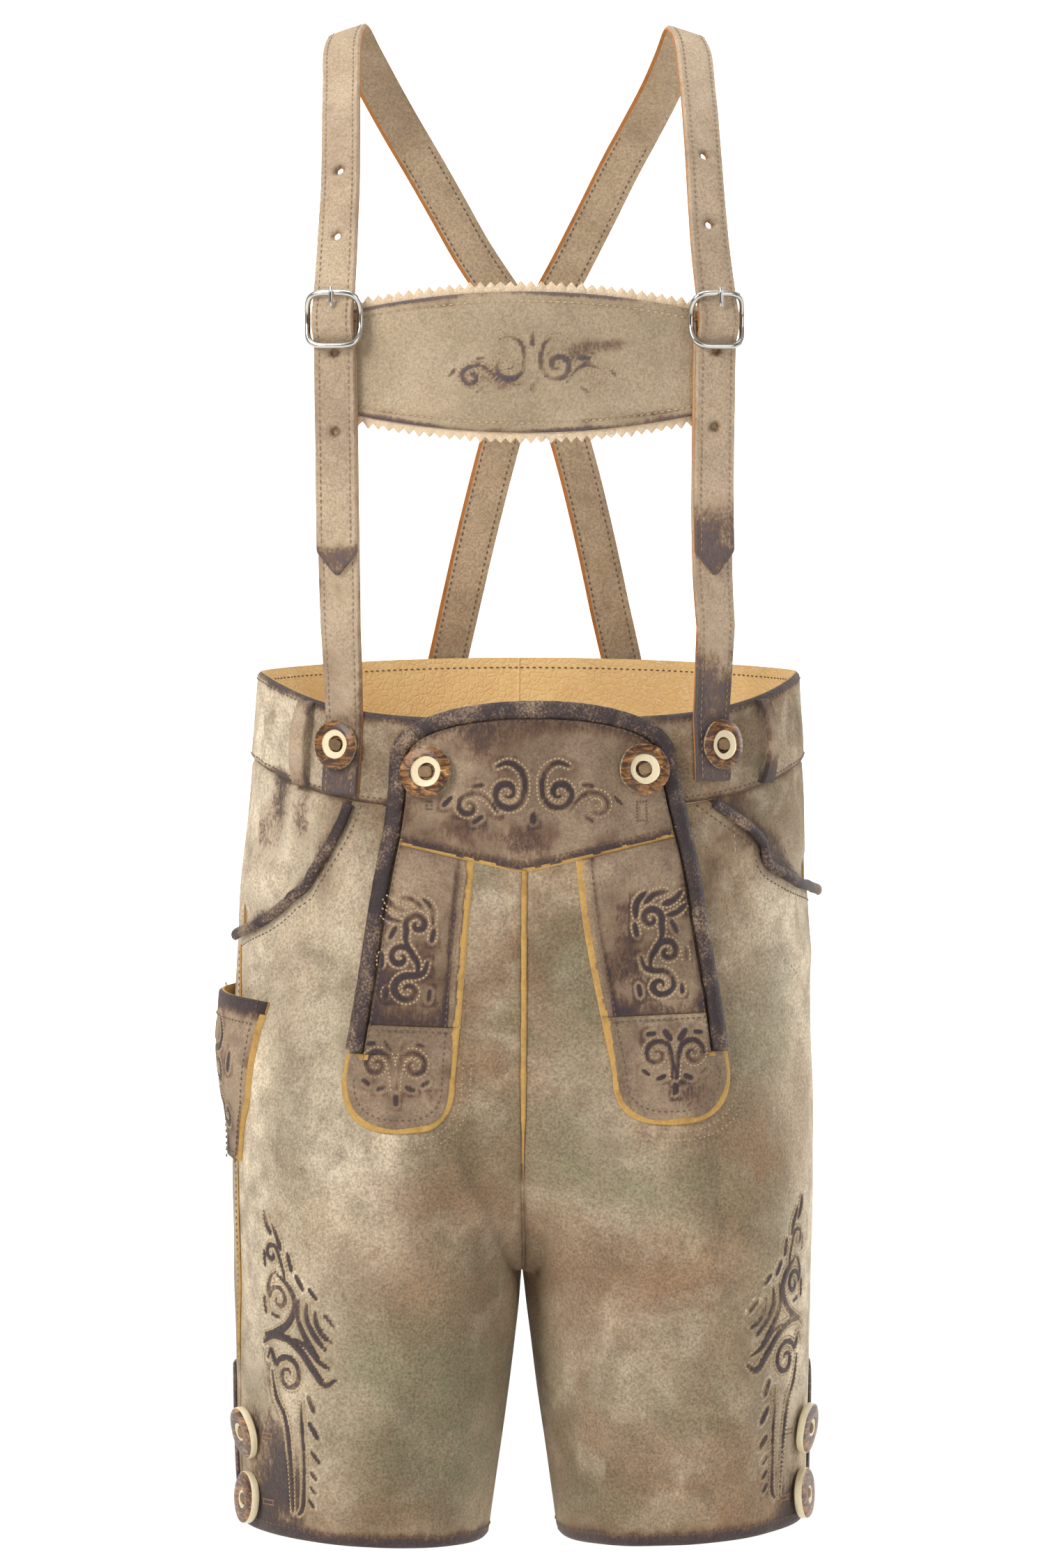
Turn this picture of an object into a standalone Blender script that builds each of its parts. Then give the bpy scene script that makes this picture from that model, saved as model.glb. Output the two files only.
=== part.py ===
"""Short leather trousers with a buttoned drop front, braces and a chest bar.

Every length below is in millimetres. X runs to the wearer's left, Y to the wearer's back and Z up.
Zero is the centre of the waist, level with the waistband's top edge at the sides.
A place on the garment is told by two numbers: "turn", the way round from the front centre in radians
(negative on the wearer's right), and the height.
"""
import math

import bmesh
import bpy
import numpy as np

MM = 0.001

# ---- driving dimensions -------------------------------------------------------------------------
LEATHER = 1.6            # body leather
GAP = 0.3                # free space between neighbouring pieces
BAND_THICKNESS = 2.6     # waistband, two layers
BAND_HEIGHT = 43.5
BAND_FRONT_DIP = 20.0    # how far the waistband drops at the front centre
BAND_BACK_RISE = 4.0
HEM_HEIGHT = -420.0
HEM_SLOPE = 8.0          # the hem is this much lower at the inseam
FORK_TOP = -150.0        # the two legs start to part here
CROTCH = -296.0
FORK_FOOT = -408.0       # away from the inner seams the legs are round from here down
FORK_REACH = 0.36        # turn over which the crotch's curve dies out
HALF_SEAM = 0.001        # half of a seam's gap, in turn

# Outer surface of the worn trousers, a row for each height.
SECTION_COLUMNS = ("height", "half_width", "front", "back", "sway", "seam_shift")
SECTIONS = (
    (40, 131.5, 94.0, 95.0, 0.0, -6.0),
    (0, 133.0, 96.0, 97.0, 0.0, -6.0),
    (-45, 136.0, 100.5, 105.0, -0.5, -6.0),
    (-100, 139.8, 104.0, 114.5, -2.2, -6.0),
    (-150, 142.3, 104.5, 119.0, -2.8, -5.6),
    (-200, 143.8, 102.0, 117.5, -3.0, -5.0),
    (-250, 143.9, 97.5, 110.0, -3.0, -3.8),
    (-300, 143.0, 91.0, 100.0, -3.0, -0.6),
    (-360, 142.0, 82.0, 88.0, -3.0, 0.0),
    (-430, 139.5, 71.0, 74.0, -3.0, 0.0),
)
INNER_LEG_COLUMNS = ("height", "across")
INNER_LEG = ((-240, 0.0), (-296, 0.2), (-310, 1.4), (-330, 3.9), (-355, 7.0), (-389, 12.0), (-430, 17.6))

# Soft creases that the worn leather keeps, deepest at their middle.
FOLD_COLUMNS = ("side", "turn", "height", "length", "width", "depth", "lean")
FOLDS = (
    (-1, 0.34, -262, 120, 30, -2.2, 0.35),
    (1, 0.36, -270, 130, 32, -2.4, 0.30),
    (-1, 0.62, -330, 120, 34, 1.8, 0.12),
    (1, 0.66, -300, 140, 36, 2.0, -0.10),
    (-1, 0.98, -270, 110, 30, -1.8, -0.20),
    (1, 1.02, -235, 120, 34, -2.0, 0.22),
    (1, 0.95, -135, 90, 30, 1.6, 0.35),
    (-1, 0.92, -150, 90, 28, 1.4, -0.30),
    (-1, 2.60, -262, 130, 34, -3.0, -0.40),
    (1, 2.55, -268, 120, 36, -3.2, -0.36),
    (-1, 2.20, -300, 130, 36, 2.0, 0.15),
    (1, 2.25, -315, 130, 34, 2.2, -0.12),
    (-1, 2.45, -110, 90, 30, -1.6, 0.30),
    (1, 2.40, -118, 90, 30, -1.8, -0.28),
)

# The side seam, and the curve that the front pocket opening follows down to it.
SEAM_COLUMNS = ("height", "right_turn", "left_turn")
SIDE_SEAM = ((0, 1.52, 1.60), (-50, 1.50, 1.60), (-110, 1.44, 1.61), (-157, 1.38, 1.62), (-246, 1.39, 1.62),
             (-359, 1.46, 1.61), (-430, 1.48, 1.60))
POCKET_COLUMNS = ("height", "right_turn", "left_turn")
POCKET_EDGE = ((-40, 0.63, 0.53), (-57, 0.68, 0.645), (-68, 0.705, 0.775), (-81, 0.76, 0.945),
               (-96, 0.845, 1.02), (-104, 0.90, 1.25), (-110, 0.97, 1.62), (-121, 1.15, 1.62),
               (-131, 1.45, 1.62), (-150, 1.60, 1.62))
POCKET_FOOT = {-1: -130.0, 1: -109.5}   # height where the opening meets the side seam
FACING_TUCK = 0.10                      # turn that the hip facing reaches under the front
FACING_SINK = LEATHER + 2 * GAP         # how far it lies behind the front's face there

# ---- drop front -----------------------------------------------------------------------------------
FLAP_COLUMNS = ("height", "right_across", "left_across")
FLAP_EDGE = ((0, -71.0, 66.0), (-39, -71.9, 66.4), (-52, -72.6, 68.6), (-71, -74.9, 72.9), (-90, -78.6, 77.6),
             (-120, -83.7, 82.8), (-147, -87.6, 87.3), (-166, -90.8, 90.4), (-181, -93.6, 92.6),
             (-195, -96.0, 94.6))
FLAP_LIFT = 3.8            # the flap's back stands this far off the body
FLAP_LIFT_RUN = 32.0       # height over which it comes down to the body
SLIT_FOOT = -187.0
SLIT_INSET = 8.8           # from the binding's outer edge to the flap's leather
UNDERLAP = 12.0            # the side front reaches this far behind the flap
ARCH_SHOULDER = -39.0      # where the flap's sides turn into its arched top
ARCH_TOP = -12.0
ARCH_POWER = 2.2
YOKE_POINT = (-8.3, -93.3)
YOKE_SLOPE = 0.22
FLY_SINK = 1.5             # the inner piece lies this much further in at its foot
YOKE_LAP = 8.0             # the fronts reach this far under the yoke
TRIM = 1.4                 # thickness of yoke, strips and hem tabs
BINDING_WIDTH = 8.5
BINDING_DEPTH = 5.4
BINDING_FOOT = -180.5
STRIP_COLUMNS = ("height", "right_inner", "left_inner")
STRIP_EDGE = ((-70, -30.5, 15.0), (-90, -31.9, 17.4), (-119, -34.8, 20.8), (-160, -38.0, 28.6),
              (-200, -41.0, 36.5), (-225, -42.0, 39.0))
STRIP_SEAM = {-1: -168.0, 1: -163.5}    # height of the seam across each strip
STRIP_FOOT = {-1: -219.5, 1: -216.0}
STRIP_ROUND = 25.0                      # height of the strip's rounded end

# ---- braces ---------------------------------------------------------------------------------------
BRACE_HALF = 10.2
BRACE = 2.6
BUCKLE_HEIGHT = 171.0
# Middle line of each brace: half the distance between the pair, their common shift, and the way they face.
BRACE_COLUMNS = ("spread", "shift", "depth", "height", "face_across", "face_depth", "face_height")
BRACE_ROUTE = (
    (91.0, -4.0, -80.5, 16, 0.42, -0.91, 0.0),
    (90.2, -5.5, -85.5, 44, 0.30, -0.95, 0.0),
    (90.0, -6.3, -88.3, 76, 0.27, -0.96, 0.0),
    (90.2, -6.5, -90.0, 112, 0.276, -0.961, 0.0),
    (90.6, -6.5, -90.0, 145, 0.276, -0.961, 0.0),
    (90.8, -6.5, -90.0, 182, 0.276, -0.961, 0.0),
    (90.3, -6.7, -84.5, 206, 0.36, -0.90, 0.22),
    (90.1, -6.3, -69.0, 242, 0.46, -0.80, 0.42),
    (89.8, -6.2, -52.0, 268, 0.48, -0.66, 0.60),
    (88.6, -6.1, -29.0, 295, 0.44, -0.42, 0.80),
    (87.2, -6.0, -11.0, 311, 0.36, -0.16, 0.92),
    (84.0, -5.8, 2.0, 317, 0.26, 0.14, 0.95),
    (79.5, -4.4, 17.0, 308, 0.14, 0.50, 0.84),
    (71.8, -2.5, 35.0, 292, 0.10, 0.72, 0.68),
    (61.0, -1.1, 54.0, 272, 0.10, 0.84, 0.50),
    (49.5, 0.1, 68.0, 252, 0.10, 0.91, 0.38),
    (38.2, 1.4, 78.0, 231, 0.08, 0.95, 0.28),
    (26.9, 2.4, 86.0, 210, 0.05, 0.98, 0.18),
    (12.0, 4.6, 92.3, 185, 0.0, 1.0, 0.08),
    (-1.5, 6.6, 95.0, 162, 0.0, 1.0, 0.02),
    (-11.5, 8.0, 96.2, 135, 0.0, 1.0, 0.0),
    (-20.3, 8.4, 96.8, 105, 0.0, 1.0, 0.0),
    (-30.8, 8.3, 97.2, 63, -0.05, 1.0, 0.0),
    (-40.0, 8.0, 97.5, 22, -0.15, 0.99, 0.0),
)
TAIL_TIP = 47.5
HOOK_RADIUS = 2.5
HOOK_THICKNESS = 1.6
CROSS_LOW = 132.0          # the left brace passes behind the right one between these heights
CROSS_HIGH = 187.0
# How far the upper brace stands off that line while it lies on the lower brace and runs through the buckle.
STANDOFF_COLUMNS = ("height", "out")
STANDOFF = ((40, 3.2), (140, 3.2), (152, 3.3), (157, 3.4), (160.5, 3.45), (164, 6.2), (167.5, 7.9),
            (173.5, 7.9), (177, 6.4), (181.5, 3.9), (185, 3.1), (192, 1.2), (200, 0.0), (400, 0.0))
FRONT_ANCHOR = {-1: (-0.735, -59.0), 1: (0.69, -52.5)}      # turn and height of each lower brace's end
# Turn of the brace at the top and at the foot of the waistband's back, on the side of each back button.
BACK_ANCHOR = {-1: (-2.852, -2.789), 1: (2.725, 2.660)}
BACK_BRACE_FOOT = -52.0
CROSSING_ACROSS = 6.2
CROSSING_DEPTH = 96.0
CROSSING_HEIGHT = 167.0
CROSSING_HALF_WIDTH = 21.0
CROSSING_HALF_HEIGHT = 25.0
CROSSING_THICKNESS = 2.0

# ---- chest bar --------------------------------------------------------------------------------------
BAR_SHIFT = -6.5
BAR_HALF = 99.0
BAR_SAG = 12.9             # the bar's ends lie this much further back than its middle, at BAR_SPAN
BAR_SPAN = 90.2
BAR_DEPTH = -100.1
BAR_TOP = 184.3
BAR_FOOT = 116.9
BAR_BOW = 10.4             # its top and bottom edges bow by this much
BAR_THICKNESS = 2.2
PINKED_PITCH = 4.9
PINKED_REACH = (2.6, 5.2)  # valley and tip beyond the bar's edge
PINKED_THICKNESS = 1.2

# ---- buckles --------------------------------------------------------------------------------------------
BUCKLE_HALF_WIDTH = 13.0
BUCKLE_HALF_HEIGHT = 12.6
BUCKLE_WIRE = 1.45         # half the thickness of the frame's wire
BUCKLE_SEGMENTS = 24
BUCKLE_STAND = 7.6         # the frame's top and bottom stand this far off the brace
BUCKLE_BOW = 4.4           # its sides bow in by this much
BAR_WIRE = 1.25
PRONG_ROUTE = ((6.4, 9.6), (8.6, 10.0), (12.6, 10.15), (15.2, 9.7))    # above and in front of the centre
PRONG_HALVES = (1.0, 0.75)

# ---- horn buttons -----------------------------------------------
BUTTON_PROFILE_COLUMNS = ("radius", "height")
BUTTON_PROFILE = ((0.0, 0.0), (0.20, 0.0), (0.20, 0.15), (0.84, 0.17), (1.0, 0.32), (0.90, 0.44), (0.58, 0.49),
                  (0.0, 0.40))   # in button radii
BUTTON_SEGMENTS = 12
FLAP_BUTTONS = ((-1, -54.1, -46.0), (1, 49.4, -45.0))    # side, across and height
FLAP_BUTTON_SIZE = 25.0
BRACE_BUTTONS = ((-1, -0.742), (1, 0.712))               # side and turn
BRACE_BUTTON_HEIGHT = -34.0
BACK_BUTTON_HEIGHT = -30.0
BRACE_BUTTON_SIZE = 23.5
HEM_BUTTONS = (("upper", -372.0), ("lower", -405.0))
HEM_BUTTON_TURN = 1.353
HEM_BUTTON_SIZE = 25.5

LOOP_HALF = 4.6
LOOP_THICKNESS = 2.0
LOOP_BOW = 5.6
BELT_LOOP_TURNS = {"front_right": -0.945, "front_left": 0.965, "back_right": -2.22, "back_left": 2.22}

KNIFE_POCKET_DEPTH = -20.0
KNIFE_POCKET_TOP = -157.0
KNIFE_POCKET_FOOT = -241.0
KNIFE_POCKET_THICKNESS = 2.6
KNIFE_POCKET_BULGE = 6.4
KNIFE_POCKET_TURN = 1.38     # first guess of its middle, before it is moved to KNIFE_POCKET_DEPTH
KNIFE_POCKET_SLANT = 5.0     # the front end of its mouth is this much lower
KNIFE_COLUMNS = ("height", "half_width")
KNIFE_SHAPE = ((-150, 31.0), (-200, 31.0), (-210, 29.5), (-222, 20.5), (-230, 18.0), (-250, 15.0))

COLOURS = {
    "suede": (0.46, 0.38, 0.27, 1.0), "dark_leather": (0.06, 0.05, 0.055, 1.0),
    "trim_leather": (0.36, 0.29, 0.21, 1.0), "brace_leather": (0.44, 0.34, 0.24, 1.0),
    "pinked_leather": (0.76, 0.62, 0.38, 1.0), "horn": (0.22, 0.11, 0.04, 1.0),
    "nickel": (0.75, 0.75, 0.76, 1.0), "lining_leather": (0.62, 0.42, 0.18, 1.0),
}


HEM_TAB_TOP = -343.0
HEM_TAB_SHOULDER = -355.0    # below this the tab has its full width
HEM_TAB_ROUND = 12.5
HEM_TAB_TURN = 1.63          # its middle, just behind the side seam
HEM_TAB_HALF = 0.105         # half its width, in turn

# ---- tables and smooth steps ----------------------------------------------------------------------
def read_column(table, columns, name, height, key="height"):
    """Read one column of a table at any height, along a smooth curve through its rows."""
    rows = np.array(sorted(table, key=lambda row: row[columns.index(key)]), float)
    x = rows[:, columns.index(key)]
    y = rows[:, columns.index(name)]
    slope = np.gradient(y, x)
    at = np.clip(np.asarray(height, float), x[0], x[-1])
    i = np.clip(np.searchsorted(x, at) - 1, 0, len(x) - 2)
    step = x[i + 1] - x[i]
    s = (at - x[i]) / step
    return ((2 * s**3 - 3 * s**2 + 1) * y[i] + (s**3 - 2 * s**2 + s) * step * slope[i]
            + (3 * s**2 - 2 * s**3) * y[i + 1] + (s**3 - s**2) * step * slope[i + 1])


def section(name, height):
    return read_column(SECTIONS, SECTION_COLUMNS, name, height)


def ease(value):
    """Rise softly from 0 to 1 as the value does."""
    s = np.clip(value, 0.0, 1.0)
    return s * s * (3 - 2 * s)


def unit(vectors):
    return vectors / np.linalg.norm(vectors, axis=-1, keepdims=True)


# ---- the body's surface -----------------------------------------------------------------------------
def fork_share(turn, height):
    """0 on the hips and 1 low on the legs: a quarter of a circle at the inner seams, softer away from them."""
    s = np.clip((FORK_TOP - height) / (FORK_TOP - CROTCH), 0, 1)
    at_seam = 1 - np.sqrt(1 - s**2)
    beside = ease((FORK_TOP - height) / (FORK_TOP - FORK_FOOT))
    from_seam = np.minimum(turn, math.pi - turn)
    return beside + (at_seam - beside) * np.exp(-(from_seam / FORK_REACH) ** 2)


def half_surface(turn, height):
    """Inner face of one side's leather: an ellipse round the hips that parts into one round each leg."""
    half = section("half_width", height) - LEATHER
    front = section("front", height) - LEATHER
    back = section("back", height) - LEATHER
    inner = np.maximum(read_column(INNER_LEG, INNER_LEG_COLUMNS, "across", height), 0) + LEATHER
    share = fork_share(turn, height)
    across = (1 - share) * half * np.sin(turn) + share * (inner + (half - inner) * np.sin(turn) ** 2)
    round_part = (1 - share) * np.abs(np.cos(turn)) + share**0.65 * np.abs(np.sin(2 * turn))
    depth = np.where(turn < math.pi / 2, -front * round_part, back * round_part)
    return np.stack([across, depth, height], -1)


def half_normal(turn, height):
    step = np.where(turn < math.pi / 2, 1e-3, -1e-3)
    round_way = (half_surface(turn + step, height) - half_surface(turn, height)) * np.sign(step)[..., None]
    up_way = half_surface(turn, height + 0.5) - half_surface(turn, height - 0.5)
    return unit(np.cross(round_way, up_way))


def fold_height(side, turn, height):
    """Sum of the creases: each is a smooth ridge or trough, long one way and narrow the other."""
    total = np.zeros_like(turn)
    for row in FOLDS:
        fold = dict(zip(FOLD_COLUMNS, row))
        along = (height - fold["height"]) / fold["length"]
        radius = 72.0
        beside = ((turn - fold["turn"]) * 2 * radius - fold["lean"] * (height - fold["height"])) / fold["width"]
        total = total + (side == fold["side"]) * fold["depth"] * np.exp(-4 * along**2 - 4 * beside**2)
    return total


def body(turn, height, out=0.0, seams=False, folds=True):
    """Point at a signed turn and a height, moved out from the leather's inner face."""
    turn, height, out = np.broadcast_arrays(np.asarray(turn, float), np.asarray(height, float), out)
    side = np.where(turn < 0, -1, 1)
    half_turn = np.abs(turn)
    rise = fold_height(side, half_turn, height) * np.sin(half_turn) ** 2 if folds else 0.0
    point = half_surface(half_turn, height) + half_normal(half_turn, height) * (out + rise)[..., None]
    if seams:
        point[..., 0] = np.maximum(point[..., 0], GAP / 2)
    point[..., 0] *= side
    front_pull = np.where(half_turn < math.pi / 2, np.cos(half_turn) ** 4, 0)
    point[..., 0] += section("sway", height) + section("seam_shift", height) * front_pull
    return point


def body_normal(turn, height):
    turn, height = np.broadcast_arrays(np.asarray(turn, float), np.asarray(height, float))
    normal = half_normal(np.abs(turn), height)
    normal[..., 0] *= np.where(turn < 0, -1, 1)
    return normal


def turn_at(across, height, out):
    """Turn of the front point that lies at a given distance across, found by halving."""
    across, height, out = np.broadcast_arrays(np.asarray(across, float), np.asarray(height, float), out)
    low = np.full(across.shape, -math.pi / 2)
    high = np.full(across.shape, math.pi / 2)
    for _ in range(34):
        middle = (low + high) / 2
        beyond = body(middle, height, out)[..., 0] > across
        high = np.where(beyond, middle, high)
        low = np.where(beyond, low, middle)
    return (low + high) / 2


def band_top(turn):
    half_turn = np.abs(turn)
    dip = -BAND_FRONT_DIP * (1 - np.sin(half_turn) ** 4)
    rise = BAND_BACK_RISE * np.cos(half_turn) ** 2
    return np.where(half_turn < math.pi / 2, dip, rise)


def band_foot(turn):
    return band_top(turn) - BAND_HEIGHT


def hem_drop(turn, height):
    """How much lower a row of the leg lies than at the side; full at the hem."""
    return -HEM_SLOPE * np.cos(turn) ** 2 * ease((-300 - height) / 120)


# ---- making solids ----------------------------------------------------------------------------------
def material(name):
    made = bpy.data.materials.get(name)
    if made:
        return made
    made = bpy.data.materials.new(name)
    made.use_nodes = True
    shader = made.node_tree.nodes["Principled BSDF"]
    shader.inputs["Base Color"].default_value = COLOURS[name]
    shader.inputs["Roughness"].default_value = 0.2 if name == "nickel" else 0.85
    shader.inputs["Metallic"].default_value = 1.0 if name == "nickel" else 0.0
    return made


def add_solid(name, points, faces, finish):
    mesh = bpy.data.meshes.new(name)
    mesh.from_pydata((np.asarray(points, float) * MM).tolist(), [], faces)
    edit = bmesh.new()
    edit.from_mesh(mesh)
    bmesh.ops.recalc_face_normals(edit, faces=edit.faces)
    edit.to_mesh(mesh)
    edit.free()
    mesh.shade_smooth()
    mesh.set_sharp_from_angle(angle=math.radians(40))
    mesh.materials.append(material(finish))
    made = bpy.data.objects.new(name, mesh)
    bpy.context.scene.collection.objects.link(made)
    return made


def add_wall(name, outer, inner, cells, finish):
    """Close two layers of points over the same cells: every open edge of the cells gets a side face."""
    count = len(outer)
    ways = {(a, b) for cell in cells for a, b in zip(cell, cell[1:] + cell[:1])}
    rim = [(a, b) for a, b in sorted(ways) if (b, a) not in ways]
    faces = list(cells)
    faces += [tuple(i + count for i in reversed(cell)) for cell in cells]
    faces += [(b, a, a + count, b + count) for a, b in rim]
    return add_solid(name, np.concatenate([outer, inner]), faces, finish)


def grid_cells(rows, columns, start=0):
    cells = []
    for r in range(rows - 1):
        for c in range(columns - 1):
            a = start + r * columns + c
            cells.append((a, a + 1, a + columns + 1, a + columns))
    return cells


def add_panel(name, turn, height, low, high, finish, seams=False):
    """A sheet of leather over a grid of turns and heights, between two distances off the body."""
    outer = body(turn, height, high, seams).reshape(-1, 3)
    inner = body(turn, height, low, seams).reshape(-1, 3)
    return add_wall(name, outer, inner, grid_cells(*turn.shape), finish)


def add_tube(name, path, normals, half_width, half_depth, sides, finish, closed=False):
    """Carry an ellipse along a path; its depth points along the normals."""
    path = np.asarray(path, float)
    if closed:
        tangent = unit(np.roll(path, -1, 0) - np.roll(path, 1, 0))
    else:
        tangent = unit(np.gradient(path, axis=0))
    across = unit(np.cross(tangent, normals))
    depth = np.cross(across, tangent)
    angle = np.arange(sides) * 2 * math.pi / sides
    half_width = np.broadcast_to(half_width, len(path))[:, None, None]
    half_depth = np.broadcast_to(half_depth, len(path))[:, None, None]
    points = (path[:, None] + across[:, None] * half_width * np.cos(angle)[None, :, None]
              + depth[:, None] * half_depth * np.sin(angle)[None, :, None])
    count = len(path)
    faces = []
    for r in range(count if closed else count - 1):
        for c in range(sides):
            a, b = r * sides, (r + 1) % count * sides
            d = (c + 1) % sides
            faces.append((a + c, a + d, b + d, b + c))
    if not closed:
        faces.append(tuple(range(sides)))
        faces.append(tuple((count - 1) * sides + c for c in reversed(range(sides))))
    return add_solid(name, points.reshape(-1, 3), faces, finish)


def add_ribbon(name, path, normals, half_width, thickness, finish):
    """Carry a flat strap section along a path; the normals say which way it faces."""
    path = np.asarray(path, float)
    tangent = unit(np.gradient(path, axis=0))
    across = unit(np.cross(tangent, normals))
    face = np.cross(across, tangent)
    wide = across * np.broadcast_to(half_width, len(path))[:, None]
    thick = face * np.broadcast_to(thickness, len(path))[:, None] / 2
    corners = np.stack([path - wide + thick, path + wide + thick, path + wide - thick, path - wide - thick], 1)
    faces = []
    for r in range(len(path) - 1):
        for c in range(4):
            a, b, d = 4 * r, 4 * r + 4, (c + 1) % 4
            faces.append((a + c, a + d, b + d, b + c))
    faces.append((3, 2, 1, 0))
    last = 4 * (len(path) - 1)
    faces.append((last, last + 1, last + 2, last + 3))
    return add_solid(name, corners.reshape(-1, 3), faces, finish)


def add_button(name, seat, normal, up, diameter):
    """A turned horn disc on its shank; the seat is the point its shank stands on."""
    normal = unit(np.asarray(normal, float))
    side_way = unit(np.cross(np.asarray(up, float), normal))
    up_way = np.cross(normal, side_way)
    angle = np.arange(BUTTON_SEGMENTS) * 2 * math.pi / BUTTON_SEGMENTS
    points, rings = [], []
    for radius, height in BUTTON_PROFILE:
        start = len(points)
        if radius == 0:
            points.append(seat + normal * height * diameter / 2)
            rings.append([start] * BUTTON_SEGMENTS)
            continue
        ring = seat + normal * height * diameter / 2 + radius * diameter / 2 * (
            np.cos(angle)[:, None] * side_way + np.sin(angle)[:, None] * up_way)
        points.extend(ring)
        rings.append(list(range(start, start + BUTTON_SEGMENTS)))
    faces = []
    for low, high in zip(rings, rings[1:]):
        for c in range(BUTTON_SEGMENTS):
            d = (c + 1) % BUTTON_SEGMENTS
            face = dict.fromkeys((low[c], low[d], high[d], high[c]))
            faces.append(tuple(face))
    return add_solid(name, np.array(points), faces, "horn")


# ---- trouser panels -----------------------------------------------------------------------------------
SIDES = {-1: "right", 1: "left"}
# Rows of each front above the slit's foot, as shares of that height: close where the pocket's edge runs level.
UPPER_SHARES = {
    -1: (0, 0.10, 0.19, 0.28, 0.36, 0.42, 0.465, 0.505, 0.54, 0.57, 0.595, 0.615, 0.67, 0.76, 0.84, 0.92, 1),
    1: (0, 0.09, 0.17, 0.25, 0.31, 0.345, 0.375, 0.40, 0.42, 0.437, 0.452, 0.467, 0.53, 0.64, 0.77, 0.89, 1),
}
LOWER_ROWS = (-201, -217, -233, -247, -259, -270, -279, -287, -292.5, -296, -300, -309, -323, -341, -361, -381,
              -401, -420)


def side_column(side, kind):
    return SIDES[side] + "_" + kind


def seam_turn(side, height):
    return read_column(SIDE_SEAM, SEAM_COLUMNS, side_column(side, "turn"), height)


def pocket_turn(side, height):
    return read_column(POCKET_EDGE, POCKET_COLUMNS, side_column(side, "turn"), height)


def front_limit(side, height):
    """Outer edge of a front panel: the pocket's curve above its foot and the side seam below."""
    seam = seam_turn(side, height)
    return np.where(height > POCKET_FOOT[side], np.minimum(pocket_turn(side, height), seam), seam) - HALF_SEAM


def flap_across(height, side):
    return read_column(FLAP_EDGE, FLAP_COLUMNS, side_column(side, "across"), height)


def flap_lift(height):
    return FLAP_LIFT * ease((height - SLIT_FOOT) / FLAP_LIFT_RUN)


def yoke_foot(across):
    return YOKE_POINT[1] + YOKE_SLOPE * (np.sqrt((across - YOKE_POINT[0]) ** 2 + 9.0) - 3.0)


def make_front(side):
    """One front: the flap's half lies inside the slit and lifts off, the rest runs to the side seam."""
    upper, inner_columns, outer_columns = len(UPPER_SHARES[side]), 6, 8
    edge = flap_across(SLIT_FOOT, side) - side * SLIT_INSET
    slit_turn = side * float(turn_at(edge, SLIT_FOOT, LEATHER))
    flap_turn, flap_height, side_turn, side_height = [], [], [], []
    for s in UPPER_SHARES[side]:
        share = np.linspace(0, 1, inner_columns)
        top = yoke_foot(YOKE_POINT[0] + side * share * 62.0) + YOKE_LAP
        height = top + (SLIT_FOOT - top) * s
        edge = flap_across(height, side) - side * SLIT_INSET
        reach = side * turn_at(edge, height, LEATHER + flap_lift(height))
        reach = np.where(s == 1, slit_turn, reach)
        flap_turn.append(HALF_SEAM + (reach - HALF_SEAM) * share)
        flap_height.append(height)
        tuck = -0.4 + (UNDERLAP + 0.4) * ease((height[-1] - SLIT_FOOT - 22) / 30)
        low_edge = flap_across(height[-1], side) - side * (SLIT_INSET + tuck)
        start = slit_turn if s == 1 else side * float(turn_at(low_edge, height[-1], LEATHER))
        share = np.linspace(0, 1, outer_columns)
        turn = start + (float(front_limit(side, height[-1])) - start) * share
        for _ in range(12):
            top = band_foot(turn) - GAP
            height = top + (SLIT_FOOT - top) * s
            turn = start + (float(front_limit(side, height[-1])) - start) * share
        side_turn.append(turn)
        side_height.append(height)
    for nominal in LOWER_ROWS:
        limit = float(front_limit(side, nominal))
        split = slit_turn + (0.45 * limit - slit_turn) * ease((SLIT_FOOT - nominal) / 120)
        turn = np.concatenate([np.linspace(HALF_SEAM, split, inner_columns),
                               np.linspace(split, limit, outer_columns)[1:]])
        height = nominal + hem_drop(turn, nominal)
        flap_turn.append(turn[:inner_columns])
        flap_height.append(height[:inner_columns])
        side_turn.append(turn[inner_columns - 1:])
        side_height.append(height[inner_columns - 1:])
    flap_turn, flap_height = np.array(flap_turn), np.array(flap_height)
    side_turn, side_height = np.array(side_turn), np.array(side_height)
    rows = len(flap_turn)
    lift = flap_lift(flap_height)
    layers = []
    for out in (LEATHER, 0.0):
        flap = body(side * flap_turn, flap_height, lift + out, seams=True)
        rest = body(side * side_turn, side_height, out, seams=True)
        layers.append(np.concatenate([flap.reshape(-1, 3), rest.reshape(-1, 3)]))
    cells = grid_cells(rows, inner_columns) + grid_cells(rows, outer_columns, rows * inner_columns)
    joined = {rows * inner_columns + r * outer_columns: r * inner_columns + inner_columns - 1
              for r in range(upper - 1, rows)}
    cells = [tuple(joined.get(i, i) for i in cell) for cell in cells]
    used = sorted({i for cell in cells for i in cell})
    place = {old: new for new, old in enumerate(used)}
    cells = [tuple(place[i] for i in cell) for cell in cells]
    add_wall("front_" + SIDES[side], layers[0][used], layers[1][used], cells, "suede")


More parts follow.
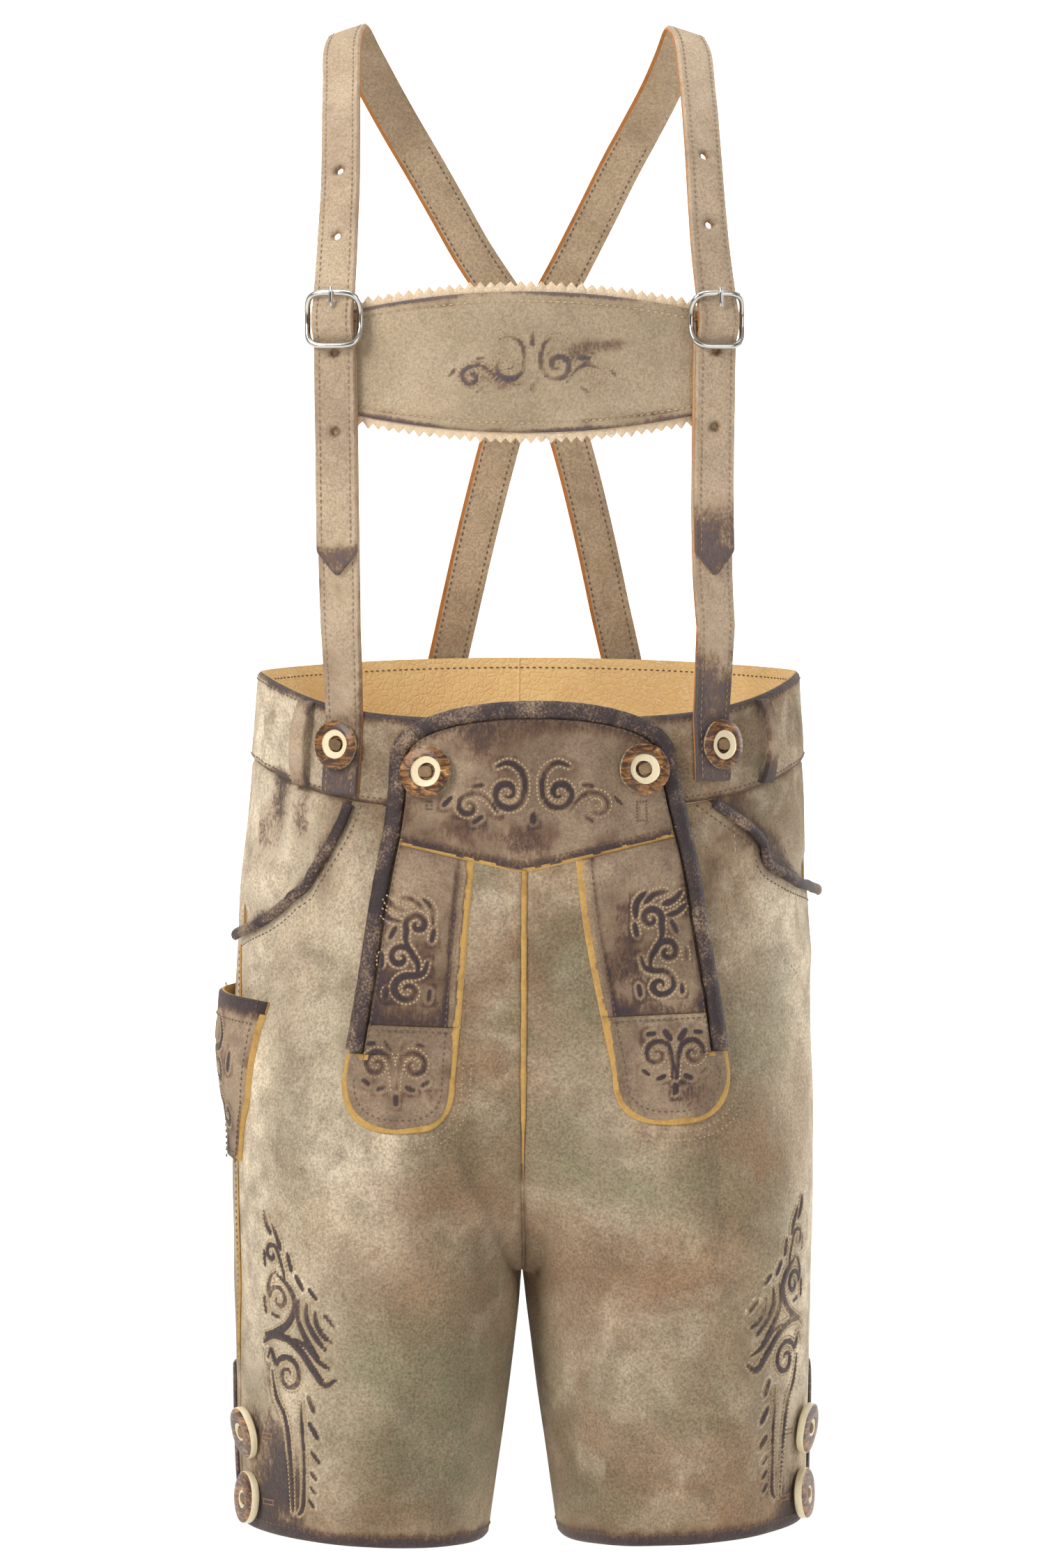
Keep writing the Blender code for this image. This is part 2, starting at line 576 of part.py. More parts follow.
def make_back(side):
    columns = 12
    top_rows = 8
    turn, height = [], []
    nominals = list(np.linspace(0, 1, top_rows, endpoint=False)) + list(LOWER_ROWS)
    for r, row in enumerate(nominals):
        start = 1.5
        for _ in range(4):
            share = np.linspace(0, 1, columns)
            t = start + (math.pi - HALF_SEAM - start) * share
            if r < top_rows:
                top = band_foot(t) - GAP
                h = top + (SLIT_FOOT - top) * row
            else:
                h = row + hem_drop(t, row)
            start = float(seam_turn(side, h[0])) + HALF_SEAM
        turn.append(t)
        height.append(h)
    add_panel("back_" + SIDES[side], side * np.array(turn), np.array(height), 0.0, LEATHER, "suede", seams=True)


def make_hip_facing(side):
    """The piece behind the pocket opening: tucked under the front's edge, level with the back at the seam."""
    rows, columns = 9, 9
    foot = POCKET_FOOT[side] - 9.0
    turn, height, out = [], [], []
    curve_height = np.linspace(-40, POCKET_FOOT[side], 60)
    curve_turn = np.minimum(pocket_turn(side, curve_height), seam_turn(side, curve_height))
    for s in np.linspace(0, 1, rows):
        share = np.linspace(0, 1, columns)
        t = np.full(columns, 1.0)
        for _ in range(4):
            top = band_foot(t) - GAP
            h = top + (foot - top) * s
            start = float(pocket_turn(side, max(h[0], POCKET_FOOT[side] + 8.0))) - FACING_TUCK
            end = float(seam_turn(side, h[-1])) - HALF_SEAM
            t = start + (end - start) * share
        turn.append(t)
        height.append(h)
        away = np.hypot((t[:, None] - curve_turn) * 100.0, h[:, None] - curve_height).min(1)
        away = np.where((t > pocket_turn(side, h)) & (h > POCKET_FOOT[side]), away, 0.0)
        out.append(-FACING_SINK * (1 - ease((away - 9.5) / 11.0)))
    turn, height, out = np.array(turn), np.array(height), np.array(out)
    add_panel("hip_facing_" + SIDES[side], side * turn, height, out, out + LEATHER, "suede")


def make_waistband(side):
    columns, rows = 25, 3
    share = np.linspace(0, 1, columns)[None, :]
    down = np.linspace(0, 1, rows)[:, None]
    turn = 0.0025 + (math.pi - 0.005) * share + 0 * down
    height = band_top(turn) - BAND_HEIGHT * down
    add_panel("waistband_" + SIDES[side], side * turn, height, 0.0, BAND_THICKNESS, "suede")


def make_fly():
    """Inner piece that closes the front behind the drop front."""
    columns, rows = 13, 7
    share = np.linspace(-1, 1, columns)[None, :]
    height = np.linspace(-58, -196, rows)[:, None] + 0 * share
    half = 73 + 24 * ease((-60 - height) / 125)
    inside = -GAP - FLY_SINK * ease((-110 - height) / 40)
    turn = turn_at(share * half - 2.0, height, inside)
    add_panel("fly_piece", turn, height, inside - LEATHER, inside, "suede")


# ---- drop front ---------------------------------------------------------------------------------------
def arch_centre():
    return (flap_across(ARCH_SHOULDER, -1) + flap_across(ARCH_SHOULDER, 1)) / 2


def arch_height(across, inset):
    """Height of the flap's arched top, moved in from the binding's outer edge."""
    half = (flap_across(ARCH_SHOULDER, 1) - flap_across(ARCH_SHOULDER, -1)) / 2 - inset
    share = np.clip(np.abs(across - arch_centre()) / half, 0, 1)
    return ARCH_SHOULDER + (ARCH_TOP - inset - ARCH_SHOULDER) * np.sqrt(1 - share**ARCH_POWER)


def make_yoke():
    columns, rows = 17, 6
    share = np.linspace(-1, 1, columns)
    height = np.full((rows, columns), -60.0)
    down = np.linspace(0, 1, rows)[:, None]
    for _ in range(4):
        right = flap_across(height, -1) + SLIT_INSET
        left = flap_across(height, 1) - SLIT_INSET
        across = (right + left) / 2 + (left - right) / 2 * np.sin(share * math.pi / 2)
        top = arch_height(across, SLIT_INSET)
        height = top + (yoke_foot(across) - top) * down
    out = flap_lift(height) + LEATHER + GAP
    turn = turn_at(across, height, out + TRIM)
    add_panel("flap_yoke", turn, height, out, out + TRIM, "trim_leather")


def strip_inner(height, side):
    return read_column(STRIP_EDGE, STRIP_COLUMNS, side_column(side, "inner"), height)


def make_strip(side):
    """Long strip beside the binding, from the yoke down to its cross seam."""
    columns, rows = 7, 12
    share = np.linspace(0, 1, columns)[None, :]
    down = np.linspace(0, 1, rows)[:, None]
    height = np.full((rows, columns), -120.0)
    for _ in range(4):
        inner = strip_inner(height, side)
        outer = flap_across(height, side) - side * SLIT_INSET
        across = inner + (outer - inner) * share
        top = yoke_foot(across) - GAP
        height = top + (STRIP_SEAM[side] + GAP / 2 - top) * down
    out = flap_lift(height) + LEATHER + GAP
    turn = turn_at(across, height, out + TRIM)
    add_panel("flap_strip_" + SIDES[side], turn, height, out, out + TRIM, "trim_leather")


def make_strip_end(side):
    """Rounded end of the strip: a shoulder fits under the binding's end, the foot is a half round."""
    columns = 8
    above = np.linspace(STRIP_SEAM[side] - GAP / 2, BINDING_FOOT - 1.1, 3)
    foot = STRIP_FOOT[side]
    round_top = foot + STRIP_ROUND
    drop = np.sin(np.linspace(0, 1, 7) * math.pi / 2 * 0.985)
    below = np.concatenate([[BINDING_FOOT - 1.4], round_top - STRIP_ROUND * drop])
    turn, height = [], []
    share = np.linspace(0, 1, columns)
    for h in np.concatenate([above, below]):
        inner = float(strip_inner(max(h, round_top), side))
        inset = SLIT_INSET if h > BINDING_FOOT - 1.2 else 0.4
        outer = float(flap_across(max(h, round_top), side)) - side * inset
        q = np.clip((round_top - h) / STRIP_ROUND, 0, 1)
        middle, half = (inner + outer) / 2, (outer - inner) / 2 * (1 - q**2.6) ** (1 / 2.6)
        across = middle + half * (2 * share - 1)
        out = flap_lift(np.full(columns, h)) + LEATHER + GAP + TRIM
        turn.append(turn_at(across, np.full(columns, h), out))
        height.append(np.full(columns, h))
    turn, height = np.array(turn), np.array(height)
    out = flap_lift(height) + LEATHER + GAP
    add_panel("flap_strip_end_" + SIDES[side], turn, height, out, out + TRIM, "trim_leather")


def make_binding():
    """Rolled edge of the drop front, up one side, over the arch and down the other."""
    inset = BINDING_WIDTH / 2
    side_heights = np.linspace(BINDING_FOOT, ARCH_SHOULDER, 12)[:-1]
    angle = np.linspace(math.pi, 0, 23)
    half = (flap_across(ARCH_SHOULDER, 1) - flap_across(ARCH_SHOULDER, -1)) / 2 - inset
    arch_x = arch_centre() + half * np.cos(angle)
    across = np.concatenate([flap_across(side_heights, -1) + inset, arch_x,
                             (flap_across(side_heights, 1) - inset)[::-1]])
    height = np.concatenate([side_heights, arch_height(arch_x, inset), side_heights[::-1]])
    lift = flap_lift(height)
    out = LEATHER + GAP + BINDING_DEPTH / 2 + lift * 0.30
    turn = turn_at(across, height, out)
    add_tube("flap_binding", body(turn, height, out), body_normal(turn, height), BINDING_WIDTH / 2,
             BINDING_DEPTH / 2, 8, "dark_leather")


# ---- pockets, loops and tabs --------------------------------------------------------------------------
def make_piping(side):
    """Dark roll along the front pocket's opening; its foot stands a little off the side seam."""
    width, depth = 2.7, 2.1
    height = np.linspace(-45, POCKET_FOOT[side] + 0.6, 40)
    turn = np.minimum(pocket_turn(side, height), seam_turn(side, height) + 0.02)
    line = body(side * turn, height, 0.0)
    length = np.concatenate([[0], np.cumsum(np.linalg.norm(np.diff(line, axis=0), axis=1))])
    below_band = height < band_foot(turn) - GAP - 1.2
    first = length[below_band][0]
    even = np.linspace(first, length[-1], 17)
    height = np.interp(even, length, height)
    turn = np.interp(even, length, turn)
    flare = ease((even - even[-1] + 16) / 16) * (3.4 if side > 0 else 0.8)
    out = LEATHER + GAP + depth + flare
    add_tube("pocket_piping_" + SIDES[side], body(side * turn, height, out), body_normal(side * turn, height),
             width, depth, 8, "dark_leather")


def make_knife_pocket():
    """Patch pocket for a knife on the right side: its mouth stands open at the top."""
    columns, rows = 9, 10
    share = np.linspace(-1, 1, columns)[None, :]
    height = np.linspace(KNIFE_POCKET_TOP, KNIFE_POCKET_FOOT, rows)[:, None] + 0 * share
    middle = np.full(height.shape, KNIFE_POCKET_TURN)
    for _ in range(12):
        middle -= (body(-middle, height, LEATHER)[..., 1] - KNIFE_POCKET_DEPTH) / 110.0
    near = body(-(middle + 0.01), height, LEATHER) - body(-(middle - 0.01), height, LEATHER)
    speed = np.linalg.norm(near, axis=-1) / 0.02
    half = read_column(KNIFE_SHAPE, KNIFE_COLUMNS, "half_width", height)
    turn = middle + share * half / speed
    slope = (1 - share) / 2 * ease((height - KNIFE_POCKET_FOOT) / (KNIFE_POCKET_TOP - KNIFE_POCKET_FOOT))
    height = height - KNIFE_POCKET_SLANT * slope + 2.0
    crown = (1 - np.abs(share) ** 2.5) * ease((height - KNIFE_POCKET_FOOT) / 60)
    out = LEATHER + GAP + KNIFE_POCKET_BULGE * crown
    add_panel("knife_pocket", -turn, height, out, out + KNIFE_POCKET_THICKNESS, "trim_leather")


def make_belt_loop(place, turn):
    heights = np.linspace(0, 1, 9)
    top = float(band_top(turn)) - 1.5
    foot = float(band_foot(turn)) + 1.0
    height = top + (foot - top) * heights
    bow = LOOP_BOW * np.sin(np.pi * heights) ** 0.6
    normals = np.broadcast_to(body_normal(turn, (top + foot) / 2), (len(height), 3))
    base = body(turn, height, BAND_THICKNESS + GAP + LOOP_THICKNESS / 2, folds=False)
    add_ribbon("belt_loop_" + place, base + normals * bow[:, None], normals, LOOP_HALF, LOOP_THICKNESS,
               "trim_leather")


def make_hem_tab(side):
    """Dark tab at the side slit: it lies on the back's edge, rounded at its top."""
    columns, rows = 6, 8
    share = np.linspace(-1, 1, columns)[None, :]
    down = np.linspace(0, 1, rows)[:, None]
    height = HEM_TAB_TOP + (HEM_HEIGHT + 1.0 - HEM_TAB_TOP) * down**1.3 + 0 * share
    rise = np.clip((height - HEM_TAB_SHOULDER) / HEM_TAB_ROUND, 0, 1)
    half = HEM_TAB_HALF * np.sqrt(np.clip(1 - rise**2, 0.02, 1))
    turn = HEM_TAB_TURN + share * half
    height = height + hem_drop(turn, height)
    out = LEATHER + GAP
    add_panel("hem_tab_" + SIDES[side], side * turn, height, out, out + TRIM, "dark_leather")


# ---- braces ---------------------------------------------------------------------------------------------
def brace_line(side, step=9.0):
    """Even points along a smooth curve through the brace's route, and the way it faces at each."""
    rows = np.array(BRACE_ROUTE, float)
    spread, shift, depth, height = rows[:, 0], rows[:, 1], rows[:, 2], rows[:, 3]
    points = np.stack([shift + side * spread, depth, height], 1)
    faces = rows[:, 4:7] * [side, 1, 1]
    knots = np.concatenate([[0], np.cumsum(np.linalg.norm(np.diff(points, axis=0), axis=1))])
    at = np.linspace(0, knots[-1], int(knots[-1] / step) + 1)
    table = np.concatenate([knots[:, None], points, faces], 1).tolist()
    names = ("along", "x", "y", "z", "fx", "fy", "fz")
    smooth = np.stack([read_column(table, names, name, at, key="along") for name in names[1:]], 1)
    return smooth[:, :3], unit(smooth[:, 3:])


def square_up(path, faces):
    """Turn the facing directions square to the path."""
    tangent = unit(np.gradient(path, axis=0))
    return unit(faces - tangent * np.sum(faces * tangent, 1, keepdims=True))


def front_run(side, heights):
    """Middle line of the front brace at given heights, and its level facing there."""
    path, faces = brace_line(side, step=3.0)
    top = int(np.argmax(path[:, 2]))
    points = np.stack([np.interp(heights, path[:top, 2], path[:top, i]) for i in range(3)], -1)
    facing = np.stack([np.interp(heights, path[:top, 2], faces[:top, i]) for i in range(2)], -1)
    facing = np.concatenate([facing, np.zeros_like(facing[..., :1])], -1)
    return points, unit(facing)


FRONT_HEIGHTS = np.concatenate([np.arange(18.0, 150.0, 8.0), np.arange(150.0, 162.5, 4.0)])


def make_lower_brace(side):
    """Front brace: buttoned to the waistband and hooked round the buckle's bar at its top."""
    turn, foot = FRONT_ANCHOR[side]
    band_heights = np.arange(foot, float(band_top(turn)) - 1.0, 7.0)
    low = body(turn, band_heights, BAND_THICKNESS + GAP + BRACE / 2, folds=False)
    rise, rise_faces = front_run(side, FRONT_HEIGHTS)
    base, face = front_run(side, BUCKLE_HEIGHT)
    up = np.array([0.0, 0.0, 1.0])
    angle = np.linspace(0, math.pi, 7)[:, None]
    hook = base + face * HOOK_RADIUS * (1 - np.cos(angle)) + up * HOOK_RADIUS * np.sin(angle)
    hook_faces = face * np.cos(angle) - up * np.sin(angle)
    end = base + face * 2 * HOOK_RADIUS - up * 3.2
    path = np.concatenate([low, rise, [base - up * 3.0], hook, [end]])
    faces = np.concatenate([body_normal(turn, band_heights), rise_faces, [face], hook_faces, [-face]])
    thickness = np.full(len(path), BRACE)
    thickness[-len(angle) - 2:] = HOOK_THICKNESS
    facing = square_up(path, faces)
    add_ribbon("lower_brace_" + SIDES[side], path, facing, BRACE_HALF, thickness, "brace_leather")


def make_shoulder_brace(side):
    """From the pointed tail up through the buckle, over the shoulder and across to the other back button."""
    heights = np.concatenate([[TAIL_TIP, TAIL_TIP + 5.0, TAIL_TIP + 10.5], np.arange(68.0, 150.0, 10.0),
                              np.arange(153.0, 194.0, 2.9)])
    rise, rise_faces = front_run(side, heights)
    out = read_column(STANDOFF, STANDOFF_COLUMNS, "out", heights)
    line, line_faces = brace_line(side)
    rest = (line[:, 2] > heights[-1] + 4.0) | (np.arange(len(line)) > np.argmax(line[:, 2]))
    line, line_faces = line[rest], line_faces[rest]
    falling = np.arange(len(line)) > np.argmax(line[:, 2])
    stand = np.where(falling, 0.0, read_column(STANDOFF, STANDOFF_COLUMNS, "out", line[:, 2]))
    if side > 0:
        cross = ease((line[:, 2] - CROSS_LOW + 16) / 16) * ease((CROSS_HIGH + 16 - line[:, 2]) / 16)
        stand = stand + np.where(falling, cross * (BRACE + 2 * GAP), 0.0)
    band_height = np.linspace(-7.0, BACK_BRACE_FOOT, 7)
    anchor_turn = np.linspace(*BACK_ANCHOR[-side], len(band_height))
    low = body(anchor_turn, band_height, BAND_THICKNESS + GAP + BRACE / 2, folds=False)
    path = np.concatenate([rise + rise_faces * out[:, None], line + line_faces * stand[:, None], low])
    faces = np.concatenate([rise_faces, line_faces, body_normal(anchor_turn, band_height)])
    half_width = np.full(len(path), BRACE_HALF)
    half_width[0] = 1.2
    facing = square_up(path, faces)
    add_ribbon("shoulder_brace_" + SIDES[side], path, facing, half_width, BRACE, "brace_leather")


def make_crossing_patch():
    """Lozenge sewn over the braces where they cross on the back."""
    rows, columns = 7, 7
    v = np.linspace(-1, 1, rows)[:, None]
    u = np.linspace(-1, 1, columns)[None, :]
    away = CROSSING_HALF_WIDTH * u * (1 - 0.45 * v**2)
    rise = CROSSING_HALF_HEIGHT * v * (1 - 0.35 * u**2)
    across, height = CROSSING_ACROSS + away, CROSSING_HEIGHT + rise
    depth = CROSSING_DEPTH + BRACE * 1.5 + GAP * 2 - 0.09 * rise - 0.0016 * away**2
    outer = np.stack([across, depth + CROSSING_THICKNESS, height], -1)
    inner = np.stack([across, depth, height], -1)
    cells = grid_cells(rows, columns)
    add_wall("crossing_patch", outer.reshape(-1, 3), inner.reshape(-1, 3), cells, "brace_leather")


# ---- chest bar --------------------------------------------------------------------------------------------
def bar_point(across, height, out):
    """The bar is bent along a parabola; out is measured forwards from its middle layer."""
    curve = 2 * BAR_SAG / BAR_SPAN**2
    depth = BAR_DEPTH + curve / 2 * across**2
    normal = unit(np.stack([curve * across, -np.ones_like(across), np.zeros_like(across)], -1))
    point = np.stack([across + BAR_SHIFT, depth, height], -1)
    return point + normal * np.asarray(out)[..., None]


def make_chest_bar():
    columns, rows = 25, 2
    across = np.linspace(-BAR_HALF, BAR_HALF, columns)[None, :] + np.zeros((rows, 1))
    bow = BAR_BOW * (across / BAR_SPAN) ** 2
    down = np.linspace(0, 1, rows)[:, None]
    top, foot = BAR_TOP - bow, BAR_FOOT + bow
    height = top + (foot - top) * down
    half = np.full(across.shape, BAR_THICKNESS / 2)
    add_wall("chest_bar", bar_point(across, height, half).reshape(-1, 3),
             bar_point(across, height, -half).reshape(-1, 3), grid_cells(rows, columns), "trim_leather")


def make_pinked_backing():
    """Light leather behind the bar, cut in teeth along its top and bottom."""
    teeth = int(2 * (BAR_HALF - 7) / PINKED_PITCH)
    across = (np.arange(2 * teeth + 1) - teeth) * PINKED_PITCH / 2
    bow = BAR_BOW * (across / BAR_SPAN) ** 2
    reach = np.where(np.arange(len(across)) % 2 == 0, PINKED_REACH[0], PINKED_REACH[1])
    top, foot = BAR_TOP - bow, BAR_FOOT + bow
    height = np.stack([top + reach, foot - reach])
    across = np.broadcast_to(across, height.shape)
    front = -BAR_THICKNESS / 2 - GAP
    add_wall("chest_bar_backing",
             bar_point(across, height, np.full(height.shape, front)).reshape(-1, 3),
             bar_point(across, height, np.full(height.shape, front - PINKED_THICKNESS)).reshape(-1, 3),
             grid_cells(*height.shape), "pinked_leather")


# ---- buckles and buttons -----------------------------------------------------------------------------------
def buckle_frame(side):
    """Centre and directions of a buckle: across, up and out."""
    centre, out = front_run(side, BUCKLE_HEIGHT)
    up = np.array([0.0, 0.0, 1.0])
    return centre, unit(np.cross(up, out)), up, out


def make_buckle(side):
    centre, across, up, out = buckle_frame(side)
    angle = np.arange(BUCKLE_SEGMENTS) * 2 * math.pi / BUCKLE_SEGMENTS
    x = BUCKLE_HALF_WIDTH * np.sign(np.cos(angle)) * np.abs(np.cos(angle)) ** 0.5
    y = BUCKLE_HALF_HEIGHT * np.sign(np.sin(angle)) * np.abs(np.sin(angle)) ** 0.5
    stand = BUCKLE_STAND - BUCKLE_BOW * (1 - (y / BUCKLE_HALF_HEIGHT) ** 2)
    path = centre + x[:, None] * across + y[:, None] * up + stand[:, None] * out
    normals = np.broadcast_to(out, path.shape)
    add_tube("buckle_frame_" + SIDES[side], path, normals, BUCKLE_WIRE, BUCKLE_WIRE, 6, "nickel", closed=True)
    reach = BUCKLE_HALF_WIDTH - BUCKLE_WIRE - GAP - 0.05
    middle = centre + out * HOOK_RADIUS
    bar = np.array([middle - across * reach, middle, middle + across * reach])
    add_tube("buckle_bar_" + SIDES[side], bar, np.broadcast_to(out, bar.shape), BAR_WIRE, BAR_WIRE, 8, "nickel")
    prong = np.array([centre + up * high + out * far for high, far in PRONG_ROUTE])
    prong_normals = np.broadcast_to(out, prong.shape)
    add_tube("buckle_prong_" + SIDES[side], prong, prong_normals, *PRONG_HALVES, 6, "nickel")


def make_buttons():
    up = (0.0, 0.0, 1.0)
    flap_out = FLAP_LIFT + LEATHER + GAP + TRIM + GAP
    for side, across, height in FLAP_BUTTONS:
        turn = float(turn_at(across, height, flap_out))
        add_button("flap_button_" + SIDES[side], body(turn, height, flap_out), body_normal(turn, height), up,
                   FLAP_BUTTON_SIZE)
    band_out = BAND_THICKNESS + GAP + BRACE + GAP
    for side, turn in BRACE_BUTTONS:
        add_button("brace_button_" + SIDES[side], body(turn, BRACE_BUTTON_HEIGHT, band_out, folds=False),
                   body_normal(turn, BRACE_BUTTON_HEIGHT), up, BRACE_BUTTON_SIZE)
    for side in SIDES:
        turn = sum(BACK_ANCHOR[side]) / 2
        add_button("back_button_" + SIDES[side], body(turn, BACK_BUTTON_HEIGHT, band_out, folds=False),
                   body_normal(turn, BACK_BUTTON_HEIGHT), up, BRACE_BUTTON_SIZE)
    for side in SIDES:
        turn = side * HEM_BUTTON_TURN
        for place, height in HEM_BUTTONS:
            add_button("hem_button_" + place + "_" + SIDES[side], body(turn, height, LEATHER + GAP),
                       body_normal(turn, height), up, HEM_BUTTON_SIZE)


def build():
    for old in list(bpy.data.objects):
        bpy.data.objects.remove(old, do_unlink=True)
    for side in SIDES:
        make_front(side)
        make_back(side)
        make_hip_facing(side)
        make_waistband(side)
        make_strip(side)
        make_strip_end(side)
        make_piping(side)
        make_hem_tab(side)
        make_lower_brace(side)
        make_shoulder_brace(side)
        make_buckle(side)
    make_fly()
    make_yoke()
    make_binding()
    make_knife_pocket()
    for place, turn in BELT_LOOP_TURNS.items():
        make_belt_loop(place, turn)
    make_crossing_patch()
    make_chest_bar()
    make_pinked_backing()
    make_buttons()


build()
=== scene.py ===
"""Looks of short leather trousers with a buttoned drop front, braces and a chest bar.

Every length is in millimetres until a mesh is made, which turns it to metres. X runs to the wearer's left,
Y to the wearer's back and Z up; zero is the centre of the waist, level with the waistband's top edge at the
sides. A place on the garment is told by its turn, the way round from the front centre in radians (negative
on the wearer's right), and its height. The leather follows the same sizes as the solids it stands for.
"""

import math

import bpy
import numpy as np
from mathutils import Matrix


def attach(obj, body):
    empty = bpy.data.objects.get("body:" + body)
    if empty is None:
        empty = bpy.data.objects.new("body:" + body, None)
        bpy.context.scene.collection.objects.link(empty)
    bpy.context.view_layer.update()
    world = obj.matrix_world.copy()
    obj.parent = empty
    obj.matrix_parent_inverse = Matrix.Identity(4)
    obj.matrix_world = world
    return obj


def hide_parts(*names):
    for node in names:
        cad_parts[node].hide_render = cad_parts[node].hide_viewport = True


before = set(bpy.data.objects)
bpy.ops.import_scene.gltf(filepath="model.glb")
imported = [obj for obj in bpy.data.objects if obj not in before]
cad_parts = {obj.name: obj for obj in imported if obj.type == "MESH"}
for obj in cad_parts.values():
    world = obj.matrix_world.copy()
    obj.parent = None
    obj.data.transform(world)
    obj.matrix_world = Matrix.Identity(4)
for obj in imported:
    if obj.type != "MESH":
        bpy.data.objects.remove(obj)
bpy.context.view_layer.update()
MM = 0.001
UP = np.array([0.0, 0.0, 1.0])

# ---- sizes shared with the solids ----------------------------------------------------------------
LEATHER = 1.6            # body leather
GAP = 0.3                # free space between neighbouring pieces
BAND_THICKNESS = 2.6     # waistband, two layers
BAND_HEIGHT = 43.5
BAND_FRONT_DIP = 20.0    # how far the waistband drops at the front centre
BAND_BACK_RISE = 4.0
HEM_HEIGHT = -420.0
HEM_SLOPE = 8.0          # the hem is this much lower at the inseam
FORK_TOP = -150.0        # the two legs start to part here
CROTCH = -296.0
FORK_FOOT = -408.0       # away from the inner seams the legs are round from here down
FORK_REACH = 0.36        # turn over which the crotch's curve dies out
HALF_SEAM = 0.001        # half of a seam's gap, in turn
AROUND = 144.0           # mean length of one radian of turn

# Outer surface of the worn trousers, a row for each height.
SECTION_COLUMNS = ("height", "half_width", "front", "back", "sway", "seam_shift")
SECTIONS = (
    (40, 131.5, 94.0, 95.0, 0.0, -6.0),
    (0, 133.0, 96.0, 97.0, 0.0, -6.0),
    (-45, 136.0, 100.5, 105.0, -0.5, -6.0),
    (-100, 139.8, 104.0, 114.5, -2.2, -6.0),
    (-150, 142.3, 104.5, 119.0, -2.8, -5.6),
    (-200, 143.8, 102.0, 117.5, -3.0, -5.0),
    (-250, 143.9, 97.5, 110.0, -3.0, -3.8),
    (-300, 143.0, 91.0, 100.0, -3.0, -0.6),
    (-360, 142.0, 82.0, 88.0, -3.0, 0.0),
    (-430, 139.5, 71.0, 74.0, -3.0, 0.0),
)
INNER_LEG_COLUMNS = ("height", "across")
INNER_LEG = ((-240, 0.0), (-296, 0.2), (-310, 1.4), (-330, 3.9), (-355, 7.0), (-389, 12.0), (-430, 17.6))

# Soft creases that the worn leather keeps, deepest at their middle. Each row has the side, turn, height,
# length, width, depth and lean of one.
FOLDS = (
    (-1, 0.34, -262, 120, 30, -2.2, 0.35),
    (1, 0.36, -270, 130, 32, -2.4, 0.30),
    (-1, 0.62, -330, 120, 34, 1.8, 0.12),
    (1, 0.66, -300, 140, 36, 2.0, -0.10),
    (-1, 0.98, -270, 110, 30, -1.8, -0.20),
    (1, 1.02, -235, 120, 34, -2.0, 0.22),
    (1, 0.95, -135, 90, 30, 1.6, 0.35),
    (-1, 0.92, -150, 90, 28, 1.4, -0.30),
    (-1, 2.60, -262, 130, 34, -3.0, -0.40),
    (1, 2.55, -268, 120, 36, -3.2, -0.36),
    (-1, 2.20, -300, 130, 36, 2.0, 0.15),
    (1, 2.25, -315, 130, 34, 2.2, -0.12),
    (-1, 2.45, -110, 90, 30, -1.6, 0.30),
    (1, 2.40, -118, 90, 30, -1.8, -0.28),
)

# The side seam, and the curve that the front pocket opening follows down to it.
WELT_FOOT = -338.0         # the side seam's bare edge stands out down to here
SEAM_COLUMNS = ("height", "right_turn", "left_turn")
SIDE_SEAM = (
    (0, 1.52, 1.60), (-50, 1.50, 1.60), (-110, 1.44, 1.61), (-157, 1.38, 1.62), (-246, 1.39, 1.62),
    (-359, 1.46, 1.61), (-430, 1.48, 1.60),
)
POCKET_COLUMNS = ("height", "right_turn", "left_turn")
POCKET_EDGE = (
    (-40, 0.63, 0.53), (-57, 0.68, 0.645), (-68, 0.705, 0.775), (-81, 0.76, 0.945), (-96, 0.845, 1.02),
    (-104, 0.90, 1.25), (-110, 0.97, 1.62), (-121, 1.15, 1.62), (-131, 1.45, 1.62), (-150, 1.60, 1.62),
)
POCKET_FOOT = {-1: -130.0, 1: -109.5}   # height where the opening meets the side seam
POCKET_AROUND = 112.0                   # length of one radian of turn beside the pockets
FACING_TUCK = 0.10                      # turn that the hip facing reaches under the front
FACING_SINK = LEATHER + 2 * GAP         # how far it lies behind the front's face there

# ---- drop front ----------------------------------------------------------------------------------
FLAP_COLUMNS = ("height", "right_across", "left_across")
FLAP_EDGE = (
    (0, -71.0, 66.0), (-39, -71.9, 66.4), (-52, -72.6, 68.6), (-71, -74.9, 72.9), (-90, -78.6, 77.6),
    (-120, -83.7, 82.8), (-147, -87.6, 87.3), (-166, -90.8, 90.4), (-181, -93.6, 92.6),
    (-195, -96.0, 94.6),
)
FLAP_LIFT = 3.8            # the flap's back stands this far off the body
FLAP_LIFT_RUN = 32.0       # height over which it comes down to the body
SLIT_FOOT = -187.0
SLIT_INSET = 8.8           # from the binding's outer edge to the flap's leather
UNDERLAP = 12.0            # the side front reaches this far behind the flap
ARCH_SHOULDER = -39.0      # where the flap's sides turn into its arched top
ARCH_TOP = -12.0
ARCH_POWER = 2.2
YOKE_POINT = (-8.3, -93.3)
YOKE_SLOPE = 0.22
FLY_SINK = 1.5             # the inner piece lies this much further in at its foot
YOKE_LAP = 8.0             # the fronts reach this far under the yoke
TRIM = 1.4                 # thickness of yoke, strips and hem tabs
BINDING_WIDTH = 8.5
BINDING_DEPTH = 5.4
BINDING_FOOT = -180.5
STRIP_COLUMNS = ("height", "right_inner", "left_inner")
STRIP_EDGE = (
    (-70, -30.5, 15.0), (-90, -31.9, 17.4), (-119, -34.8, 20.8), (-160, -38.0, 28.6),
    (-200, -41.0, 36.5), (-225, -42.0, 39.0),
)
STRIP_SEAM = {-1: -168.0, 1: -163.5}    # height of the seam across each strip
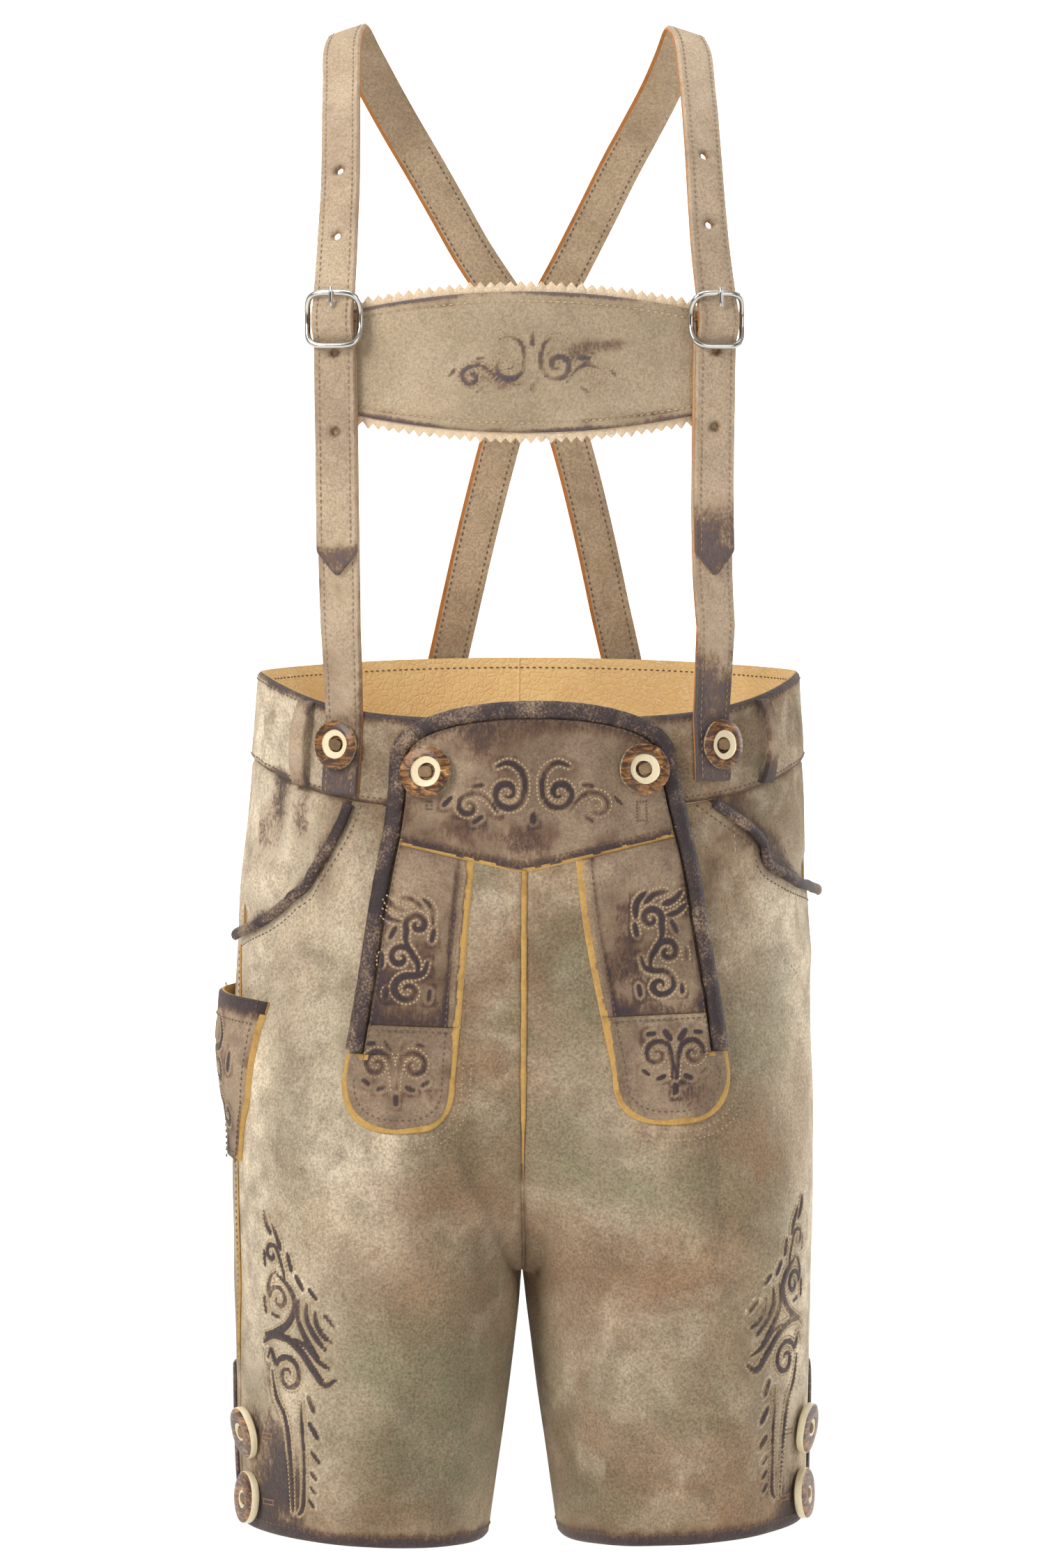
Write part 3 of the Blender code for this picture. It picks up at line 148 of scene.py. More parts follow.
STRIP_FOOT = {-1: -219.5, 1: -216.0}
STRIP_ROUND = 25.0                      # height of the strip's rounded end

# ---- braces --------------------------------------------------------------------------------------
BRACE_HALF = 10.2
BRACE = 2.6
BUCKLE_HEIGHT = 171.0
# Middle line of each brace, in rows of half the distance between the pair, their common shift, depth and
# height, and then the way they face: across, in depth and in height.
BRACE_ROUTE = (
    (91.0, -4.0, -80.5, 16, 0.42, -0.91, 0.0),
    (90.2, -5.5, -85.5, 44, 0.30, -0.95, 0.0),
    (90.0, -6.3, -88.3, 76, 0.27, -0.96, 0.0),
    (90.2, -6.5, -90.0, 112, 0.276, -0.961, 0.0),
    (90.6, -6.5, -90.0, 145, 0.276, -0.961, 0.0),
    (90.8, -6.5, -90.0, 182, 0.276, -0.961, 0.0),
    (90.3, -6.7, -84.5, 206, 0.36, -0.90, 0.22),
    (90.1, -6.3, -69.0, 242, 0.46, -0.80, 0.42),
    (89.8, -6.2, -52.0, 268, 0.48, -0.66, 0.60),
    (88.6, -6.1, -29.0, 295, 0.44, -0.42, 0.80),
    (87.2, -6.0, -11.0, 311, 0.36, -0.16, 0.92),
    (84.0, -5.8, 2.0, 317, 0.26, 0.14, 0.95),
    (79.5, -4.4, 17.0, 308, 0.14, 0.50, 0.84),
    (71.8, -2.5, 35.0, 292, 0.10, 0.72, 0.68),
    (61.0, -1.1, 54.0, 272, 0.10, 0.84, 0.50),
    (49.5, 0.1, 68.0, 252, 0.10, 0.91, 0.38),
    (38.2, 1.4, 78.0, 231, 0.08, 0.95, 0.28),
    (26.9, 2.4, 86.0, 210, 0.05, 0.98, 0.18),
    (12.0, 4.6, 92.3, 185, 0.0, 1.0, 0.08),
    (-1.5, 6.6, 95.0, 162, 0.0, 1.0, 0.02),
    (-11.5, 8.0, 96.2, 135, 0.0, 1.0, 0.0),
    (-20.3, 8.4, 96.8, 105, 0.0, 1.0, 0.0),
    (-30.8, 8.3, 97.2, 63, -0.05, 1.0, 0.0),
    (-40.0, 8.0, 97.5, 22, -0.15, 0.99, 0.0),
)
TAIL_TIP = 47.5
HOOK_RADIUS = 2.5
HOOK_THICKNESS = 1.6
CROSS_LOW = 132.0          # the left brace passes behind the right one between these heights
CROSS_HIGH = 187.0
LOZENGE_MIDDLE = (6.2, 167.0)    # the patch over the crossing: across and height
LOZENGE_HALF = (21.0, 25.0)
LOZENGE_DEPTH = 94.4
LOZENGE_LIFTS = (1.6, 3.6)       # its inner and outer face
# How far the upper brace stands off that line while it lies on the lower brace and runs through the buckle.
STANDOFF_COLUMNS = ("height", "out")
STANDOFF = (
    (40, 3.2), (140, 3.2), (152, 3.3), (157, 3.4), (160.5, 3.45), (164, 6.2), (167.5, 7.9),
    (173.5, 7.9), (177, 6.4), (181.5, 3.9), (185, 3.1), (192, 1.2), (200, 0.0), (400, 0.0),
)
FRONT_ANCHOR = {-1: (-0.735, -59.0), 1: (0.69, -52.5)}      # turn and height of each lower brace's end
# Turn of the brace at the top and at the foot of the waistband's back, on the side of each back button.
BACK_ANCHOR = {-1: (-2.852, -2.789), 1: (2.725, 2.660)}
BACK_BRACE_FOOT = -52.0
STRAP_HOLES = {-1: (118.0, 154.8, 211.0, 243.7), 1: (120.0, 156.0, 217.0, 251.0)}     # heights of the holes
TAIL_WEAR = {-1: 15.0, 1: 35.0}                       # length of each tail's dark tip
HOLE = (1.75, 2.15)        # half width and half height of a punched hole
# The dark foot of each lower brace: its amount, length and sharpness, and the amount of the wear above it.
FOOT_WEAR = {-1: (0.62, 26.0, 2, 0.27), 1: (0.76, 60.0, 6, 0.14)}

# ---- chest bar -----------------------------------------------------------------------------------
BAR_SHIFT = -6.5
BAR_HALF = 99.0
BAR_SAG = 12.9             # the bar's ends lie this much further back than its middle, at BAR_SPAN
BAR_SPAN = 90.2
BAR_DEPTH = -100.1
BAR_TOP = 184.3
BAR_FOOT = 116.9
BAR_BOW = 10.4             # its top and bottom edges bow by this much
BAR_THICKNESS = 2.2
PINKED_PITCH = 4.9
PINKED_REACH = (2.6, 5.2)  # valley and tip beyond the bar's edge
PINKED_THICKNESS = 1.2
BAR_STITCH_INSET = 4.6

# ---- belt loops, hem tabs and knife pocket -------------------------------------------------------
LOOP_HALF = 4.6
LOOP_THICKNESS = 2.0
LOOP_BOW = 5.6
BELT_LOOP_TURNS = {"front_right": -0.945, "front_left": 0.965, "back_right": -2.22, "back_left": 2.22}

KNIFE_POCKET_DEPTH = -20.0
KNIFE_POCKET_TOP = -157.0
KNIFE_POCKET_FOOT = -241.0
KNIFE_POCKET_THICKNESS = 2.6
KNIFE_POCKET_BULGE = 6.4
HEM_TAB_TOP = -343.0
HEM_TAB_ROUND = (12.0, 12.5)    # how far below its top the tab's rounding starts, and the rounding's reach
HEM_TAB_TURN = 1.63
HEM_TAB_HALF = 0.105       # half of its width, in turn
KNIFE_COLUMNS = ("height", "half_width")
KNIFE_SHAPE = ((-150, 31.0), (-200, 31.0), (-210, 29.5), (-222, 20.5), (-230, 18.0), (-250, 15.0))

# ---- tables and smooth steps ---------------------------------------------------------------------
def read_column(table, columns, name, height, key="height"):
    """Read one column of a table at any height, along a smooth curve through its rows."""
    rows = np.array(sorted(table, key=lambda row: row[columns.index(key)]), float)
    x = rows[:, columns.index(key)]
    y = rows[:, columns.index(name)]
    slope = np.gradient(y, x)
    at = np.clip(np.asarray(height, float), x[0], x[-1])
    i = np.clip(np.searchsorted(x, at) - 1, 0, len(x) - 2)
    step = x[i + 1] - x[i]
    s = (at - x[i]) / step
    return ((2 * s**3 - 3 * s**2 + 1) * y[i] + (s**3 - 2 * s**2 + s) * step * slope[i]
            + (3 * s**2 - 2 * s**3) * y[i + 1] + (s**3 - s**2) * step * slope[i + 1])


def section(name, height):
    """A measure of the body's cross-section at a height."""
    return read_column(SECTIONS, SECTION_COLUMNS, name, height)


def ease(value):
    """Rise softly from 0 to 1 as the value does."""
    s = np.clip(value, 0.0, 1.0)
    return s * s * (3 - 2 * s)


def hump(value, width, power=2):
    """1 at zero, 0.37 a width away and soon 0 beyond."""
    return np.exp(-((value / width) ** power))


def unit(vectors):
    """The vectors brought to length 1."""
    return vectors / np.linalg.norm(vectors, axis=-1, keepdims=True)


def face_on(normal):
    """The two directions square to a normal: level, and up."""
    side_way = unit(np.cross(UP, normal))
    return side_way, np.cross(normal, side_way)


def run_along(points):
    """Length of a line up to each of its points."""
    return np.concatenate([[0], np.cumsum(np.linalg.norm(np.diff(points, axis=0), axis=1))])


def carried(at, places, columns):
    """Read every column of a table of points at new places along it."""
    return np.stack([np.interp(at, places, column) for column in columns.T], -1)


# ---- the body's surface --------------------------------------------------------------------------
def fork_share(turn, height):
    """0 on the hips and 1 low on the legs: a quarter circle at the inner seams and softer away from them."""
    s = np.clip((FORK_TOP - height) / (FORK_TOP - CROTCH), 0, 1)
    at_seam = 1 - np.sqrt(1 - s**2)
    beside = ease((FORK_TOP - height) / (FORK_TOP - FORK_FOOT))
    from_seam = np.minimum(turn, math.pi - turn)
    return beside + (at_seam - beside) * hump(from_seam, FORK_REACH)


def half_surface(turn, height):
    """Inner face of one side's leather: an ellipse round the hips that parts into one round each leg."""
    half = section("half_width", height) - LEATHER
    front = section("front", height) - LEATHER
    back = section("back", height) - LEATHER
    inner = np.maximum(read_column(INNER_LEG, INNER_LEG_COLUMNS, "across", height), 0) + LEATHER
    share = fork_share(turn, height)
    across = (1 - share) * half * np.sin(turn) + share * (inner + (half - inner) * np.sin(turn) ** 2)
    round_part = (1 - share) * np.abs(np.cos(turn)) + share**0.65 * np.abs(np.sin(2 * turn))
    depth = np.where(turn < math.pi / 2, -front * round_part, back * round_part)
    return np.stack([across, depth, height], -1)


def half_normal(turn, height):
    """Direction straight out of the half body's surface."""
    step = np.where(turn < math.pi / 2, 1e-3, -1e-3)
    round_way = (half_surface(turn + step, height) - half_surface(turn, height)) * np.sign(step)[..., None]
    up_way = half_surface(turn, height + 0.5) - half_surface(turn, height - 0.5)
    return unit(np.cross(round_way, up_way))


def bumps(side, turn, height, table, deepen=1.0):
    """Sum of soft troughs and ridges, each depth * exp(-4 (along it)^2 - 4 (across it)^2)."""
    total = np.zeros_like(turn)
    for on_side, at_turn, at_height, length, width, depth, lean in table:
        along = (height - at_height) / length
        beside = ((turn - at_turn) * AROUND - lean * (height - at_height)) / width
        total = total + (side == on_side) * deepen * depth * np.exp(-4 * along**2 - 4 * beside**2)
    return total


def body(turn, height, out=0.0, seams=False, folds=True):
    """Point at a signed turn and a height, moved out from the leather's inner face."""
    turn, height, out = np.broadcast_arrays(np.asarray(turn, float), np.asarray(height, float), out)
    side = np.where(turn < 0, -1, 1)
    half_turn = np.abs(turn)
    rise = bumps(side, half_turn, height, FOLDS) * np.sin(half_turn) ** 2 if folds else 0.0
    point = half_surface(half_turn, height) + half_normal(half_turn, height) * (out + rise)[..., None]
    if seams:
        point[..., 0] = np.maximum(point[..., 0], GAP / 2)
    point[..., 0] *= side
    front_pull = np.where(half_turn < math.pi / 2, np.cos(half_turn) ** 4, 0)
    point[..., 0] += section("sway", height) + section("seam_shift", height) * front_pull
    return point


def body_normal(turn, height):
    """Direction straight out of the body, whose right half mirrors its left."""
    turn, height = np.broadcast_arrays(np.asarray(turn, float), np.asarray(height, float))
    normal = half_normal(np.abs(turn), height)
    normal[..., 0] *= np.where(turn < 0, -1, 1)
    return normal


def turn_at(across, height, out):
    """Turn of the front point that lies at a given distance across, found by halving."""
    across, height, out = np.broadcast_arrays(np.asarray(across, float), np.asarray(height, float), out)
    low = np.full(across.shape, -math.pi / 2)
    high = np.full(across.shape, math.pi / 2)
    for _ in range(34):
        middle = (low + high) / 2
        beyond = body(middle, height, out)[..., 0] > across
        high = np.where(beyond, middle, high)
        low = np.where(beyond, low, middle)
    return (low + high) / 2


def band_top(turn):
    """Height of the waistband's upper edge: lowest in front, highest behind."""
    half_turn = np.abs(turn)
    dip = -BAND_FRONT_DIP * (1 - np.sin(half_turn) ** 4)
    rise = BAND_BACK_RISE * np.cos(half_turn) ** 2
    return np.where(half_turn < math.pi / 2, dip, rise)


def band_foot(turn):
    """Height of the waistband's lower edge."""
    return band_top(turn) - BAND_HEIGHT


def hem_drop(turn, height):
    """How much lower a row of the leg lies than at the side; full at the hem."""
    return -HEM_SLOPE * np.cos(turn) ** 2 * ease((-300 - height) / 120)


# ---- edges of the panels -------------------------------------------------------------------------
SIDES = {-1: "right", 1: "left"}


def side_column(side, kind):
    """Name of a table's column for one side."""
    return SIDES[side] + "_" + kind


def seam_turn(side, height):
    """Turn of the side seam at a height."""
    return read_column(SIDE_SEAM, SEAM_COLUMNS, side_column(side, "turn"), height)


def pocket_turn(side, height):
    """Turn of the front pocket's curved opening at a height."""
    return read_column(POCKET_EDGE, POCKET_COLUMNS, side_column(side, "turn"), height)


def front_limit(side, height):
    """Outer edge of a front panel: the pocket's curve above its foot and the side seam below."""
    seam = seam_turn(side, height)
    above = np.minimum(pocket_turn(side, height), seam)
    return np.where(height > POCKET_FOOT[side], above, seam) - HALF_SEAM


def flap_across(height, side):
    """Way across to one side of the drop front at a height."""
    return read_column(FLAP_EDGE, FLAP_COLUMNS, side_column(side, "across"), height)


def flap_lift(height):
    """How far the drop front stands off the body; nothing at the slit's foot."""
    return FLAP_LIFT * ease((height - SLIT_FOOT) / FLAP_LIFT_RUN)


def yoke_foot(across):
    """Height of the yoke's lower edge: two slopes that meet in a soft point."""
    return YOKE_POINT[1] + YOKE_SLOPE * (np.sqrt((across - YOKE_POINT[0]) ** 2 + 9.0) - 3.0)


def arch_centre():
    """Way across to the middle of the arched top."""
    return (flap_across(ARCH_SHOULDER, -1) + flap_across(ARCH_SHOULDER, 1)) / 2


def arch_half(inset):
    """Half the width of the arched top."""
    return (flap_across(ARCH_SHOULDER, 1) - flap_across(ARCH_SHOULDER, -1)) / 2 - inset


def arch_places(inset, count):
    """Places across under the flap's arched top, from the wearer's right, even in angle."""
    return arch_centre() + arch_half(inset) * np.cos(np.linspace(math.pi, 0, count))


def arch_height(across, inset):
    """Height of the flap's arched top, moved in from the binding's outer edge."""
    share = np.clip(np.abs(across - arch_centre()) / arch_half(inset), 0, 1)
    return ARCH_SHOULDER + (ARCH_TOP - inset - ARCH_SHOULDER) * np.sqrt(1 - share**ARCH_POWER)


def strip_inner(height, side):
    """Way across to a side strip's inner edge."""
    return read_column(STRIP_EDGE, STRIP_COLUMNS, side_column(side, "inner"), height)


def brace_line(side, step=9.0):
    """Even points along a smooth curve through the brace's route, and the way it faces at each."""
    rows = np.array(BRACE_ROUTE, float)
    spread, shift, depth, height = rows[:, 0], rows[:, 1], rows[:, 2], rows[:, 3]
    points = np.stack([shift + side * spread, depth, height], 1)
    faces = rows[:, 4:7] * [side, 1, 1]
    knots = run_along(points)
    at = np.linspace(0, knots[-1], int(knots[-1] / step) + 1)
    table = np.concatenate([knots[:, None], points, faces], 1).tolist()
    names = ("along", "x", "y", "z", "fx", "fy", "fz")
    smooth = np.stack([read_column(table, names, name, at, key="along") for name in names[1:]], 1)
    return smooth[:, :3], unit(smooth[:, 3:])


def square_up(path, faces):
    """Turn the facing directions square to the path."""
    tangent = unit(np.gradient(path, axis=0))
    return unit(faces - tangent * np.sum(faces * tangent, 1, keepdims=True))


def front_run(side, heights):
    """Middle line of the front brace at given heights, and its level facing there."""
    path, faces = brace_line(side, step=3.0)
    top = int(np.argmax(path[:, 2]))
    points = carried(heights, path[:top, 2], path[:top])
    facing = carried(heights, path[:top, 2], faces[:top, :2])
    facing = np.concatenate([facing, np.zeros_like(facing[..., :1])], -1)
    return points, unit(facing)


def bar_point(across, height, out):
    """The bar is bent along a parabola; out is measured forwards from its middle layer."""
    curve = 2 * BAR_SAG / BAR_SPAN**2
    depth = BAR_DEPTH + curve / 2 * across**2
    normal = unit(np.stack([curve * across, -np.ones_like(across), np.zeros_like(across)], -1))
    point = np.stack([across + BAR_SHIFT, depth, height], -1)
    return point + normal * np.asarray(out)[..., None]


def buckle_frame(side):
    """Centre and directions of a buckle: across, up and out."""
    centre, out = front_run(side, BUCKLE_HEIGHT)
    return centre, unit(np.cross(UP, out)), UP, out


# ---- creases and wear that only the fine surface has ---------------------------------------------
# The columns of both tables are those of FOLDS; their creases are DEEPEN times as deep as listed.
DEEPEN = 2.6
CREASES = (
    (-1, 0.10, -284, 62, 13, -1.5, 0.25), (1, 0.09, -280, 66, 12, -1.3, -0.20),
    (-1, 0.30, -235, 60, 16, 0.9, 0.5), (1, 0.31, -228, 52, 15, 1.0, -0.5),
    (-1, 0.52, -268, 26, 60, -0.8, 0.0), (1, 0.50, -262, 24, 66, -0.9, 0.0),
    (-1, 0.74, -246, 70, 15, -0.9, 0.35), (1, 0.80, -252, 76, 14, -1.0, -0.35),
    (-1, 1.18, -196, 44, 18, 0.9, -0.3), (1, 1.22, -186, 50, 18, -1.0, 0.4),
    (1, 1.05, -168, 22, 70, -0.9, 0.0), (1, 0.98, -150, 16, 60, 0.8, 0.0),
    (-1, 1.10, -158, 20, 46, -0.8, 0.0), (1, 1.30, -138, 20, 52, 0.9, 0.0),
    (-1, 0.86, -108, 44, 11, -0.7, 0.3), (-1, 0.96, -98, 46, 9, 0.7, 0.25),
    (1, 0.82, -108, 52, 12, -0.8, -0.5), (1, 1.15, -84, 14, 44, -0.9, 0.0),
    (1, 1.22, -97, 12, 40, 0.9, 0.0), (1, 0.95, -74, 36, 12, -0.8, -0.4),
    (-1, 1.12, -66, 34, 9, -0.8, 0.1), (-1, 1.24, -72, 40, 9, 0.7, -0.1),
    (-1, 0.62, -372, 90, 26, -1.0, 0.05), (1, 0.64, -380, 80, 28, -1.0, -0.06),
    (-1, 2.82, -250, 76, 16, -1.5, -0.3), (1, 2.80, -256, 70, 15, -1.4, 0.3),
    (-1, 2.50, -290, 22, 76, -1.2, 0.0), (1, 2.46, -296, 22, 80, -1.3, 0.0),
    (-1, 2.35, -318, 18, 66, 0.9, 0.0), (1, 2.30, -328, 18, 66, 0.9, 0.0),
    (-1, 2.05, -226, 66, 17, -0.9, 0.4), (1, 2.10, -220, 70, 17, -1.0, -0.4),
    (-1, 2.62, -120, 60, 13, -0.8, 0.2), (1, 2.58, -112, 64, 14, -0.8, -0.25),
    (-1, 1.92, -110, 52, 15, 0.8, -0.3), (1, 1.90, -120, 56, 15, 0.8, 0.3),
    (-1, 1.86, -378, 60, 22, -0.9, 0.1), (1, 1.88, -370, 66, 22, -0.9, -0.1),
)
BAND_CREASES = (
    (-1, 1.18, -26, 46, 6.5, -0.7, 0.0), (-1, 1.27, -24, 50, 6.0, 0.6, 0.1),
    (-1, 1.36, -28, 40, 7, -0.6, -0.1), (1, 1.20, -26, 40, 7, -0.6, 0.1),
    (1, 1.33, -24, 44, 8, 0.5, 0.0), (-1, 0.55, -40, 40, 8, -0.5, 0.2),
    (1, 0.52, -40, 36, 8, -0.5, -0.2), (-1, 2.02, -22, 44, 8, -0.6, 0.1),
    (1, 2.40, -22, 44, 8, -0.6, 0.0), (1, 1.98, -24, 44, 7, 0.5, 0.1),
    (-1, 2.48, -22, 40, 7, 0.5, -0.1),
)

# Soft patches of colour in the leather, in rows of turn, height, width, tallness and amount.
PATCHES = {
    "cream": (
        (-1.28, -50, 60, 50, 0.9), (1.36, -250, 40, 150, 0.6), (-0.85, -150, 40, 60, 0.75),
        (-0.72, -225, 50, 52, 0.7), (1.15, -120, 44, 40, 0.8), (1.28, -225, 34, 80, 0.8),
        (1.40, -330, 30, 90, 0.7), (-0.55, -120, 30, 40, 0.5), (-0.95, -205, 40, 50, 0.5),
        (0.45, -250, 40, 30, 0.4), (-0.2, -110, 20, 30, 0.5), (-1.15, -75, 46, 60, 0.9),
        (-1.35, -140, 40, 110, 0.9), (-1.28, -290, 34, 120, 1.0), (-1.05, -350, 40, 60, 0.5),
        (-0.62, -235, 34, 60, 0.45), (1.12, -150, 50, 60, 0.55), (0.26, -205, 30, 46, 0.5),
        (-0.90, -300, 40, 34, 0.4), (1.30, -330, 34, 70, 0.5), (0.55, -330, 44, 40, 0.45),
        (-0.35, -395, 40, 30, 0.4), (2.3, -180, 60, 80, 0.5), (-2.2, -250, 60, 90, 0.55),
        (-2.7, -100, 50, 50, 0.4), (2.0, -350, 50, 50, 0.5),
    ),
    "olive": (
        (-0.70, -330, 60, 50, 0.7), (-0.62, -395, 60, 30, 0.7), (0.20, -150, 22, 52, 0.9),
        (0.62, -246, 84, 20, 1.0), (0.16, -228, 26, 30, 0.8), (-0.26, -226, 28, 26, 0.7),
        (-0.42, -345, 46, 34, 0.85), (-0.30, -385, 40, 24, 0.6), (0.14, -335, 24, 50, 0.6),
        (0.95, -170, 44, 34, 0.7), (0.80, -350, 50, 30, 0.5), (-0.72, -170, 30, 60, 0.5),
        (1.05, -275, 30, 50, 0.6), (0.45, -408, 60, 14, 0.6), (-1.0, -220, 22, 60, 0.4),
        (2.6, -230, 50, 60, 0.7), (-2.4, -160, 60, 50, 0.6), (-2.6, -330, 50, 50, 0.6),
        (2.2, -400, 60, 24, 0.5), (1.9, -90, 40, 50, 0.5),
    ),
    "brown": (
        (-0.28, -165, 22, 60, 0.75), (-0.35, -250, 56, 22, 0.8), (-0.60, -290, 40, 30, 0.6),
        (0.95, -236, 40, 26, 0.75), (0.62, -292, 56, 24, 0.8), (0.14, -296, 26, 34, 0.7),
        (0.95, -410, 50, 20, 0.6), (-0.95, -160, 24, 50, 0.4), (1.25, -210, 26, 40, 0.5),
        (0.42, -180, 30, 30, 0.4), (-0.7, -405, 46, 16, 0.5), (2.5, -300, 60, 40, 0.7),
        (-2.0, -300, 46, 50, 0.6), (-2.5, -240, 50, 30, 0.7), (2.8, -140, 40, 50, 0.5),
    ),
}
# Dark smudges where hands and belts rub, in rows of the same.
SMUDGES = (
    (-1.10, -62, 12, 26, 0.75), (-1.22, -80, 10, 16, 0.5), (-0.80, -92, 12, 22, 0.55),
    (-0.95, -70, 8, 18, 0.5), (0.86, -70, 14, 20, 0.6), (1.02, -84, 16, 12, 0.8),
    (1.14, -94, 14, 10, 0.7), (0.72, -92, 12, 24, 0.5), (1.30, -72, 10, 20, 0.4),
    (1.26, -128, 16, 12, 0.35), (-1.22, -122, 14, 10, 0.55), (-1.32, -150, 10, 20, 0.4),
    (-1.24, -394, 18, 20, 0.7), (-1.30, -362, 12, 30, 0.55), (-1.20, -352, 8, 34, 0.45),
    (-1.12, -398, 12, 16, 0.9), (-1.26, -408, 12, 14, 0.8), (-1.16, -376, 10, 12, 0.35),
    (1.12, -398, 10, 12, 0.6), (1.26, -408, 12, 16, 0.9), (1.30, -380, 10, 26, 0.5),
    (-0.98, -322, 14, 22, 0.4), (0.98, -330, 14, 16, 0.35), (0.33, -222, 12, 12, 0.3),
    (-0.68, -186, 8, 20, 0.4), (0.66, -184, 8, 20, 0.4), (-2.78, -60, 16, 20, 0.6),
    (2.70, -60, 16, 20, 0.6), (-1.72, -402, 18, 18, 0.7), (1.80, -402, 18, 18, 0.7),
    (2.22, -62, 12, 16, 0.5), (-2.22, -62, 12, 16, 0.5), (-1.55, -60, 12, 16, 0.35),
    (1.62, -60, 12, 16, 0.45),
)


def waviness(turn, height):
    """Slow uneven rise and fall of worn leather: four crossing sine waves under half a millimetre high."""
    x, z = turn * AROUND, height
    return (0.22 * np.sin(x / 17 + 0.7) * np.sin(z / 23 + 0.4) + 0.16 * np.sin(x / 9.1 - z / 14.3)
            + 0.10 * np.sin(x / 6.3 + z / 7.7 + 1.3) + 0.12 * np.sin(z / 11 + 2 * np.sin(x / 31)))


def skin(turn, height, out=0.0, seams=False):
    """Point on the worn leather: the body's point moved out by the fine creases and the waviness as well."""
    turn, height, out = np.broadcast_arrays(np.asarray(turn, float), np.asarray(height, float), out)
    half_turn = np.abs(turn)
    from_seam = np.minimum(half_turn, math.pi - half_turn)
    fade = ease(from_seam / 0.12)
    fine = bumps(np.where(turn < 0, -1, 1), half_turn, height, CREASES, DEEPEN) + waviness(turn, height)
    return body(turn, height, out + fine * fade, seams)


def blots(table, across, height, scale=1.0, sharp=1.0):
    """Sum of round blots, each amount * exp(-sharp ((way across / width)^2 + (way up / tallness)^2))."""
    total = 0.0
    for at_across, at_height, wide, tall, amount in table:
        beside = (across - at_across) * scale / wide
        along = (height - at_height) / tall
        total = total + amount * np.exp(-sharp * (beside**2 + along**2))
    return total


def patch_tones(turn, height):
    """Amounts of cream, olive and brown at each place."""
    return np.stack([np.clip(blots(rows, turn, height, AROUND, 1.4), 0, 1) for rows in PATCHES.values()], -1)


def smudges(turn, height):
    """Amount of dark wear at each place."""
    return blots(SMUDGES, turn, height, AROUND)


# ---- making meshes -------------------------------------------------------------------------------
def nearest(points, others):
    """Distance from each point to the nearest of the others, worked out in slices."""
    parts = []
    for start in range(0, len(points), 2000):
        gap = points[start:start + 2000, None, :] - others[None, :, :]
        parts.append(np.sqrt((gap**2).sum(-1).min(1)))
    return np.concatenate(parts)


def grid_cells(rows, columns, start=0):
    """Corners of each cell of a grid of points, as an array of four columns."""
    first = start + (np.arange(rows - 1)[:, None] * columns + np.arange(columns - 1)[None, :]).reshape(-1)
    return np.stack([first, first + 1, first + columns + 1, first + columns], 1)


def ring_cells(rows, columns, closed=False):
    """Corners of the cells of a grid whose last column meets its first, and its last row where closed."""
    row, column = np.arange(rows if closed else rows - 1)[:, None], np.arange(columns)[None, :]
    after, below = (column + 1) % columns, (row + 1) % rows
    return np.stack([row * columns + column, row * columns + after, below * columns + after,
                     below * columns + column], -1).reshape(-1, 4)


def capped(points, rows, columns, ends):
    """A tube of points with one more at each end, and its cells with a fan of triangles round each."""
    column = np.arange(columns)
    after, low, last = (column + 1) % columns, np.full(columns, rows * columns), (rows - 1) * columns
    faces = [ring_cells(rows, columns), np.stack([low, after, column, low], 1),
             np.stack([low + 1, last + column, last + after, low + 1], 1)]
    return np.concatenate([points, ends]), np.concatenate(faces)


def add_mesh(name, points, faces, face_finish, finishes, marks=None, sharp=50):
    """Put points and four-cornered faces into a new object; marks are named values of each point.

    The faces are turned round where the volume they enclose, sum of a . (b x c) / 6 over their triangles, is
    negative, so that they point outwards.
    """
    a, b, c, d = (points[faces[:, corner]] for corner in range(4))
    if (a * (np.cross(b, c) + np.cross(c, d))).sum() < 0:
        faces = faces[:, ::-1]
    mesh = bpy.data.meshes.new(name)
    mesh.from_pydata((points * MM).tolist(), [], [tuple(dict.fromkeys(face)) for face in faces.tolist()])
    for finish in finishes:
        mesh.materials.append(finish)
    mesh.polygons.foreach_set("material_index", np.asarray(face_finish, np.int32))
    for mark, values in (marks or {}).items():
        values = np.asarray(values, np.float32)
        if values.ndim == 1:
            mesh.attributes.new(mark, "FLOAT", "POINT").data.foreach_set("value", values)
        else:
            colour = np.concatenate([values, np.ones_like(values[:, :1])], 1)
            mesh.attributes.new(mark, "FLOAT_COLOR", "POINT").data.foreach_set("color", colour.ravel())
    mesh.validate()
    mesh.shade_smooth()
    mesh.set_sharp_from_angle(angle=math.radians(sharp))
    made = bpy.data.objects.new(name, mesh)
    bpy.context.scene.collection.objects.link(made)
    return made


def place(piece, slot, *nodes):
    """The piece rides on the body and stands for those solids; the slot is not used."""
    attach(piece, "root")
    if nodes:
        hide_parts(*nodes)
    return piece


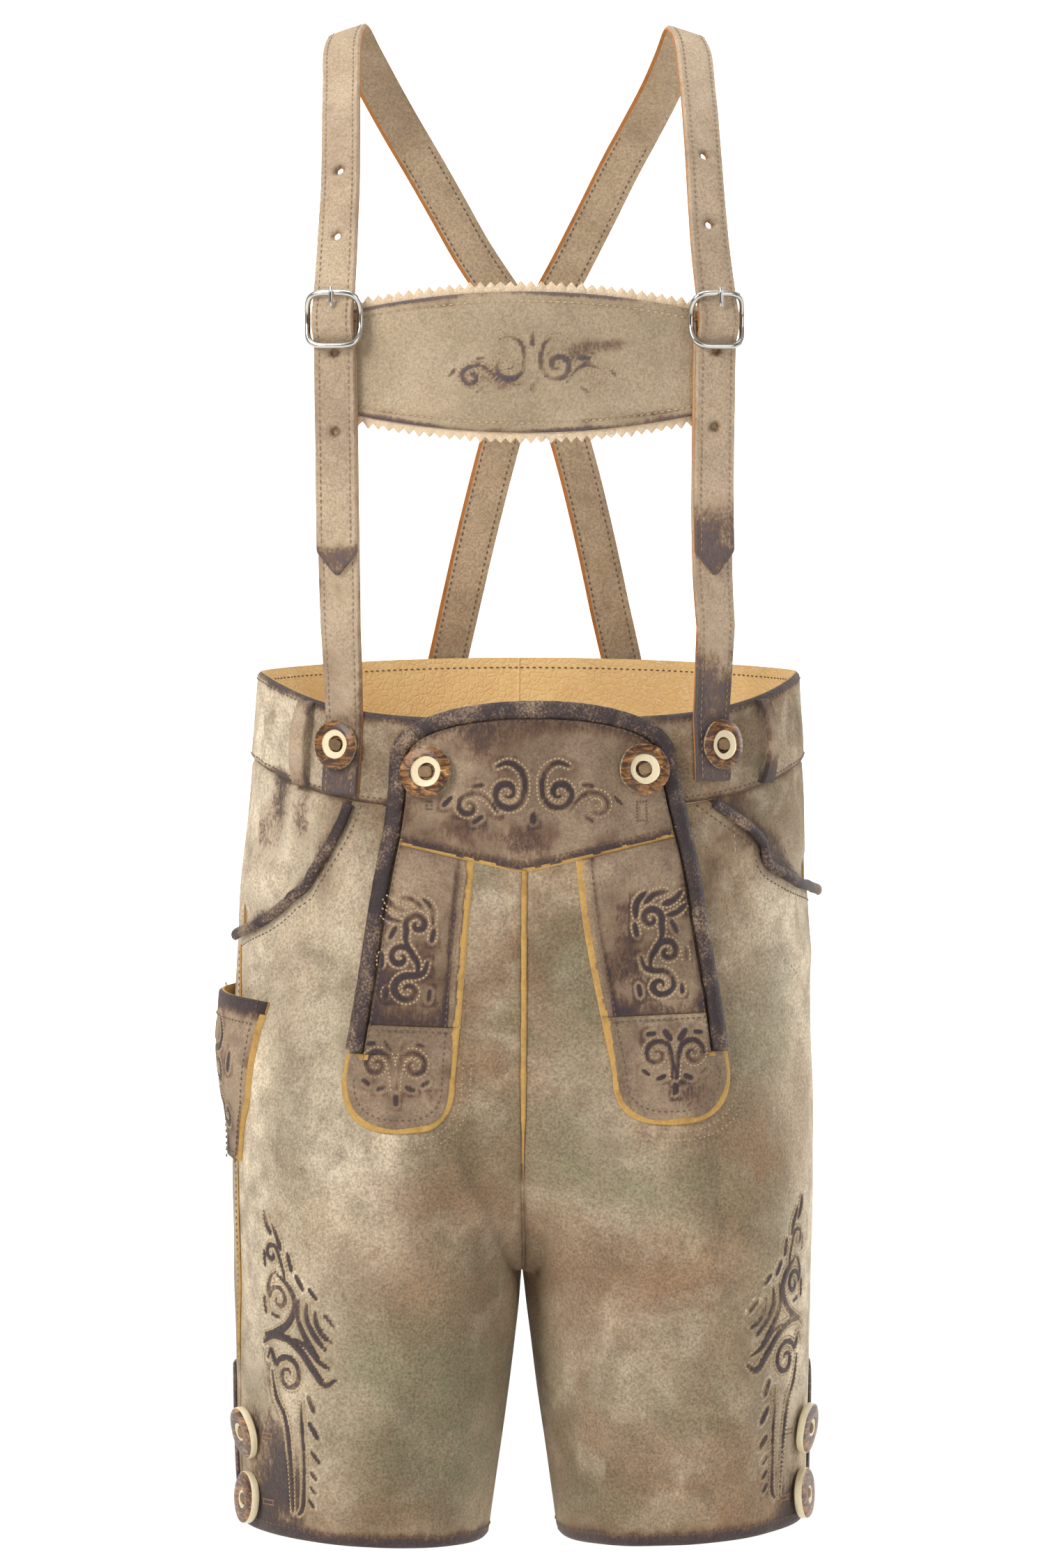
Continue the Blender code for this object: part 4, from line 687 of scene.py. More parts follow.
def shell(name, outer, inner, cells, finishes, rub=None, tone=None, bevel=1.0, raw=None, rim_rub=1.0,
          wear=3.0, flesh_cut=None):
    """Close two layers of points over the same cells into a sheet of leather with softened edges.

    A point at distance d from the sheet's free edge is lowered by 0.6 t (1 - sqrt(1 - (1 - d/bevel)^2)) for
    a sheet t thick, and darkened by rim_rub * exp(-d / wear). Where raw is the width in millimetres of a bare
    cut edge, the rim that wide is lowered and gets the cut edge's finish, as the side faces do; flesh_cut
    marks the cells that get it on the sheet's other face.
    """
    used = np.unique(cells)
    number = np.zeros(outer.size // 3, int)
    number[used] = np.arange(len(used))
    outer, inner, cells = outer.reshape(-1, 3)[used], inner.reshape(-1, 3)[used], number[cells]
    count = len(outer)
    heads = cells.ravel()
    tails = np.roll(cells, -1, 1).ravel()
    one_way = ~np.isin(heads * count + tails, tails * count + heads)
    a, b = heads[one_way], tails[one_way]
    edge_gap = nearest(outer, outer[np.unique(a)])
    steep = np.clip(1 - edge_gap / bevel, 0, 1)
    drop = 0.6 * (1 - np.sqrt(1 - steep**2))
    lowered = outer + (inner - outer) * drop[:, None]
    faces = np.concatenate([cells, cells[:, ::-1] + count, np.stack([b, a, a + count, b + count], 1)])
    finish = np.concatenate([np.zeros(len(cells)), np.ones(len(cells)), np.full(len(a), 2)])
    if raw is not None:
        width = np.broadcast_to(raw, number.shape) if np.ndim(raw) == 0 else np.asarray(raw).reshape(-1)
        cut = ease((width[used] - edge_gap) / 0.5 + 0.5) * (width[used] > 0)
        lowered = lowered + (inner - outer) * (0.45 * cut)[:, None]
        marked = (cut[cells] > 0.5).sum(1) > 2
        finish[:len(cells)][marked] = 2
    if flesh_cut is not None:
        finish[len(cells):2 * len(cells)][flesh_cut] = 2
    dark = rim_rub * np.exp(-edge_gap / wear)
    if rub is not None:
        dark = dark + np.asarray(rub).reshape(-1)[used]
    marks = {"rub": np.tile(np.clip(dark, -1, 2), 2)}
    if tone is not None:
        marks["tone"] = np.tile(tone.reshape(-1, 3)[used], (2, 1))
    return add_mesh(name, np.concatenate([lowered, inner]), faces, finish, finishes, marks)


def spread(first, last, step):
    """Even values from first to last, about a step apart."""
    return np.linspace(first, last, max(2, int(round(abs(last - first) / step)) + 1))


def shares(columns, rows, first=0.0):
    """Shares across a sheet, from first to 1 in a row, and down it, from 0 to 1 in a column."""
    return np.linspace(first, 1, columns)[None, :], np.linspace(0, 1, rows)[:, None]


def tube(name, path, normals, half_width, half_depth, sides, finish, rub=None, closed=False):
    """Carry an ellipse along a path: point = path + across * w cos(a) + normal * d sin(a)."""
    if closed:
        tangent = unit(np.roll(path, -1, 0) - np.roll(path, 1, 0))
    else:
        tangent = unit(np.gradient(path, axis=0))
    across = unit(np.cross(tangent, normals))
    deep = np.cross(across, tangent)
    angle = np.arange(sides) * 2 * math.pi / sides
    wide = np.broadcast_to(half_width, len(path))[:, None, None] * np.cos(angle)[None, :, None]
    thick = np.broadcast_to(half_depth, len(path))[:, None, None] * np.sin(angle)[None, :, None]
    points = (path[:, None] + across[:, None] * wide + deep[:, None] * thick).reshape(-1, 3)
    if closed:
        faces = ring_cells(len(path), sides, True)
    else:
        points, faces = capped(points, len(path), sides, path[[0, -1]])
    marks = None
    if rub is not None:
        marks = {"rub": np.where(np.arange(len(points)) < len(path) * sides, rub, 0.0)}
    return add_mesh(name, points, faces, np.zeros(len(faces)), [finish], marks)


def resample(points, normals, step):
    """Even places along a path: points, normals and directions, a step apart."""
    length = run_along(points)
    at = spread(0, length[-1], step)
    spot = carried(at, length, points)
    return spot, unit(carried(at, length, normals)), unit(np.gradient(spot, axis=0))


def stitches(name, paths, finish, slot, pitch=3.0, share=0.72, thick=0.42):
    """Sewn thread: on every path a four-sided spindle for each stitch, its ends sunk into the leather.

    A stitch of length l is rings of radius thick * sin(pi s)^0.5 at l (s - 0.5) along the path and
    thick * (1.6 sin(pi s) - 0.9) above it.
    """
    even = [resample(*path, pitch) for path in paths]
    spots, facings, ways = (np.concatenate(part) for part in zip(*even))
    s = np.array([0.02, 0.3, 0.7, 0.98])
    angle = np.arange(4) * math.pi / 2
    radius = thick * np.sin(math.pi * s) ** 0.5
    lift = thick * (1.6 * np.sin(math.pi * s) - 0.9)
    sideways = np.cross(ways, facings)
    centre = spots[:, None] + ways[:, None] * ((s - 0.5) * pitch * share)[None, :, None] \
        + facings[:, None] * lift[None, :, None]
    ring = (sideways[:, None, None] * np.cos(angle)[None, None, :, None]
            + facings[:, None, None] * np.sin(angle)[None, None, :, None]) * radius[None, :, None, None]
    points = (centre[:, :, None] + ring).reshape(-1, 3)
    one = np.concatenate([ring_cells(4, 4), [[3, 2, 1, 0], [12, 13, 14, 15]]])
    faces = (one[None] + (np.arange(len(spots)) * 16)[:, None, None]).reshape(-1, 4)
    return place(add_mesh(name, points, faces, np.zeros(len(faces)), [finish], sharp=80), slot)


# ---- ornaments -----------------------------------------------------------------------------------
FAR = -9.0     # the depth inside a stroke that stands for anywhere well outside it


def spiral(centre, radii, angles):
    """Points of a scroll in (across, up): its radius runs evenly between two values as its angle does."""
    share = np.linspace(0, 1, 60)
    radius = radii[0] + (radii[1] - radii[0]) * share
    angle = np.radians(angles[0] + (angles[1] - angles[0]) * share)
    return np.stack([centre[0] + radius * np.cos(angle), centre[1] + radius * np.sin(angle)], 1)


def curve(*points, count=14):
    """A smooth line through its points: a Catmull and Rom cubic between each two."""
    p = np.array([points[0], *points, points[-1]], float)
    t = np.linspace(0, 1, count, endpoint=False)[:, None]
    parts = [0.5 * (2 * b + (c - a) * t + (2 * a - 5 * b + 4 * c - d) * t**2
                    + (3 * b - a - 3 * c + d) * t**3) for a, b, c, d in zip(p, p[1:], p[2:], p[3:])]
    return np.concatenate(parts + [p[-1:]])


def stroke(points, width, taper=(0.35, 0.35)):
    """A band of dark leather along points: half of its width swells from its ends as sin does."""
    share = np.linspace(0, 1, len(points))
    first, last = (np.minimum(1, least + (1 - least) * way / 0.25)
                   for least, way in zip(taper, (share, 1 - share)))
    return points, width / 2 * (first * last)


def volute(centre, radius, first, sweep, width, *lead):
    """A scroll wound inwards to a sixth of its radius, with a lead of points that runs smoothly into it."""
    coil = spiral(centre, (radius, radius / 6), (first, first + sweep))
    return stroke(np.concatenate([curve(*lead, coil[0], coil[7])[:-14], coil]), width)


def moved(strokes, move=(0.0, 0.0), scale=1.0, mirrored=False):
    """Copies of strokes, mirrored left to right, scaled and moved."""
    flip = np.array([-scale if mirrored else scale, scale])
    return [(points * flip + move, width * scale) for points, width in strokes]


def both_ways(strokes):
    """The strokes and their mirror image."""
    return strokes + moved(strokes, mirrored=True)


def depth_in(strokes, across, up):
    """How far each place lies inside the strokes, in millimetres; negative outside them."""
    flat = np.stack([np.ravel(across), np.ravel(up)], 1)
    best = np.full(len(flat), FAR)
    for points, half in strokes:
        low, high = points.min(0) - half.max() - 2, points.max(0) + half.max() + 2
        near = np.flatnonzero(((flat > low) & (flat < high)).all(1))
        if len(near):
            gap = np.sqrt(((flat[near, None, :] - points[None, :, :]) ** 2).sum(-1)) - half
            best[near] = np.maximum(best[near], -gap.min(1))
    return best.reshape(np.shape(across))


def ink(strokes, across, up):
    """Dark wear over the strokes of an ornament, and pale rubbed leather in a line round each."""
    deep = depth_in(strokes, across, up) - 0.15
    fading = 0.82 + 0.38 * np.sin(across / 6.1 + up / 9.0) * np.sin(up / 5.3 - across / 11.0)
    haze = 0.45 * fading * ease((deep + 7.0) / 6.0)
    return haze + fading * ease(deep / 0.8 + 0.5) - 0.75 * hump(deep + 1.0, 0.65)


def relief(strokes, across, up):
    """The strokes are padded: their leather swells by up to half a millimetre."""
    return 0.6 * ease((depth_in(strokes, across, up) + 0.5) / 1.6)


def kept_ink(across, height):
    """Share of the dark wear that is left on the drop front's ornaments."""
    return np.clip(1 - blots(FADED, across, height), 0.15, 1)


def leaves(*rows):
    """Short strokes from rows of a width and the places each runs through, across and up in turn."""
    return [stroke(curve(*zip(row[1::2], row[2::2]), count=5), row[0], (0.4, 0.3)) for row in rows]


PALMETTE = both_ways([
    volute((12.6, -0.5), 8.4, 172, 480, 3.0, (17.4, 12.2), (11.6, 14.0), (5.4, 9.6)),
    volute((31.0, -6.6), 5.6, 95, -410, 2.6, (17.2, -9.4), (21.6, -3.6), (26.4, -0.6)),
    *leaves((2.6, 23.6, 3.4, 29.2, 2.6), (2.4, 38.8, -2.2, 43.0, -6.6),
            (2.4, 24.4, -11.4, 29.0, -14.6)),
]) + leaves((3.6, 0, 9.0, 0.2, 17.0), (3.0, 0, -14.5, 0, -9.4))
YOKE_ORNAMENT = moved(PALMETTE, (-3.4, -55.5))
VINE = [
    volute((53.5, -116.4), 5.8, -25, 420, 2.7, (56.6, -128.6), (59.0, -124.4)),
    volute((61.8, -132.4), 6.1, 172, -425, 2.7, (53.6, -141.6), (53.4, -135.6)),
    volute((58.4, -148.8), 7.4, 75, -430, 2.8, (48.6, -134.6), (50.6, -139.6), (55.0, -141.2)),
    *leaves((2.8, 46.0, -116.0, 46.6, -108.6, 51.0, -103.6),
            (2.8, 50.6, -108.8, 55.6, -104.6, 62.0, -103.4),
            (2.8, 59.4, -109.6, 64.2, -108.0, 69.0, -103.6),
            (2.4, 61.6, -115.0, 66.6, -113.6, 71.0, -110.0), (2.4, 45.4, -118.4, 46.8, -124.8),
            (2.6, 63.6, -117.6, 66.8, -123.6), (2.4, 70.6, -130.4, 71.0, -137.4),
            (2.4, 47.4, -148.0, 48.4, -154.4), (2.4, 68.6, -147.4, 69.0, -154.0)),
]
STRIP_ORNAMENT = {1: VINE, -1: moved(VINE, (-6.2, -4.0), 0.985, mirrored=True)}
PAIR = both_ways([
    volute((9.0, 0.0), 6.6, 132, -425, 2.5, (0.9, -11.6), (1.3, -4.4), (2.6, 2.4)),
    *leaves((3.0, 2.0, 6.4, 5.4, 11.2), (2.2, 9.6, 10.0, 13.8, 9.4), (2.4, 4.6, -10.2, 9.0, -11.8),
            (2.2, 12.6, -9.6, 16.0, -7.0)),
]) + leaves((2.6, 0, -14.4, 0, -19.0))
FOOT_ORNAMENT = {1: moved(PAIR, (65.2, -182.0)), -1: moved(PAIR, (-69.4, -186.5))}
BAR_ORNAMENT = moved(PALMETTE, (3.0, -1.0), 0.94)
KNIFE_ORNAMENT = moved([
    volute((2.0, -196.0), 6.4, 60, -430, 2.2, (1.0, -178.0), (-3.0, -184.0), (-1.5, -189.0)),
    volute((-3.0, -212.0), 4.6, 40, -400, 2.0, (8.0, -200.0), (6.5, -206.0)),
    *leaves((2.6, 10.0, -182.0, 7.0, -188.0), (2.6, -10.0, -190.0, -8.0, -197.0),
            (2.6, 0, -220, 1, -226)),
], (0.0, 100.0), 1.5)
# The ornament of a leg, in millimetres to the front of LEG_TURN and in height.
LEG_TURN = {-1: 1.12, 1: 1.205}
LEG_NEAR = 0.6             # no ornament lies nearer to the front than this turn
LEG_AROUND = 146.0         # length of one radian of turn there
SPRIG_TOP = -251.0         # the panels have closer rows between these heights
SPRIG_FOOT = -412.0
SPRIG = [
    *leaves((3.6, -8.0, -260.5, -6.6, -267.0, -3.4, -271.5),
            (3.4, -2.2, -266.0, 0.8, -272.5, 2.6, -279.0)),
    volute((-4.4, -281.0), 5.0, 40, 380, 2.6, (3.4, -296.0), (2.6, -288.0)),
    volute((-2.4, -303.0), 6.8, 170, -410, 3.0, (-2.6, -289.6), (-6.6, -292.0), (-9.8, -297.6)),
    stroke(curve((-2.0, -291.0), (5.4, -296.4), (8.6, -305.0), (3.0, -314.4), (-6.0, -319.4),
                 (-15.0, -321.4)), 4.0),
    *leaves((3.2, 7.0, -280.0, 8.2, -289.0), (3.2, 10.6, -290.6, 14.6, -297.6),
            (3.2, -13.4, -302.0, -13.0, -311.0), (2.8, -10.6, -280.0, -11.0, -288.0),
            (2.6, -9.0, -310.6, -2.6, -312.0)),
    stroke(curve((11.6, -302.0), (9.6, -311.0), (14.0, -321.0), (21.6, -330.0)), 3.5),
    stroke(curve((16.4, -303.4), (15.6, -311.6), (19.6, -319.0), (26.4, -326.4)), 3.4),
    stroke(curve((21.6, -307.4), (21.6, -313.0), (25.0, -318.6), (30.0, -322.0)), 3.2),
    *leaves((3.0, 27.0, -308.6, 32.0, -314.4), (2.8, 18.4, -296.6, 23.0, -301.4)),
    stroke(curve((-16.4, -325.6), (-9.0, -321.6), (1.0, -322.0), (10.4, -327.6), (17.6, -336.0),
                 (24.0, -343.2), (30.0, -340.4)), 4.0),
    stroke(curve((6.0, -322.0), (13.6, -324.6), (21.0, -331.6), (27.6, -335.4)), 2.4),
    volute((1.6, -340.0), 9.6, 150, -500, 3.2, (-13.6, -333.0), (-10.4, -328.4)),
    stroke(curve((-10.4, -339.0), (-8.0, -351.0), (-2.0, -361.0), (0.4, -378.0), (1.6, -408.0)), 2.6),
    stroke(curve((9.6, -352.4), (9.0, -364.0), (9.6, -384.0), (8.6, -404.0), (5.6, -409.0)), 2.2),
    *leaves((3.6, 14.0, -349.0, 17.0, -357.4), (3.4, 13.6, -362.6, 18.6, -370.6),
            (3.0, 14.0, -376.6, 19.4, -383.0), (2.4, 13.4, -387.0, 17.0, -391.0),
            (2.2, 13.0, -394.0, 16.6, -398.0), (2.0, 12.4, -401.0, 15.6, -405.0)),
]
LEG_ORNAMENT = {-1: SPRIG, 1: moved(SPRIG, (0.0, 5.0))}
# Soft dark smears of each piece, in rows of place across, height, width, tallness and amount.
YOKE_CLOUDS = (
    (-26, -36, 16, 14, 0.55), (-44, -74, 20, 9, 0.5), (-20, -77, 14, 10, 0.45), (-4, -80, 12, 9, 0.5),
    (50, -44, 14, 12, 0.35), (-62, -60, 10, 16, 0.35), (30, -80, 26, 8, 0.25), (10, -27, 40, 6, 0.3),
)
STRIP_CLOUDS = (
    (42, -141, 12, 13, 0.6), (38, -122, 8, 22, 0.45), (50, -112, 16, 10, 0.3), (-46, -158, 14, 7, 0.5),
    (-74, -152, 12, 14, 0.5), (-42, -120, 9, 26, 0.4), (-55, -132, 10, 8, 0.4),
    (-50, -145, 12, 6, 0.35),
)
FOOT_CLOUDS = (
    (70, -200, 16, 9, 0.75), (50, -176, 12, 8, 0.3), (-62, -200, 16, 7, 0.5), (-46, -192, 10, 9, 0.3),
    (-84, -196, 9, 12, 0.25),
)
# Places of the drop front where the dark of its ornaments has worn away.
FADED = (
    (28, -62, 13, 10, 0.65), (-35, -60, 11, 9, 0.4), (-3, -42, 6, 7, 0.5), (66, -105, 13, 9, 0.45),
    (71, -134, 6, 12, 0.5), (-63, -112, 15, 14, 0.55), (-62, -152, 12, 8, 0.3),
    (-69, -190, 30, 24, 0.6), (76, -190, 10, 14, 0.35), (58, -186, 8, 10, 0.2),
)
BAR_CLOUDS = (
    (24, 4, 9, 4.5, 0.42), (33, 8, 14, 4, 0.42), (42, 9, 12, 3, 0.30), (-8, -10, 10, 3, 0.34),
    (12, 0, 10, 8, 0.30), (-20, -6, 14, 6, 0.28), (70, -27, 34, 5, 0.30), (-84, 0, 10, 40, 0.2),
)
KNIFE_CLOUDS = ((-6, -200, 14, 24, 0.3), (0, -230, 12, 10, 0.3))


def leg_depth(turn, height):
    """How far a place lies inside the strokes of its leg's ornament, in a plane unrolled round the leg."""
    deep = np.full(np.shape(turn), FAR)
    for side, strokes in LEG_ORNAMENT.items():
        here = turn * side > LEG_NEAR
        forwards = np.where(here, (LEG_TURN[side] - turn * side) * LEG_AROUND, 999.0)
        deep = np.where(here, depth_in(strokes, forwards, height), deep)
    return deep


def outlines(strokes, gap=0.95):
    """Lines a gap outside both edges of each stroke, left out where they would cross another stroke."""
    lines = []
    for points, half in strokes:
        along = unit(np.gradient(points, axis=0))
        beside = np.stack([-along[:, 1], along[:, 0]], 1)
        for way in (-1, 1):
            line = points + beside * way * (half + gap)[:, None]
            clear = depth_in(strokes, line[:, 0], line[:, 1]) < -0.72 * gap
            for run in np.split(np.arange(len(line)), np.flatnonzero(np.diff(clear)) + 1):
                if clear[run[0]] and len(run) > 4:
                    lines.append(line[run])
    return lines


# ---- materials -----------------------------------------------------------------------------------
def linear(hex_colour):
    """sRGB hex to the linear values that Blender mixes."""
    values = [int(hex_colour[i:i + 2], 16) / 255 for i in (1, 3, 5)]
    return [v / 12.92 if v <= 0.04045 else ((v + 0.055) / 1.055) ** 2.4 for v in values] + [1.0]


def add(tree, kind, inputs=None, **settings):
    """Add a node with its settings; an input takes a value, a node (its first free output) or an output."""
    node = tree.nodes.new(kind)
    for key, value in settings.items():
        setattr(node, key, value)
    for key, value in (inputs or {}).items():
        if isinstance(value, bpy.types.Node):
            value = next(output for output in value.outputs if output.enabled)
        if isinstance(value, bpy.types.NodeSocket):
            tree.links.new(value, node.inputs[key])
        elif isinstance(value, str):
            node.inputs[key].default_value = linear(value)
        else:
            node.inputs[key].default_value = value
    return node


def stretched(tree, where, scale, rotation):
    """Coordinates stretched along their own directions, for streaks and fibres."""
    return add(tree, "ShaderNodeMapping", {"Vector": where, "Scale": scale, "Rotation": rotation})


def mark(tree, name, output="Fac"):
    """A value stored at the mesh's points."""
    return add(tree, "ShaderNodeAttribute", attribute_name=name).outputs[output]


def start(name):
    """An empty material with its tree and Object coordinates."""
    made = bpy.data.materials.new(name)
    made.use_nodes = True
    made.node_tree.nodes.clear()
    return made, made.node_tree, add(made.node_tree, "ShaderNodeTexCoord").outputs["Object"]


def noise(tree, where, size, detail=3.0, rough=0.55, warp=0.0):
    """Noise whose features are about `size` millimetres."""
    return add(tree, "ShaderNodeTexNoise", {"Vector": where, "Scale": 0.7 / (size * MM), "Detail": detail,
                                            "Roughness": rough, "Distortion": warp}).outputs["Fac"]


def ramp(tree, value, low=0.0, high=1.0, foot=0.0, top=1.0, soft=False):
    """Carry a value from the range low to high over to the range foot to top, held at both ends."""
    return add(tree, "ShaderNodeMapRange", {"Value": value, 1: low, 2: high, 3: foot, 4: top},
               interpolation_type="SMOOTHSTEP" if soft else "LINEAR")


def mixed(tree, share, first, second, how="MIX"):
    """A colour that goes from the first to the second as the share does from 0 to 1."""
    return add(tree, "ShaderNodeMix", {0: share, 6: first, 7: second}, data_type="RGBA", blend_type=how)


def stained(tree, colour, stain, value, low, high, amount=1.0, soft=False):
    """Lay a stain over a colour by an amount that rises where a value goes from low to high."""
    return mixed(tree, ramp(tree, value, low, high, top=amount, soft=soft), colour, stain)


def scaled(tree, value, factor, plus):
    """Node for value * factor + plus."""
    return add(tree, "ShaderNodeMath", {0: value, 1: factor, 2: plus}, operation="MULTIPLY_ADD")


def times(tree, value, factor, held=False):
    """Node for value * factor, held between 0 and 1 if asked."""
    return add(tree, "ShaderNodeMath", {0: value, 1: factor}, operation="MULTIPLY", use_clamp=held)


def finish_off(made, tree, colour, height, bump=0.5, deep=0.3, **sockets):
    """Close a material: a Principled shader with constant sockets over a bump `deep` millimetres high."""
    inputs = {"Base Color": colour}
    inputs.update({key.replace("_", " "): value for key, value in sockets.items()})
    if height is not None:
        inputs["Normal"] = add(tree, "ShaderNodeBump",
                               {"Height": height, "Strength": bump, "Distance": deep * MM})
    shader = add(tree, "ShaderNodeBsdfPrincipled", inputs)
    add(tree, "ShaderNodeOutputMaterial", {"Surface": shader})
    return made


def brushed_suede(name, tan, pale, dark, cream="#DDD3B8", olive="#8C8868", brown="#A0815F", toned=True,
                  nap=0.85, worn="#463C3F", rust="#735037", edge="#C9B08C", contrast=1.0):
    """Split cowhide, brushed to a nap: matt, cloudy in colour, and waxed dark and smooth where rubbed, and
    the same where shade is painted in.
    """
    made, tree, where = start(name)
    clouds = noise(tree, where, 38, 4, 0.6, 0.6)
    mottle = noise(tree, where, 9, 4, 0.55, 0.3)
    grain = noise(tree, where, nap, 4, 0.75)
    fibre = noise(tree, where, nap * 2.6, 2, 0.6, 1.2)
    streak = noise(tree, stretched(tree, where, (1.0, 0.7, 0.42), (0.5, 0.4, 0.0)), 1.0, 3, 0.7, 0.4)
    colour = stained(tree, tan, pale, clouds, 0.36, 0.64, soft=True)
    colour = stained(tree, colour, dark, mottle, 0.42, 0.70, 0.55 * contrast, soft=True)
    if toned:
        for size, stain, amount in ((17, brown, 0.35), (23, olive, 0.5), (14, cream, 0.3)):
            marbled = noise(tree, where, size, 3, 0.5, 0.4)
            colour = stained(tree, colour, stain, marbled, 0.47, 0.72, amount, soft=True)
        tones = add(tree, "ShaderNodeSeparateColor", {"Color": mark(tree, "tone", "Color")})
        for output, shade in zip(tones.outputs, (cream, olive, brown)):
            amount = times(tree, output, scaled(tree, mottle, 1.5, 0.0), held=True)
            colour = mixed(tree, amount, colour, shade)
    # This point mark holds dark wear, pale rubbed lines and some painted shade, such as the shadow line along
    # the yoke's foot.
    rub = mark(tree, "rub")
    ragged = scaled(tree, grain, 1.4, scaled(tree, mottle, 1.1, -1.25))
    rubbed = scaled(tree, rub, scaled(tree, streak, 1.5, 0.25), ragged)
    colour = stained(tree, colour, rust, rubbed, 0.24, 0.72, 0.75, soft=True)
    blackish = ramp(tree, rubbed, 0.44, 1.02, top=0.94, soft=True)
    colour = mixed(tree, blackish, colour, worn)
    colour = stained(tree, colour, edge, rub, -0.1, -0.6, 0.75)
    shade = ramp(tree, grain, 0.36, 0.64, foot=1 - 0.30 * contrast, top=1 + 0.26 * contrast)
    for wide, amount in ((mottle, 0.55), (clouds, 0.8)):
        shade = times(tree, shade, scaled(tree, wide, amount * contrast, 1 - amount * contrast / 2))
    shade = add(tree, "ShaderNodeCombineColor", {0: shade, 1: shade, 2: shade})
    colour = mixed(tree, 1.0, colour, shade, "MULTIPLY")
    height = scaled(tree, mottle, 1.5, scaled(tree, fibre, 0.35, grain))
    rough = ramp(tree, blackish, foot=0.94, top=0.62)
    return finish_off(made, tree, colour, height, bump=0.85, deep=0.8, Roughness=rough, Sheen_Weight=0.22,
                      Sheen_Roughness=0.45, Sheen_Tint=linear("#E8DCC4"), Specular_IOR_Level=0.25)


def cut_edge(name, base, deep_tone):
    """Raw edge of vegetable-tanned hide: warm, fibrous, a little darker in its layers."""
    made, tree, where = start(name)
    fibres = noise(tree, where, 0.9, 3, 0.7, 0.4)
    soiled = noise(tree, where, 6, 3, 0.6)
    colour = mixed(tree, fibres, base, deep_tone)
    colour = stained(tree, colour, "#8A6238", soiled, 0.5, 0.75, 0.6)
    return finish_off(made, tree, colour, fibres, bump=0.6, deep=0.4, Roughness=0.88, Specular_IOR_Level=0.3)


def grain_leather(name, base, second, worn, crease_size=2.6):
    """Drum-dyed, waxed hide: low gloss, fine creases, its grain rubbed pale on the ridges."""
    made, tree, where = start(name)
    pores = add(tree, "ShaderNodeTexVoronoi",
                {"Vector": where, "Scale": 1 / (crease_size * MM), "Randomness": 1.0},
                feature="DISTANCE_TO_EDGE").outputs["Distance"]
    fine = noise(tree, where, 0.8, 3, 0.6)
    drift = noise(tree, where, 14, 4, 0.6, 0.5)
    cells = ramp(tree, pores, high=0.16)
    colour = stained(tree, base, second, drift, 0.38, 0.66)
    colour = stained(tree, colour, worn, times(tree, fine, drift), 0.25, 0.42, 0.8)
    height = scaled(tree, cells, 0.7, fine)
    return finish_off(made, tree, colour, height, bump=0.6, deep=0.4, Roughness=0.5, Specular_IOR_Level=0.35)


def polished_horn():
    """Sawn stag antler: brown fibrous rind streaked with amber, and a smooth cream core where it is cut."""
    made, tree, where = start("sawn_stag_antler")
    core = mark(tree, "core")
    streak = noise(tree, stretched(tree, where, (0.45, 0.45, 1.5), (0.4, 0.9, 0.3)), 3.2, 4, 0.7, 1.4)
    speck = noise(tree, where, 0.8, 3, 0.7)
    rind = stained(tree, "#43240F", "#A0692C", streak, 0.44, 0.60, soft=True)
    rind = stained(tree, rind, "#E2C283", streak, 0.62, 0.72)
    rind = stained(tree, rind, "#2E190B", speck, 0.52, 0.68, 0.7)
    bone = mixed(tree, speck, "#F4EACB", "#DCC79A")
    colour = stained(tree, rind, bone, scaled(tree, speck, 0.5, core), 0.68, 0.82)
    height = scaled(tree, streak, 1.2, speck)
    return finish_off(made, tree, colour, height, bump=0.45, deep=0.3, Roughness=0.36, IOR=1.54,
                      Coat_Weight=0.15, Coat_Roughness=0.25)


def nickel_plate():
    """Polished nickel over die-cast zinc: bright, slightly warm, with faint handling marks."""
    made, tree, where = start("polished_nickel_plate")
    marks = noise(tree, where, 5, 4, 0.6, 0.5)
    rough = ramp(tree, marks, 0.35, 0.7, foot=0.08, top=0.22)
    colour = mixed(tree, marks, "#D9D7D2", "#BDBAB4")
    return finish_off(made, tree, colour, marks, bump=0.12, deep=0.1, Metallic=1.0, Roughness=rough)


def linen_thread(name, light, shade):
    """Waxed linen thread: two tones of its twisted plies, matt."""
    made, tree, where = start(name)
    plies = noise(tree, where, 0.7, 2, 0.5)
    drift = noise(tree, where, 16, 2, 0.5)
    colour = mixed(tree, plies, light, shade)
    colour = stained(tree, colour, "#6E563F", drift, 0.45, 0.65, 0.45)
    return finish_off(made, tree, colour, plies, bump=0.5, deep=0.15, Roughness=0.8, Sheen_Weight=0.2)


BODY_SUEDE = brushed_suede("brushed_body_suede", "#967E64", "#A99277", "#776450", cream="#E4D4BA",
                           olive="#847D62", brown="#8E6E52", edge="#DCCBB0", nap=0.95, contrast=1.15)
TRIM_SUEDE = brushed_suede("rubbed_trim_suede", "#8F7964", "#A8927A", "#655247", toned=False, worn="#3F353A",
                           rust="#6B4A35", edge="#CDB08A")
BRACE_SUEDE = brushed_suede("brace_suede", "#B9A289", "#C2AD93", "#A99279", toned=False, worn="#5A5054",
                            contrast=0.85)
BRACE_BACK = brushed_suede("rough_brace_back", "#B19B80", "#BAA58B", "#A38D71", toned=False, contrast=0.95)
BAR_SUEDE = brushed_suede("chest_bar_suede", "#B5A286", "#BDAA90", "#A8947A", toned=False, edge="#C9A98C",
                          worn="#5C545C", contrast=0.8)
RAW_EDGE = cut_edge("cut_leather_edge", "#D6B06A", "#A87E42")
BRACE_EDGE = cut_edge("cut_brace_edge", "#C98A4E", "#9E5F2E")
LINING = grain_leather("smooth_flesh_side", "#F8DBA2", "#EEC788", "#FCEBC4", 3.4)
DARK_LEATHER = grain_leather("waxed_dark_leather", "#382C2E", "#53433F", "#B09478", 1.8)
